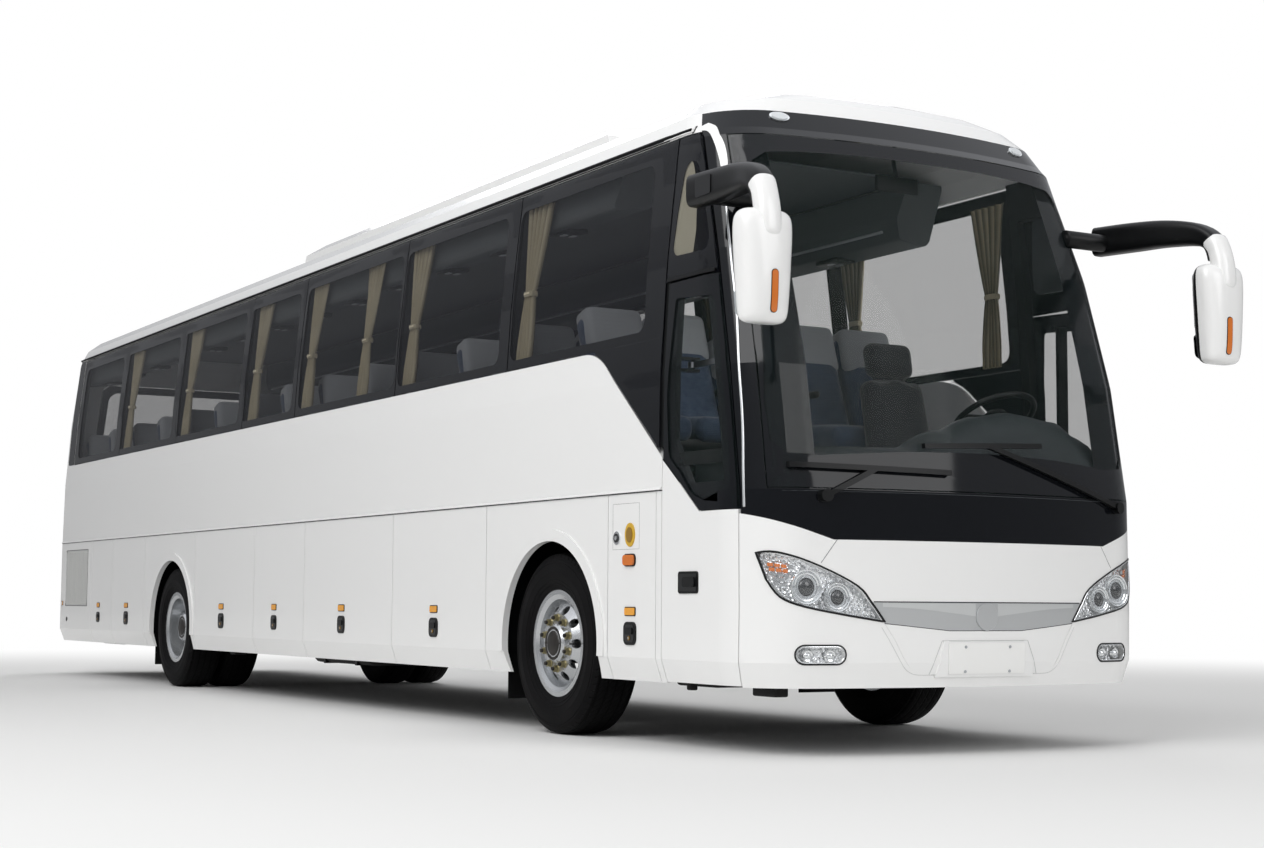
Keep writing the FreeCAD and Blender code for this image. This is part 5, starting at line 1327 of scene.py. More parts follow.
@dataclass
class SideTrim:
    """Gutters, latches, reflectors, lamps and the small fittings of both sides."""

    latch_z: float = 0.574
    reflector_z: float = 0.688
    latches: Sequence[Tuple[str, float, float]] = (
        ("hold_4", 2.600, 1.0), ("hold_3", 1.062, 1.0), ("hold_2", -0.280, 0.9),
        ("hold_1", -1.500, 1.0), ("rear_2", -4.186, 1.0), ("rear_1", -5.122, 0.8),
        ("front_1", 5.062, 1.0))
    gaps: Sequence[float] = (4.82, 3.34, 1.94, 0.33, -0.74, -2.20, -3.63, -4.67)
    vent_low: float = 0.678
    vent_high: float = 1.228
    vent_rear: float = -6.341
    vent_front: float = -5.545
    ribs: int = 33
    rib_pitch: float = 0.0236

    def build(self) -> None:
        """Fit both sides."""
        for name, side in SIDES:
            for bay, x, size in self.latches:
                node = "flap_%s_%s" % (name, bay)
                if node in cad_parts:
                    self.latch(node, SIDE_VIEW[side], x, size, bay == "front_1")
            self.gutter(name, side)
            self.body_side(name, side)
        self.door_handle()

    def latch(self, node: str, view: View, x: float, size: float, service: bool) -> None:
        """A sunk black latch under an orange reflector, on one flap.

        Args:
            node: the flap's node and body.
            view: the side that it is seen from.
            x: its middle along the coach.
            size: its size over the common one.
            service: whether the flap is the front service flap.
        """
        kit = Kit("latch_" + node, node)
        shell = Skin(node)
        half, tall = 0.064 * size, 0.060 * size
        z = self.latch_z
        for shrink, height, lift, finish in ((1.0, 0.006, 0.0, BLACK_PLASTIC),
                                             (0.76, 0.002, 0.0062, DARK_BOWL_AND_GAP_SHADE)):
            sides = (x - half * shrink, z - tall * shrink, x + half * shrink, z + tall * shrink)
            kit.add(finish, shell.plank(view, sides, 0.034 * size * shrink, height, lift,
                                        segments=5))
        lever = (x - half * 0.55, z - tall * 0.10, x + half * 0.55, z + tall * 0.52)
        kit.add(BLACK_PLASTIC, shell.plank(view, lever, 0.010 * size, 0.006, 0.008))
        for radius, height, lift, steps, finish in ((0.011, 0.004, 0.008, 16, CAP_OCHRE),
                                                    (0.006, 0.002, 0.012, 12, SATIN_STEEL)):
            kit.add(finish, shell.lay(disc(x, z - tall * 0.40, radius * size, height,
                                           segments=steps), view, lift))
        z = self.reflector_z
        for wide, high, round_by, lift, finish in ((0.056, 0.024, 0.010, 0.0, BLACK_PLASTIC),
                                                   (0.051, 0.019, 0.008, 0.004, AMBER)):
            kit.add(finish, shell.plank(view, (x - wide * size, z - high, x + wide * size,
                                               z + high), round_by, 0.004, lift))
        if service:
            self.service_side(kit, shell, view)
        kit.finish()

    def service_side(self, kit: Kit, shell: Skin, view: View) -> None:
        """Lock, round cover and side lamp of the front service flap.

        Args:
            shell: the surface that it is laid on.
            view: the side that it is seen from.
        """
        for radius, height, lift, finish in ((0.036, 0.006, 0.0, CHROME),
                                             (0.024, 0.003, 0.0062, DARK_BOWL_AND_GAP_SHADE),
                                             (0.012, 0.003, 0.0095, CHROME)):
            kit.add(finish, shell.lay(disc(4.920, 1.073, radius, height, segments=28), view,
                                      lift))
        kit.add(CAP_YELLOW, shell.lay(disc(5.058, 1.087, 0.062, 0.006, 0.8, 32), view))
        kit.add(CAP_OCHRE, shell.lay(disc(5.058, 1.087, 0.040, 0.003, 0.8, 28), view, 0.0062))
        kit.add(BLACK_PLASTIC, shell.plank(view, (4.996, 0.922, 5.116, 0.988), 0.022, 0.006))
        kit.add(AMBER_DEEP, shell.plank(view, (5.002, 0.928, 5.110, 0.982), 0.018, 0.012, 0.005))
        hatch = [(4.872, 1.012), (5.150, 1.012), (5.150, 1.252), (4.872, 1.252), (4.872, 1.012)]
        kit.add(SEAM_AND_SHADOW_LINE, strand(shell, view, hatch, 0.0012, -0.0005))

    def gutter(self, name: str, side: int) -> None:
        """A black cap over the roof's drip rail.

        Args:
            name: the side's name.
            side: -1 for the right side, 1 for the left.
        """
        kit = Kit("gutter_" + name)
        roof = Skin("roof")
        cap = board(rectangle(-6.437, 3.1535, 5.478, 3.1935))
        for axis, places in ((1, (3.1590, 3.1608, 3.1852, 3.1872)), (0, (-6.4305, 5.4705))):
            for value in places:
                cut(cap, axis, value)
        kit.add(BLACK_PLASTIC, roof.lay(cut_up(cap, 0.3), SIDE_VIEW[side], 0.0014))
        line = [(-6.425, 3.172), (5.460, 3.172)]
        kit.add(RUBBER_FLAP, strand(roof, SIDE_VIEW[side], line, 0.0085, 0.003, 0.25, 10))
        kit.finish()

    def body_side(self, name: str, side: int) -> None:
        """Rear end of the window band, corner markers, vent mesh and panel shadows.

        Args:
            name: the side's name.
            side: -1 for the right side, 1 for the left.
        """
        kit = Kit("side_fittings_" + name)
        view = SIDE_VIEW[side]
        rear = Skin("rear_panel")
        band = [(-6.462, 2.094), (-6.254, 2.094), (-6.254, 3.150), (-6.440, 3.150)]
        kit.add(BLACK_GLOSS, rear.lay(cut_up(board(band, 0.045, 0.003, 5, (0, 3)), 0.2), view))
        skirt = Skin("skirt_" + name, "vent_grilles", "flap_%s_*" % name)
        kit.add(BLACK_PLASTIC, skirt.plank(view, (-6.530, 0.680, -6.436, 0.726), 0.010, 0.004))
        kit.add(AMBER, skirt.plank(view, (-6.526, 0.684, -6.440, 0.722), 0.008, 0.009))
        kit.add(DARK_BOWL_AND_GAP_SHADE, skirt.lay(disc(-6.275, 0.545, 0.020, 0.006), view))
        # near-black blocks behind the flap gaps: painted shade seen through each gap
        for x in self.gaps:
            low, high = sorted((side * 1.150, side * 1.196))
            kit.add(DARK_BOWL_AND_GAP_SHADE, block((x - 0.016, low, 0.36), (x + 0.016, high, 1.262), 0.004, 1))
        for x in self.gaps:
            if side > 0 and x < -4.6:
                continue
            kit.add(SEAM_AND_SHADOW_LINE, strand(skirt, view, [(x, 0.36), (x, 1.285)], 0.0019, -0.0042, 0.08,
                                 6, 0.014))
        vent = board(rectangle(self.vent_rear + 0.011, self.vent_low + 0.016,
                               self.vent_front - 0.011, self.vent_high - 0.016), 0.014, 0.0015)
        kit.add(MESH, skirt.lay(cut_up(vent, 0.2), view, 0.0012, 0.035))
        for index in range(self.ribs):
            x = self.vent_rear + 0.019 + self.rib_pitch * index
            rib = board(rectangle(x, self.vent_low + 0.024, x + 0.007, self.vent_high - 0.024),
                        0.0, 0.004)
            kit.add(GRILLE, skirt.lay(cut_up(rib, 0.2), view, 0.0022, 0.035))
        edge = rectangle(self.vent_rear, self.vent_low, self.vent_front, self.vent_high)
        edge = [*edge, edge[0]]
        kit.add(SEAM_AND_SHADOW_LINE, strand(skirt, view, edge, 0.0026, 0.0, 0.05, 6, 0.012))
        if side < 0:
            self.front_strip(kit)
        kit.finish()

    def front_strip(self, kit: Kit) -> None:
        """Bright strip between the door and the windscreen, widening to a white cap.
        """
        shell = Skin("windscreen_pillars", "front_black_panels", "roof", "body_glass",
                     "door_glass", "door_panel", "windscreen")
        left = fair(((5.500, 3.182), (5.520, 3.160), (5.562, 3.151), (5.602, 3.119),
                     (5.632, 3.074), (5.663, 3.017), (5.697, 2.944), (5.724, 2.865)), 3)
        right = fair(((5.540, 3.200), (5.572, 3.186), (5.606, 3.164), (5.664, 3.094),
                      (5.702, 3.022), (5.731, 2.937), (5.742, 2.865)), 3)
        cap = cut_up(board(ribbon(left, right), 0.0), 0.02)
        kit.add(WHITE, shell.lay(cap, View.RIGHT, 0.0016, 0.014))
        pillar = Skin("windscreen_pillars")
        line = [pillar.touch(View.RIGHT, u, v, 0.0020) for u, v in (
            (5.734, 2.875), (5.790, 2.699), (5.875, 2.434), (5.950, 2.150), (6.003, 1.900),
            (6.047, 1.600), (6.072, 1.350), (6.082, 1.195))]
        kit.add(TRIM_STEEL, rod([place for place in line if place is not None], 0.0062, 12,
                                True))

    def door_handle(self) -> None:
        """Sunk black handle of the entrance door."""
        kit = Kit("door_fittings", "door")
        shell = Skin("door_panel")
        kit.add(BLACK_PLASTIC,
                shell.plank(View.RIGHT, (5.544, 0.780, 5.732, 0.890), 0.016, 0.005))
        kit.add(DARK_BOWL_AND_GAP_SHADE,
                shell.plank(View.RIGHT, (5.556, 0.792, 5.720, 0.878), 0.010, 0.002, 0.0052))
        kit.add(BLACK_PLASTIC,
                shell.plank(View.RIGHT, (5.600, 0.812, 5.712, 0.862), 0.016, 0.010, 0.0072))
        kit.finish()


@dataclass
class Rear:
    """Window border, lamp units, blank plate, handle and seams of the back."""

    window: Sequence[Flat] = ((0.000, 2.184), (0.874, 2.184), (0.953, 2.263), (0.894, 2.896),
                              (0.817, 2.955), (0.000, 2.955))
    clear: Sequence[Flat] = ((0.000, 2.262), (0.800, 2.262), (0.868, 2.330), (0.820, 2.820),
                             (0.760, 2.880), (0.000, 2.880))
    lamp: Sequence[Flat] = ((1.022, 0.884), (1.148, 0.884), (1.162, 0.904), (1.147, 1.496),
                            (1.042, 1.496), (1.013, 1.466))
    units: Sequence[Tuple[float, float]] = ((1.416, 0.046), (1.300, 0.046), (1.184, 0.046),
                                            (1.068, 0.046), (0.958, 0.042))
    lamp_y: float = 1.086
    seams: Sequence[float] = (1.640, 0.585)

    def build(self) -> None:
        """Fit the glass border, the lamps, the lid's fittings and the seams."""
        kit = Kit("rear_fittings")
        around = [*self.window, *flipped(reversed(self.window[1:-1]))]
        hole = [*self.clear, *flipped(reversed(self.clear[1:-1]))]
        kit.add(BLACK_GLOSS, Skin("body_glass").lay(window_frame(around, hole, 0.03, 0.15),
                                                    View.REAR, 0.0007))
        shell = Skin("rear_panel", "tail_lamps")
        for side in (-1, 1):
            line = [(side * u, v) for u, v in self.lamp]
            kit.add(BLACK_PLASTIC, strand(shell, View.REAR, [*line, line[0]], 0.005, 0.0006,
                                          0.04, 8))
            for (z, radius), lens in zip(self.units, (RED_LENS, RED_LENS, AMBER_DEEP, RED_LENS,
                                                      FROSTED)):
                y = side * self.lamp_y
                kit.add(CHROME, shell.lay(disc(y, z, radius, 0.003, 1.0, 32), View.REAR))
                kit.add(lens, shell.lay(disc(y, z, radius * 0.86, 0.007, 1.0, 32), View.REAR,
                                        0.003))
            kit.add(RED_LENS, shell.plank(View.REAR, (side * 0.95 - 0.06, 0.505,
                                                      side * 0.95 + 0.06, 0.555), 0.008, 0.006))
        kit.add(RED_LENS, shell.plank(View.REAR, (-0.22, 3.000, 0.22, 3.026), 0.008, 0.010,
                                      step=0.1))
        for z in self.seams:
            kit.add(SEAM_AND_SHADOW_LINE, strand(shell, View.REAR, [(-1.19, z), (1.19, z)], 0.0018, -0.0005,
                                 0.06))
        kit.finish()
        self.lid()

    def lid(self) -> None:
        """Blank plate, lamp bar and handle of the engine lid."""
        kit = Kit("engine_lid_fittings", "engine_lid")
        lid = Skin("engine_lid")
        for finish, wide, low, high, round_by, thick, lift, step in (
                (BLACK_PLASTIC, 0.272, 1.198, 1.332, 0.012, 0.004, 0.0, 0.1),
                (PLATE, 0.260, 1.208, 1.322, 0.010, 0.003, 0.004, 0.1),
                (BLACK_PLASTIC, 0.180, 1.356, 1.386, 0.008, 0.016, 0.0, 0.1),
                (BLACK_PLASTIC, 0.075, 0.654, 0.706, 0.018, 0.006, 0.0, 0.0),
                (DARK_BOWL_AND_GAP_SHADE, 0.060, 0.664, 0.696, 0.012, 0.002, 0.006, 0.0)):
            kit.add(finish, lid.plank(View.REAR, (-wide, low, wide, high), round_by, thick, lift,
                                      step))
        kit.finish()


@dataclass
class Underbody:
    """What hangs below the skirts: tanks, brackets, the exhaust and the roof's cross joint."""

    boxes: Sequence[Tuple[Point, Point, float]] = (
        ((-0.10, -1.02, 0.285), (1.00, -0.62, 0.420), 0.045),
        ((-0.10, 0.62, 0.285), (1.00, 1.02, 0.420), 0.045),
        ((-1.75, -1.10, 0.300), (-1.62, -1.00, 0.400), 0.010),
        ((5.930, -1.080, 0.285), (6.130, -1.000, 0.345), 0.010),
        ((5.385, -1.120, 0.292), (5.435, -1.080, 0.350), 0.008),
        ((5.000, -0.950, 0.300), (5.400, -0.600, 0.345), 0.020),
        ((-6.300, -0.900, 0.300), (-5.600, -0.350, 0.420), 0.030))
    pipe: Sequence[Point] = ((-5.10, 0.55, 0.45), (-5.60, 0.55, 0.36), (-6.20, 0.70, 0.34),
                             (-6.48, 0.74, 0.33))
    roof_joint_x: float = 5.254

    def build(self) -> None:
        """Hang every box and pipe, then draw the roof's joint as a soft grey line of painted
        shade.
        """
        kit = Kit("underbody_fittings")
        for low, high, round_by in self.boxes:
            kit.add(CHASSIS, block(low, high, round_by))
        for x in (0.15, 0.75):
            for y in (-0.82, 0.82):
                kit.add(BLACK_PLASTIC, block((x - 0.020, y - 0.204, 0.281),
                                             (x + 0.020, y + 0.204, 0.424), 0.003, 1))
        kit.add(EXHAUST, rod(self.pipe, 0.050, 20, True))
        kit.finish()
        roof = Kit("roof_joint")
        line = [(self.roof_joint_x, y / 20) for y in range(-22, 23)]
        # a soft grey line of painted shade along the roof's joint
        roof.add(SHADE_LINE, strand(Skin("roof"), View.TOP, line, 0.0022, -0.0004, 0.06))
        roof.finish()


# ------------------------------------------------------------------ wheels

@dataclass
class Wheel:
    """What one wheel station carries besides its tyre and rim."""

    name: str
    body: str
    side: int
    centre: Point
    hub_face: float
    nut_face: float
    nut_circle: float = 0.142
    nuts: int = 10
    tyre_half: float = 0.1475
    cap_bolts: int = 6
    cap_circle: float = 0.085

    def build(self) -> None:
        """Nuts, studs, hub cap ring, valve and sidewall rings."""
        kit = Kit("wheel_trim_" + self.name, self.body)
        x, y, z = self.centre
        way = (0.0, float(self.side), 0.0)
        for index in range(self.nuts):
            turn = 2 * math.pi * index / self.nuts + math.pi / self.nuts
            at = (x + self.nut_circle * math.cos(turn), self.side * self.nut_face,
                  z + self.nut_circle * math.sin(turn))
            washer = turned([(0.0, 0.0), (0.0225, 0.0), (0.0225, 0.003), (0.019, 0.006),
                             (0.0, 0.006)], 16)
            nut = bmesh.new()
            bmesh.ops.create_circle(nut, cap_ends=True, segments=6, radius=0.0185)
            top = thickened(nut, 0.026)
            soften(nut, list({edge for vert in top for edge in vert.link_edges
                              if all(end in top for end in edge.verts)}), 0.003, 2)
            stud = turned([(0.0, 0.0), (0.011, 0.0), (0.011, 0.036), (0.009, 0.039),
                           (0.0, 0.039)], 12)
            kit.add(NUT_STEEL, aim(washer, at, way), aim(nut, at, way))
            kit.add(HUB_IRON, aim(stud, at, way))
        cap = turned([(0.0, 0.012), (0.030, 0.010), (0.052, 0.006), (0.066, 0.004),
                      (0.070, 0.0)], 36)
        kit.add(HUB_IRON, aim(cap, (x, self.side * self.hub_face, z), way))
        collar = turned([(0.074, 0.0), (0.074, 0.008), (0.080, 0.012), (0.092, 0.012),
                         (0.096, 0.008), (0.096, 0.0)], 40)
        kit.add(HUB_IRON, aim(collar, (x, self.side * (self.hub_face - 0.010), z), way))
        for index in range(self.cap_bolts):
            turn = 2 * math.pi * index / self.cap_bolts
            at = (x + self.cap_circle * math.cos(turn), self.side * (self.hub_face + 0.002),
                  z + self.cap_circle * math.sin(turn))
            bolt = turned([(0.0, 0.0), (0.006, 0.0), (0.006, 0.004), (0.0, 0.004)], 8)
            kit.add(HUB_IRON, aim(bolt, at, way))
        valve = rod([(x + 0.236, self.side * (self.nut_face + 0.020), z),
                     (x + 0.224, self.side * (self.nut_face + 0.048), z)], 0.005, 8)
        kit.add(BLACK_PLASTIC, valve)
        for radius, proud in ((0.330, 0.0025), (0.352, 0.002), (0.452, 0.0025)):
            edge = self.side * (abs(y) + self.tyre_half - self.dip(radius))
            ring = turned([(radius - 0.004, -0.002), (radius - 0.001, proud),
                           (radius + 0.001, proud), (radius + 0.004, -0.002)], 96, True)
            kit.add(TYRE, aim(ring, (x, edge, z), way))
        kit.finish()

    def dip(self, radius: float) -> float:
        """How far the sidewall falls behind the tyre's widest place at a radius.

        Args:
            radius: distance from the axle.

        Returns:
            The distance in metres.
        """
        table = ((0.303, 0.0235), (0.353, 0.005), (0.398, 0.0), (0.466, 0.008), (0.498, 0.028))
        for (r0, d0), (r1, d1) in zip(table, table[1:]):
            if r0 <= radius <= r1:
                return d0 + (d1 - d0) * (radius - r0) / (r1 - r0)
        return 0.0


@dataclass
class Wheels:
    """All four wheel stations and the tread finish."""

    front_hub: float = 1.237
    front_nuts: float = 1.207
    rear_hub: float = 1.159
    rear_nuts: float = 0.936

    def build(self) -> None:
        """Fit every station and give the tyres their tread."""
        for name, side in SIDES:
            Wheel("front_" + name, "front_wheel_" + name, side,
                  (FRONT_AXLE_X, side * TRACK_HALF, TYRE_RADIUS), self.front_hub,
                  self.front_nuts).build()
            Wheel("rear_" + name, "rear_wheels_" + name, side,
                  (REAR_AXLE_X, side * TRACK_HALF, TYRE_RADIUS), self.rear_hub,
                  self.rear_nuts).build()
        for name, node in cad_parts.items():
            if "_tyre" in name:
                dress(node, tyre_material("front" in name))


def tyre_material(front: bool) -> bpy.types.Material:
    """Cured rubber whose grooves go by the angle round the axle and the tyre's plane, with painted
    shade that darkens the grooves.

    Args:
        front: whether it is for the front axle.

    Returns:
        The material.
    """
    name = "vulcanised_tread_" + ("front" if front else "rear")
    found = bpy.data.materials.get(name)
    if found:
        return found
    material = TYRE.build().copy()
    material.name = name
    tree = material.node_tree
    shader = tree.nodes["Principled BSDF"]
    place = add_node(tree, "ShaderNodeTexCoord").outputs["Object"]
    split = add_node(tree, "ShaderNodeSeparateXYZ", {}, {}, {0: place})
    axle = FRONT_AXLE_X if front else REAR_AXLE_X
    along = add_node(tree, "ShaderNodeMath", {"operation": "SUBTRACT"}, {1: axle},
                     {0: split.outputs["X"]})
    above = add_node(tree, "ShaderNodeMath", {"operation": "SUBTRACT"}, {1: TYRE_RADIUS},
                     {0: split.outputs["Z"]})
    angle = add_node(tree, "ShaderNodeMath", {"operation": "ARCTAN2"}, {},
                     {0: above.outputs[0], 1: along.outputs[0]})
    out = add_node(tree, "ShaderNodeCombineXYZ", {}, {},
                   {0: along.outputs[0], 1: above.outputs[0]})
    reach = add_node(tree, "ShaderNodeVectorMath", {"operation": "LENGTH"}, {},
                     {0: out.outputs[0]})
    across = add_node(tree, "ShaderNodeMath", {"operation": "ABSOLUTE"}, {},
                      {0: split.outputs["Y"]})
    offset = add_node(tree, "ShaderNodeMath", {"operation": "SUBTRACT"}, {1: TRACK_HALF},
                      {0: across.outputs[0]})
    # four lengthwise grooves 12 mm wide, 52 mm apart
    groove_wave = add_node(tree, "ShaderNodeMath", {"operation": "PINGPONG"}, {1: 0.026},
                           {0: offset.outputs[0]})
    groove = add_node(tree, "ShaderNodeMapRange", {"interpolation_type": "SMOOTHSTEP"},
                      {"From Min": 0.004, "From Max": 0.008}, {"Value": groove_wave.outputs[0]})
    # 72 cross sipes round the tyre, skewed by their place across it
    skew = add_node(tree, "ShaderNodeMath", {"operation": "MULTIPLY_ADD"}, {1: 2.2},
                    {0: offset.outputs[0], 2: angle.outputs[0]})
    sipe_wave = add_node(tree, "ShaderNodeMath", {"operation": "PINGPONG"},
                         {1: math.pi / 72}, {0: skew.outputs[0]})
    sipe = add_node(tree, "ShaderNodeMapRange", {"interpolation_type": "SMOOTHSTEP"},
                    {"From Min": 0.004, "From Max": 0.010}, {"Value": sipe_wave.outputs[0]})
    lands = add_node(tree, "ShaderNodeMath", {"operation": "MINIMUM"}, {},
                     {0: groove.outputs["Result"], 1: sipe.outputs["Result"]})
    # only the tread has them; the shoulder keeps shallow blocks and the wall is plain
    crown = add_node(tree, "ShaderNodeMapRange", {"interpolation_type": "SMOOTHSTEP"},
                     {"From Min": 0.478, "From Max": 0.496}, {"Value": reach.outputs["Value"]})
    level = add_node(tree, "ShaderNodeMix", {"data_type": "FLOAT"}, {2: 1.0},
                     {0: crown.outputs["Result"], 3: lands.outputs[0]})
    bump = add_node(tree, "ShaderNodeBump", {}, {"Strength": 1.0, "Distance": 0.014},
                    {"Height": level.outputs[0]})
    for old in [node for node in tree.nodes if node.type == "BUMP" and node != bump]:
        tree.links.new(old.outputs["Normal"], bump.inputs["Normal"])
    tree.links.new(bump.outputs["Normal"], shader.inputs["Normal"])
    # painted shade: the colour is multiplied down to a quarter deep in the grooves
    depth = add_node(tree, "ShaderNodeMapRange", {},
                     {"From Min": 0.0, "From Max": 1.0, "To Min": 0.25, "To Max": 1.0},
                     {"Value": level.outputs[0]})
    colour = [node for node in tree.nodes if node.type == "VALTORGB"][0]
    with_painted_shade = add_node(tree, "ShaderNodeMix", {"data_type": "RGBA", "blend_type": "MULTIPLY"},
                      {0: 1.0}, {6: colour.outputs["Color"], 7: depth.outputs["Result"]})
    tree.links.new(with_painted_shade.outputs[2], shader.inputs["Base Color"])
    return material


# ------------------------------------------------------------------ mirrors and wipers

@dataclass
class Mirrors:
    """Swept black arms with white neck caps and tapered white housings."""

    y: float = 1.450
    back_x: float = 6.505
    rim_x: float = 6.556
    strip_y: float = 1.440
    strip_z: float = 2.150
    arm: Sequence[Sequence[float]] = (
        (5.800, 1.335, 2.768, 90, 0.082, 0.052), (6.080, 1.350, 2.755, 90, 0.080, 0.058),
        (6.300, 1.380, 2.742, 84, 0.072, 0.060), (6.470, 1.425, 2.712, 58, 0.062, 0.060),
        (6.565, 1.448, 2.650, 18, 0.052, 0.058), (6.590, 1.450, 2.560, 0, 0.044, 0.054))
    neck: Sequence[Sequence[float]] = (
        (6.545, 1.444, 2.676, 34, 0.030, 0.040), (6.560, 1.446, 2.668, 30, 0.057, 0.061),
        (6.592, 1.449, 2.612, 8, 0.054, 0.061), (6.612, 1.450, 2.540, 0, 0.054, 0.062),
        (6.620, 1.450, 2.460, 0, 0.053, 0.063), (6.622, 1.450, 2.420, 0, 0.050, 0.057),
        (6.622, 1.450, 2.400, 0, 0.036, 0.036))
    housing: Sequence[Sequence[float]] = (
        (6.575, 1.450, 2.008, 0, 0.030, 0.072), (6.575, 1.450, 2.016, 0, 0.052, 0.100),
        (6.575, 1.450, 2.045, 0, 0.072, 0.117), (6.575, 1.450, 2.130, 0, 0.085, 0.124),
        (6.575, 1.450, 2.300, 0, 0.091, 0.134), (6.575, 1.450, 2.430, 0, 0.090, 0.141),
        (6.575, 1.450, 2.495, 0, 0.078, 0.138), (6.575, 1.450, 2.527, 0, 0.052, 0.116),
        (6.575, 1.450, 2.536, 0, 0.026, 0.080))

    def build(self) -> None:
        """Make both mirrors, which stand for the plain ones."""
        kit = Kit("mirror_pair", smooth=50.0)
        for _, side in SIDES:
            arm = lofted(on_side(self.arm, side), 5, 32, 4.0)
            view = SIDE_VIEW[side]
            skin = Skin(made=arm)
            kit.add(DARK_BOWL_AND_GAP_SHADE, skin.plank(view, (5.900, 2.712, 6.060, 2.806), 0.014, 0.004,
                                          0.0005))
            kit.add(BLACK_PLASTIC, arm, aim(turned([(0.0, 0.0), (0.044, 0.0), (0.048, 0.004),
                                                    (0.048, 0.330), (0.0, 0.330)], 28),
                                            (5.880, side * 1.010, 2.745), (0.0, side, 0.0)))
            body = lofted(on_side(self.housing, side), 4, 44, 2.9)
            bmesh.ops.bisect_plane(body, geom=every(body), dist=SNAP, clear_inner=True,
                                   plane_co=(self.back_x, 0.0, 0.0), plane_no=(1.0, 0.0, 0.0))
            bmesh.ops.holes_fill(body, edges=list(body.edges), sides=0)
            cut(body, 0, self.rim_x)
            bmesh.ops.recalc_face_normals(body, faces=list(body.faces))
            front = Skin(made=body)
            for half, tall, lift, finish in ((0.019, 0.100, -0.001, BLACK_PLASTIC),
                                             (0.0160, 0.096, 0.0012, AMBER_DEEP)):
                strip = (side * self.strip_y - half, self.strip_z - tall,
                         side * self.strip_y + half, self.strip_z + tall)
                kit.add(finish, front.plank(View.FRONT, strip, half * 0.95, 0.004, lift, 0.03, 6))
            rim = body.copy()
            for part, dark in ((body, False), (rim, True)):
                gone = [face for face in part.faces if self.is_rim(face, side) is not dark]
                bmesh.ops.delete(part, geom=gone, context="FACES")
            kit.add(WHITE, body, lofted(on_side(self.neck, side), 4, 32, 2.6))
            kit.add(BLACK_PLASTIC, rim)
            for low, high in ((2.185, 2.500), (2.040, 2.170)):
                plate = board([(side * self.y - 0.100, low), (side * self.y + 0.100, low),
                               (side * self.y + 0.112, high), (side * self.y - 0.112, high)],
                              0.030, 0.003, 5)
                bmesh.ops.transform(plate, matrix=Matrix(((0, 0, -1, self.back_x - 0.001),
                                                          (1, 0, 0, 0), (0, 1, 0, 0),
                                                          (0, 0, 0, 1))),
                                    verts=list(plate.verts))
                kit.add(MIRROR_GLASS, plate)
        kit.finish("mirrors")

    def is_rim(self, face: bmesh.types.BMFace, side: int) -> bool:
        """Whether a face belongs to the black back frame: the back and the inner cheek.

        Args:
            face: the face.
            side: -1 for the right side, 1 for the left.

        Returns:
            Whether it does.
        """
        middle = face.calc_center_median()
        return middle.x < self.back_x + 0.001 or (middle.x < self.rim_x
                                                  and side * middle.y < self.y - 0.02)


# ------------------------------------------------------------------ cabin

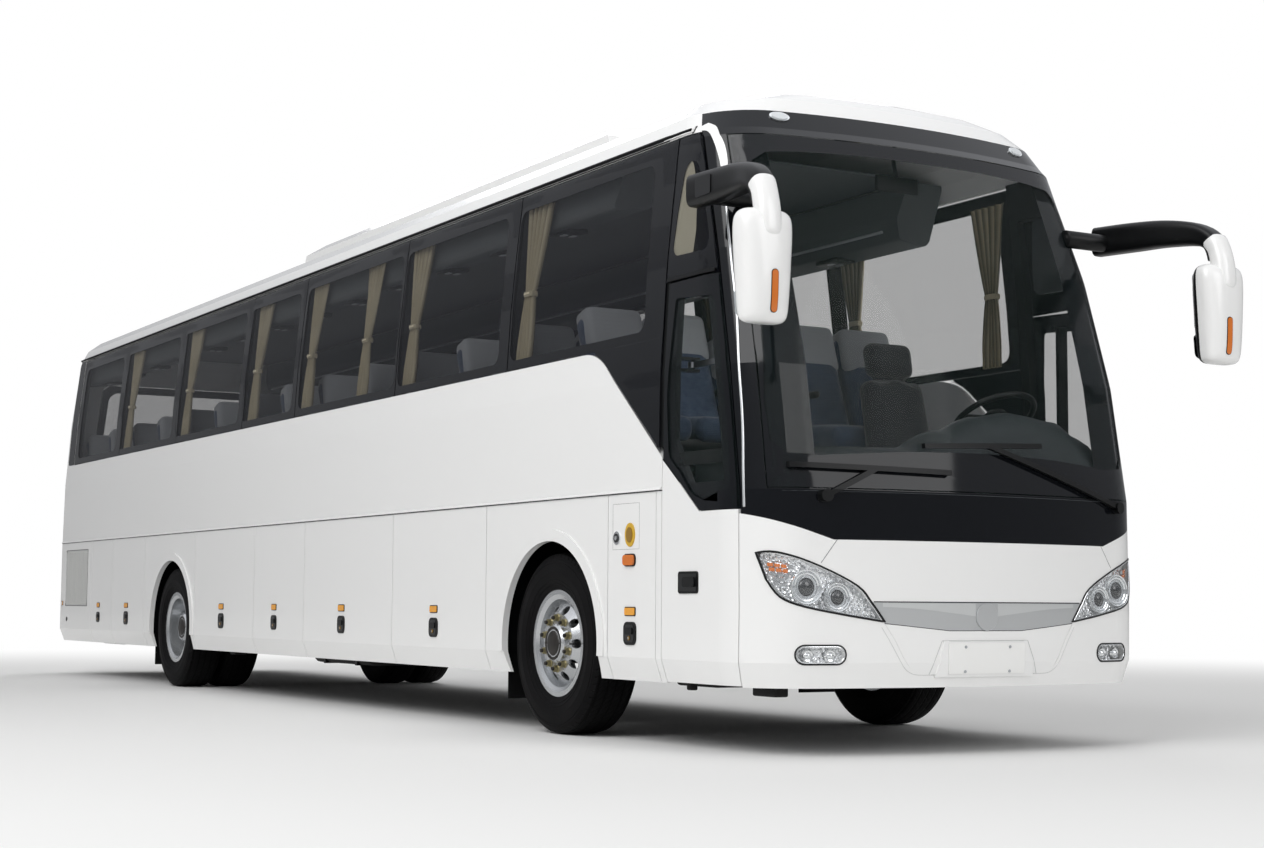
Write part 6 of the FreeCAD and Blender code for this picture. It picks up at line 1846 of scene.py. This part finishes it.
@dataclass
class Seats:
    """Padded passenger seats, two to a frame, and their headrest covers."""

    rows: int = 14
    first_x: float = -6.17
    pitch: float = 0.81
    inner_y: float = 0.25
    outer_y: float = 1.105
    floor_z: float = 1.33
    gap: float = 0.03
    voxel: float = 0.022
    lean: float = -17.5

    def seat(self) -> bpy.types.Object:
        """One padded seat at the first station's origin, its cushion and back in one.

        Returns:
            The pad.
        """
        width = (self.outer_y - self.inner_y) / 2 - self.gap
        mesh = bmesh.new()
        half = width / 2
        cushion = block((-0.06, -half, 0.30), (0.425, half, 0.445), 0.05, 3)
        back = block((-0.09, -half, 0.40), (0.055, half, 1.08), 0.05, 3)
        lean = Matrix.Translation((0.0, 0.0, 0.40)) @ \
            Matrix.Rotation(math.radians(self.lean), 4, "Y")
        bmesh.ops.translate(back, vec=(0.0, 0.0, -0.40), verts=list(back.verts))
        bmesh.ops.transform(back, matrix=lean, verts=list(back.verts))
        for part in (cushion, back):
            append(mesh, part)
        return puffed(new_object("seat_pad", mesh), self.voxel, 0.010)

    def build(self) -> None:
        """Copy the padded seat to every place."""
        pad = self.seat()
        width = (self.outer_y - self.inner_y) / 2
        kit = Kit("seat_frames")
        covers = Kit("headrest_covers")
        for name, side in SIDES:
            mesh = bmesh.new()
            for row in range(self.rows):
                x = self.first_x + self.pitch * row
                for place in (0, 1):
                    y = side * (self.inner_y + width * (place + 0.5))
                    copy = bmesh.new()
                    copy.from_mesh(pad.data)
                    bmesh.ops.translate(copy, vec=(x, y, self.floor_z), verts=list(copy.verts))
                    append(mesh, copy)
                    covers.add(HEAD_CLOTH, self.cover(x, y, width))
                kit.add(BLACK_PLASTIC, *self.base(x, side))
            seats = new_object("seats_" + name, mesh)
            seats.data.materials.append(SEAT_CLOTH.build())
            for face in seats.data.polygons:
                face.use_smooth = True
            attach(seats, BODY)
            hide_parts("passenger_seats")
        kit.finish()
        covers.finish()
        remove_object(pad)

    def cover(self, x: float, y: float, width: float) -> bmesh.types.BMesh:
        """A fitted cloth cover over the top of one seat back.

        Args:
            x: the seat's station.
            y: its middle across the coach.
            width: its share of the frame's width.

        Returns:
            The cover.
        """
        half = width / 2 - self.gap + 0.004
        cover = block((-0.098, -half, 0.0), (0.064, half, 0.30), 0.045, 3)
        lean = Matrix.Translation((x - 0.122, y, self.floor_z + 0.795)) @ \
            Matrix.Rotation(math.radians(self.lean), 4, "Y")
        bmesh.ops.transform(cover, matrix=lean, verts=list(cover.verts))
        return cover

    def base(self, x: float, side: int) -> Sequence[bmesh.types.BMesh]:
        """The frame below the cushions and the armrests of one pair.

        Args:
            x: the seats' station.
            side: -1 for the right side, 1 for the left.

        Returns:
            The parts.
        """
        low, high = sorted((side * self.inner_y, side * self.outer_y))
        z = self.floor_z
        parts = [block((x - 0.02, low + 0.05, z + 0.24), (x + 0.38, high - 0.05, z + 0.31),
                       0.01, 2)]
        aisle = side * (self.inner_y + 0.06)
        wall = side * (self.outer_y - 0.06)
        for y in (aisle, wall):
            parts.append(block((x + 0.14, y - 0.02, z), (x + 0.22, y + 0.02, z + 0.25), 0.006, 2))
            parts.append(block((x + 0.03, y - 0.025, z), (x + 0.33, y + 0.025, z + 0.02),
                               0.006, 2))
        edge = side * (self.inner_y + 0.008)
        parts.append(block((x - 0.07, edge - 0.020, z + 0.60), (x + 0.24, edge + 0.020, z + 0.645),
                           0.018, 3))
        return parts


def remove_object(thing: bpy.types.Object) -> None:
    """Take a helper object and its mesh out of the file.

    Args:
        thing: the helper.
    """
    data = thing.data
    bpy.data.objects.remove(thing)
    bpy.data.meshes.remove(data)


def settle(thing: bpy.types.Object) -> None:
    """Put an object's evaluated mesh in place of its own and drop its modifiers.

    Args:
        thing: the object.
    """
    data = evaluated(thing)
    thing.modifiers.clear()
    old, thing.data = thing.data, data
    bpy.data.meshes.remove(old)


def puffed(pad: bpy.types.Object, voxel: float, cap: float) -> bpy.types.Object:
    """Blow a pad up as sewn foam: remesh, cloth under pressure, capped, smoothed.

    Args:
        pad: the pad's plain form; its mesh is replaced.
        voxel: size of the remesh.
        cap: how far a point may move.

    Returns:
        The same object with a soft, crowned mesh.
    """
    remesh = pad.modifiers.new("remesh", "REMESH")
    remesh.mode = "VOXEL"
    remesh.voxel_size = voxel
    settle(pad)
    rest = [vert.co.copy() for vert in pad.data.vertices]
    cloth = pad.modifiers.new("cloth", "CLOTH")
    cloth.settings.use_pressure = True
    cloth.settings.uniform_pressure_force = 4.0
    cloth.settings.effector_weights.gravity = 0.0
    cloth.settings.tension_stiffness = 25.0
    scene = bpy.context.scene
    for number in range(1, 21):
        scene.frame_set(number)
    settle(pad)
    scene.frame_set(1)
    for vert, start in zip(pad.data.vertices, rest):
        move = vert.co - start
        if move.length > cap:
            vert.co = start + move * (cap / move.length)
    mesh = bmesh.new()
    mesh.from_mesh(pad.data)
    bmesh.ops.smooth_vert(mesh, verts=list(mesh.verts), factor=0.5, use_axis_x=True,
                          use_axis_y=True, use_axis_z=True)
    mesh.to_mesh(pad.data)
    mesh.free()
    return pad


@dataclass
class DriverPlace:
    """The driver's padded seat, the wheel's boss and spokes, and the instruments."""

    seat_x: float = 5.16
    low_y: float = 0.36
    high_y: float = 0.86
    platform_z: float = 1.0
    wheel: Point = (5.76, 0.60, 1.74)
    wheel_radius: float = 0.225
    tilt: Point = (-0.5, 0.0, 0.866)

    def build(self) -> None:
        """Make the seat, then the things on the dashboard."""
        middle = (self.low_y + self.high_y) / 2
        half = (self.high_y - self.low_y) / 2 - 0.01
        cushion = block((-0.24, middle - half, 0.30), (0.245, middle + half, 0.43), 0.05, 3)
        back = block((-0.08, -half, 0.0), (0.05, half, 0.665), 0.055, 3)
        head = block((-0.065, -0.160, 0.690), (0.045, 0.160, 0.900), 0.050, 3)
        lean = Matrix.Translation((-0.19, middle, 0.38)) @ \
            Matrix.Rotation(math.radians(-11.0), 4, "Y")
        for part in (back, head):
            bmesh.ops.transform(part, matrix=lean, verts=list(part.verts))
        for vert in back.verts:
            vert.co.y = middle + (vert.co.y - middle) * (1.0 - 0.10 * max(0.0, vert.co.z - 0.55)
                                                         / 0.42)
        mesh = bmesh.new()
        for part in (cushion, back, head):
            bmesh.ops.translate(part, vec=(self.seat_x, 0.0, self.platform_z),
                                verts=list(part.verts))
            append(mesh, part)
        seat = puffed(new_object("driver_seat_pad", mesh), 0.016, 0.012)
        seat.data.materials.append(DRIVER_CLOTH.build())
        for face in seat.data.polygons:
            face.use_smooth = True
        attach(seat, BODY)
        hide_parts("driver_seat")
        kit = Kit("driver_place")
        x, z = self.seat_x, self.platform_z
        kit.add(BLACK_PLASTIC,
                block((x - 0.20, middle - 0.18, z), (x + 0.20, middle + 0.18, z + 0.06), 0.01, 2),
                block((x - 0.12, middle - 0.12, z + 0.06), (x + 0.12, middle + 0.12, z + 0.31),
                      0.02, 2))
        for y in (middle - 0.05, middle + 0.05):
            kit.add(SATIN_STEEL, rod([(x - 0.325, y, z + 1.00), (x - 0.340, y, z + 1.10)], 0.006,
                                     8))
        self.wheel_details(kit)
        self.instruments(kit)
        kit.finish()

    def wheel_details(self, kit: Kit) -> None:
        """Boss and lower spokes of the steering wheel.
        """
        boss = turned([(0.0, 0.030), (0.045, 0.028), (0.070, 0.014), (0.074, 0.0),
                       (0.060, -0.020), (0.0, -0.020)], 28)
        kit.add(BLACK_PLASTIC, aim(boss, self.wheel, self.tilt))
        normal = Vector(self.tilt).normalized()
        down = Vector((0.0, 1.0, 0.0)).cross(normal).normalized()
        centre = Vector(self.wheel)
        for turn in (-0.55, 0.55):
            way = down * math.cos(turn) + Vector((0.0, 1.0, 0.0)) * math.sin(turn)
            kit.add(BLACK_PLASTIC, rod([centre, centre + way * self.wheel_radius * -1.0], 0.012,
                                       8))

    def instruments(self, kit: Kit) -> None:
        """Dials, switches and the passenger-side grab rail.
        """
        for y in (0.52, 0.68):
            dial = turned([(0.0, 0.0), (0.050, 0.0), (0.054, 0.006), (0.058, 0.006),
                           (0.060, 0.0)], 28)
            kit.add(BLACK_GLOSS, aim(dial, (5.880, y, 1.500), (-1.0, 0.0, 0.25)))
            ring = turned([(0.054, 0.0), (0.056, 0.004), (0.060, 0.004), (0.062, 0.0)], 28, True)
            kit.add(SATIN_STEEL, aim(ring, (5.877, y, 1.500), (-1.0, 0.0, 0.25)))
        for index in range(6):
            low = 0.38 + index * 0.026
            kit.add(BLACK_GLOSS, block((5.750, low, 1.200), (5.763, low + 0.018, 1.217), 0.003,
                                       2))
        kit.add(SATIN_STEEL, rod([(5.79, -0.36, 1.30), (5.76, -0.36, 1.42), (5.76, -0.33, 1.46),
                                  (5.76, 0.10, 1.46), (5.76, 0.13, 1.42), (5.79, 0.13, 1.30)],
                                 0.014, 12))


@dataclass
class DashTop:
    """The soft dash top across the windscreen, with the hood over the driver's dials."""

    heights: Sequence[Flat] = ((-1.16, 1.430), (-1.00, 1.490), (-0.60, 1.515), (-0.30, 1.520),
                               (-0.05, 1.620), (0.20, 1.705), (0.45, 1.740), (0.75, 1.715),
                               (0.95, 1.640), (1.08, 1.560), (1.16, 1.430))
    base: float = 1.448
    drop: float = 0.26
    section: Sequence[Tuple[float, float]] = ((0.000, -0.30), (0.020, 0.00), (0.070, 0.42),
                                              (0.130, 0.74), (0.200, 0.95), (0.270, 1.00),
                                              (0.330, 0.96), (0.370, 0.84), (0.385, 0.60),
                                              (0.380, 0.00), (0.380, -0.90))

    def height(self, y: float) -> float:
        """How high the top stands at a place across the coach.

        Args:
            y: the place.

        Returns:
            The height.
        """
        for (y0, z0), (y1, z1) in zip(self.heights, self.heights[1:]):
            if y <= y1:
                share = (y - y0) / (y1 - y0)
                share = share * share * (3 - 2 * share)
                return z0 + (z1 - z0) * share
        return self.heights[-1][1]

    def build(self) -> None:
        """Sweep the section from side to side behind the windscreen."""
        screen = Skin("windscreen", "front_black_panels")
        kit = Kit("dash_top", smooth=60.0)
        first, last = self.heights[0][0], self.heights[-1][0]
        columns, rows = 64, len(self.section)
        mesh = bmesh.new()
        bmesh.ops.create_grid(mesh, x_segments=columns, y_segments=rows - 1, size=0.5)
        for vert in mesh.verts:
            y = first + (last - first) * (vert.co.x + 0.5)
            offset, share = self.section[min(rows - 1, int(round((vert.co.y + 0.5) * (rows - 1))))]
            place = screen.touch(View.FRONT, y, self.base)
            front = (place.x if place is not None else 5.95) - 0.040
            rise = self.height(y) - self.base
            z = self.base + (rise * share if share >= 0 else self.drop * share)
            vert.co = Vector((front - offset, y, z))
        kit.add(DASH, mesh)
        kit.finish()


def cloth_with_painted_fold_shade() -> bpy.types.Material:
    """Curtain cloth with painted shade deep in its pleats, set by the mesh's own fold height.

    Returns:
        The material.
    """
    found = bpy.data.materials.get("pleated_curtain_cloth")
    if found:
        return found
    material = CURTAIN.build().copy()
    material.name = "pleated_curtain_cloth"
    tree = material.node_tree
    height = add_node(tree, "ShaderNodeAttribute", {"attribute_name": "fold"})
    # painted shade: the colour is multiplied down to 0.3 deep in each pleat
    depth = add_node(tree, "ShaderNodeMapRange", {"interpolation_type": "SMOOTHSTEP"},
                     {"From Min": 0.15, "From Max": 0.75, "To Min": 0.30, "To Max": 1.0},
                     {"Value": height.outputs["Fac"]})
    colour = [node for node in tree.nodes if node.type == "VALTORGB"][0]
    with_painted_shade = add_node(tree, "ShaderNodeMix", {"data_type": "RGBA", "blend_type": "MULTIPLY"},
                      {0: 1.0}, {6: colour.outputs["Color"], 7: depth.outputs["Result"]})
    tree.links.new(with_painted_shade.outputs[2], tree.nodes["Principled BSDF"].inputs["Base Color"])
    return material


@dataclass
class Curtains:
    """Tied curtains hung by the pillars, gathered in soft folds."""

    places: Sequence[float] = (3.55, 1.88, 1.07, 0.01, -1.17, -2.89, -4.64)
    low_ahead: float = 0.140
    top_ahead: float = 0.205
    top: float = 3.065
    low: float = 2.125
    half: float = 0.148
    depth: float = 0.019
    folds: int = 5
    tie: float = 0.44
    inset: float = 0.037
    waist: float = 0.32
    flare: float = 0.28
    columns: int = 84
    rows: int = 36
    band: float = 0.006

    def build(self) -> None:
        """Hang every curtain and its tie."""
        self.glass = Skin("body_glass")
        bands = Kit("curtain_ties")
        self.hang("curtain_left_driver", 4.900, 1, bands)
        for name, side in SIDES:
            for number, x in enumerate(self.places):
                self.hang("curtain_%s_%d" % (name, number), x, side, bands)
        bands.finish()

    def place(self, x: float, z: float, side: int, lift: float) -> Vector:
        """Where the cloth is at a station and height, with its fold's height.

        Args:
            x: station along the coach.
            z: height.
            side: -1 for the right side, 1 for the left.
            lift: distance outward from the cloth's middle.

        Returns:
            The point.
        """
        glass = self.glass.touch(SIDE_VIEW[side], x, z)
        edge = abs(glass.y) if glass is not None else 1.2
        return Vector((x, side * (edge - self.inset + lift), z))

    def spread(self, up: float) -> Tuple[float, float]:
        """Half width and middle of the curtain at a share of its height.

        Args:
            up: the share, 0 at its hem and 1 at its head.

        Returns:
            The half width, and how far its middle lies ahead.
        """
        if up > self.tie:
            share = (up - self.tie) / (1.0 - self.tie)
            open_by = self.waist + (1.0 - self.waist) * share ** 0.85
        else:
            share = (self.tie - up) / self.tie
            open_by = self.waist + self.flare * min(1.0, share * 1.5) ** 0.7
        return self.half * open_by, self.low_ahead + (self.top_ahead - self.low_ahead) * up

    def hang(self, name: str, x: float, side: int, bands: Kit) -> None:
        """One curtain: a pleated strip drawn in at its tie.

        Args:
            name: the piece's name.
            x: the pillar's station.
            side: -1 for the right side, 1 for the left.
        """
        mesh = bmesh.new()
        bmesh.ops.create_grid(mesh, x_segments=self.columns, y_segments=self.rows, size=0.5)
        height = self.top - self.low
        phase = number_of(name)
        shade = mesh.verts.layers.float.new("fold")
        for vert in mesh.verts:
            across, up = vert.co.x, vert.co.y + 0.5
            half, ahead = self.spread(up)
            turn = across * 2 * math.pi * self.folds + phase + 0.5 * math.sin(4.0 * up + phase)
            wave = math.sin(turn) * (0.85 + 0.15 * math.sin(2.3 * turn + phase))
            narrow = 1.0 - half / self.half
            lift = self.depth * (1.0 - 0.25 * narrow) * wave
            drift = 0.004 * math.sin(3.0 * up + 5.0 * across + phase)
            # the fold height, which drives the cloth's painted shade
            vert[shade] = 0.5 + 0.5 * wave
            vert.co = self.place(x + ahead + 2 * half * across + drift, self.low + height * up,
                                 side, lift)
        for face in mesh.faces:
            face.smooth = True
        piece = new_object(name, mesh)
        piece.data.materials.append(cloth_with_painted_fold_shade())
        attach(piece, BODY)
        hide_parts("curtains")
        self.width()
        half, ahead = self.spread(self.tie)
        z = self.low + height * self.tie
        thick = self.depth * 1.1 + 0.003
        line = [self.place(x + ahead + half * across, z, side, thick * out)
                for across, out in ((-1.0, -0.6), (-1.0, 0.6), (-0.7, 1.0), (0.7, 1.0),
                                    (1.0, 0.6), (1.0, -0.6), (0.7, -1.0), (-0.7, -1.0))]
        band = rod(line + line[:1], self.band, 8)
        centre = sum(line, Vector()) / len(line)
        bmesh.ops.scale(band, vec=(1.0, 1.0, 3.0), space=Matrix.Translation(-centre),
                        verts=list(band.verts))
        bands.add(CURTAIN, band)

    def width(self) -> float:
        """Flat width of the cloth: the length of its pleated line away from the tie.

        Returns:
            The width in metres.
        """
        steps = 600
        total, last = 0.0, None
        for step in range(steps + 1):
            across = step / steps - 0.5
            here = (2 * self.half * across,
                    self.depth * math.sin(across * 2 * math.pi * self.folds))
            if last is not None:
                total += math.hypot(here[0] - last[0], here[1] - last[1])
            last = here
        return total


def number_of(name: str) -> float:
    """A steady number from a name, for small differences between like pieces."""
    return sum(ord(letter) for letter in name) % 7 * 0.6


@dataclass
class Racks:
    """Luggage racks with rounded undersides, a light line and reading-lamp units."""

    rear: float = -6.380
    front: float = 4.560
    profile: Sequence[Flat] = ((0.812, 3.246), (0.812, 3.040), (0.880, 2.930), (1.080, 2.905),
                               (1.104, 2.930), (1.074, 3.246))
    rows: int = 14
    first_x: float = -5.93
    pitch: float = 0.81
    light: Flat = (0.838, 2.990)
    ceiling: Tuple[Point, Point] = ((-6.380, -0.82, 3.250), (4.750, 0.82, 3.262))

    def build(self) -> None:
        """Sweep both racks and fit their lamps."""
        kit = Kit("racks")
        kit.add(RACK, block(*self.ceiling))
        light_y, light_z = self.light
        for _, side in SIDES:
            rack = board(self.profile, 0.022, self.front - self.rear, 3)
            bmesh.ops.transform(rack, matrix=Matrix(((0, 0, 1, self.rear), (side, 0, 0, 0),
                                                     (0, 1, 0, 0), (0, 0, 0, 1))),
                                verts=list(rack.verts))
            for vert in rack.verts:
                if vert.co.x > self.front - 0.01:
                    vert.co.x += 0.55 * (vert.co.z - 2.90)
            kit.add(RACK, rack)
            kit.add(FROSTED, rod([(self.rear + 0.1, side * light_y, light_z),
                                  (self.front - 0.1, side * light_y, light_z)], 0.010, 8))
            for row in range(self.rows - 1):
                x = self.first_x + self.pitch * row
                low, high = sorted((side * 0.90, side * 1.04))
                kit.add(BLACK_PLASTIC, block((x - 0.12, low, 2.896), (x + 0.12, high, 2.926),
                                             0.008, 2))
                for y in (0.94, 1.00):
                    kit.add(FROSTED, block((x - 0.03, side * y - 0.016, 2.892),
                                           (x + 0.03, side * y + 0.016, 2.900), 0.003, 1))
        kit.add(BLACK_PLASTIC, rod([(5.62, 0.02, 3.20), (5.66, 0.02, 3.02)], 0.012, 10),
                block((5.655, -0.12, 2.930), (5.680, 0.16, 3.020), 0.010, 3))
        kit.finish("luggage_racks")


# ------------------------------------------------------------------ studio

@dataclass
class Studio:
    """Pale floor, soft light and the camera."""

    camera_at: Point = (14.193, -6.533, 0.727)
    yaw: float = 29.998
    pitch: float = 5.102
    roll: float = 0.333
    lens: float = 57.40
    floor_radius: float = 90.0
    lamps: Sequence[Tuple[str, Point, Point, float, float]] = (
        ("key_softbox", (9.0, -12.0, 12.0), (1.0, 0.0, 1.5), 12.0, 1400.0),
        ("front_softbox", (20.0, 5.0, 8.0), (3.0, 0.0, 1.5), 9.0, 480.0),
        ("rear_softbox", (-14.0, 9.0, 9.0), (-3.0, 0.0, 1.5), 10.0, 650.0))

    def build(self) -> None:
        """Make the floor, the world, the lights and the camera."""
        self.floor()
        self.world()
        self.lights()
        self.camera()

    def floor(self) -> None:
        """A pale floor that turns to the backdrop's white far from the coach."""
        mesh = bmesh.new()
        bmesh.ops.create_circle(mesh, cap_ends=True, segments=96,
                                radius=self.floor_radius)
        floor = new_object("studio_floor", mesh)
        material = bpy.data.materials.new("matt_pale_floor")
        material.use_nodes = True
        tree = material.node_tree
        shader = tree.nodes["Principled BSDF"]
        shader.inputs["Base Color"].default_value = linear(STUDIO_FLOOR)
        shader.inputs["Roughness"].default_value = 0.9
        shader.inputs["Specular IOR Level"].default_value = 0.1
        place = add_node(tree, "ShaderNodeTexCoord").outputs["Object"]
        length = add_node(tree, "ShaderNodeVectorMath", {"operation": "LENGTH"}, {}, {0: place})
        fade = add_node(tree, "ShaderNodeMapRange", {"interpolation_type": "SMOOTHSTEP"},
                        {"From Min": 7.0, "From Max": 17.0}, {"Value": length.outputs["Value"]})
        white = add_node(tree, "ShaderNodeEmission", {}, {"Strength": 1.0})
        paths = add_node(tree, "ShaderNodeLightPath")
        seen = add_node(tree, "ShaderNodeMath", {"operation": "MULTIPLY"}, {},
                        {0: fade.outputs["Result"], 1: paths.outputs["Is Camera Ray"]})
        mix = add_node(tree, "ShaderNodeMixShader", {}, {},
                       {0: seen.outputs[0], 1: shader.outputs["BSDF"],
                        2: white.outputs["Emission"]})
        tree.links.new(mix.outputs["Shader"], tree.nodes["Material Output"].inputs["Surface"])
        floor.data.materials.append(material)

    def world(self) -> None:
        """White to the camera and through glass; a grey room in gloss; soft as a lamp."""
        world = bpy.data.worlds.new("studio_world")
        bpy.context.scene.world = world
        world.use_nodes = True
        tree = world.node_tree
        sky = tree.nodes["Background"]
        sky.inputs["Color"].default_value = linear("F6F6F7")
        sky.inputs["Strength"].default_value = 0.52
        way = add_node(tree, "ShaderNodeSeparateXYZ", {}, {},
                       {0: add_node(tree, "ShaderNodeTexCoord").outputs["Generated"]})
        height = add_node(tree, "ShaderNodeMapRange", {"interpolation_type": "SMOOTHSTEP"},
                          {"From Min": 0.0, "From Max": 0.9, "To Min": 0.26, "To Max": 1.25},
                          {"Value": way.outputs["Z"]})
        room = add_node(tree, "ShaderNodeBackground", {}, {"Color": linear("F1F3F8")},
                        {"Strength": height.outputs["Result"]})
        white = add_node(tree, "ShaderNodeBackground", {}, {"Color": (1.0, 1.0, 1.0, 1.0)})
        paths = add_node(tree, "ShaderNodeLightPath")
        seen = add_node(tree, "ShaderNodeMath", {"operation": "MAXIMUM"}, {},
                        {0: paths.outputs["Is Camera Ray"],
                         1: paths.outputs["Is Transmission Ray"]})
        gloss = add_node(tree, "ShaderNodeMixShader", {}, {},
                         {0: paths.outputs["Is Glossy Ray"], 1: sky.outputs["Background"],
                          2: room.outputs["Background"]})
        mix = add_node(tree, "ShaderNodeMixShader", {}, {},
                       {0: seen.outputs[0], 1: gloss.outputs["Shader"],
                        2: white.outputs["Background"]})
        tree.links.new(mix.outputs["Shader"], tree.nodes["World Output"].inputs["Surface"])

    def lights(self) -> None:
        """A large soft lamp over the camera's side and weaker ones ahead and behind."""
        for name, at, look, size, power in self.lamps:
            lamp = bpy.data.lights.new(name, "AREA")
            lamp.shape = "DISK"
            lamp.size = size
            lamp.energy = power
            holder = bpy.data.objects.new(name, lamp)
            holder.location = at
            aim = Vector(look) - Vector(at)
            holder.rotation_mode = "QUATERNION"
            holder.rotation_quaternion = aim.to_track_quat("-Z", "Y")
            bpy.context.scene.collection.objects.link(holder)

    def camera(self) -> None:
        """A long-lens camera low at the coach's right front corner."""
        yaw, pitch, roll = (math.radians(value) for value in (self.yaw, self.pitch, self.roll))
        ahead = Vector((-math.cos(yaw) * math.cos(pitch), math.sin(yaw) * math.cos(pitch),
                        math.sin(pitch)))
        right = ahead.cross(Vector((0.0, 0.0, 1.0))).normalized()
        above = right.cross(ahead)
        tilted = right * math.cos(roll) + above * math.sin(roll)
        upright = above * math.cos(roll) - right * math.sin(roll)
        turn = Matrix((tilted, upright, -ahead)).transposed()
        data = bpy.data.cameras.new("camera")
        data.lens = self.lens
        data.sensor_width = 36.0
        camera = bpy.data.objects.new("camera", data)
        camera.matrix_world = Matrix.Translation(self.camera_at) @ turn.to_4x4()
        bpy.context.scene.collection.objects.link(camera)
        bpy.context.scene.camera = camera
        bpy.context.scene.view_settings.view_transform = "Standard"


PARTS = (Glazing, FrontFace, SideTrim, Rear, Underbody, Wheels, Mirrors, Racks, Seats,
         DriverPlace, DashTop, Curtains)


def main() -> None:
    """Build every part of the scene in order."""
    logging.basicConfig(level=logging.INFO, format="%(name)s: %(message)s")
    dress_nodes()
    dress_two_tone()
    log.info("nodes dressed")
    for part in PARTS:
        part().build()
        log.info("%s built", part.__name__)
    Studio().build()
    log.info("studio built")


if __name__ == "__main__":
    main()
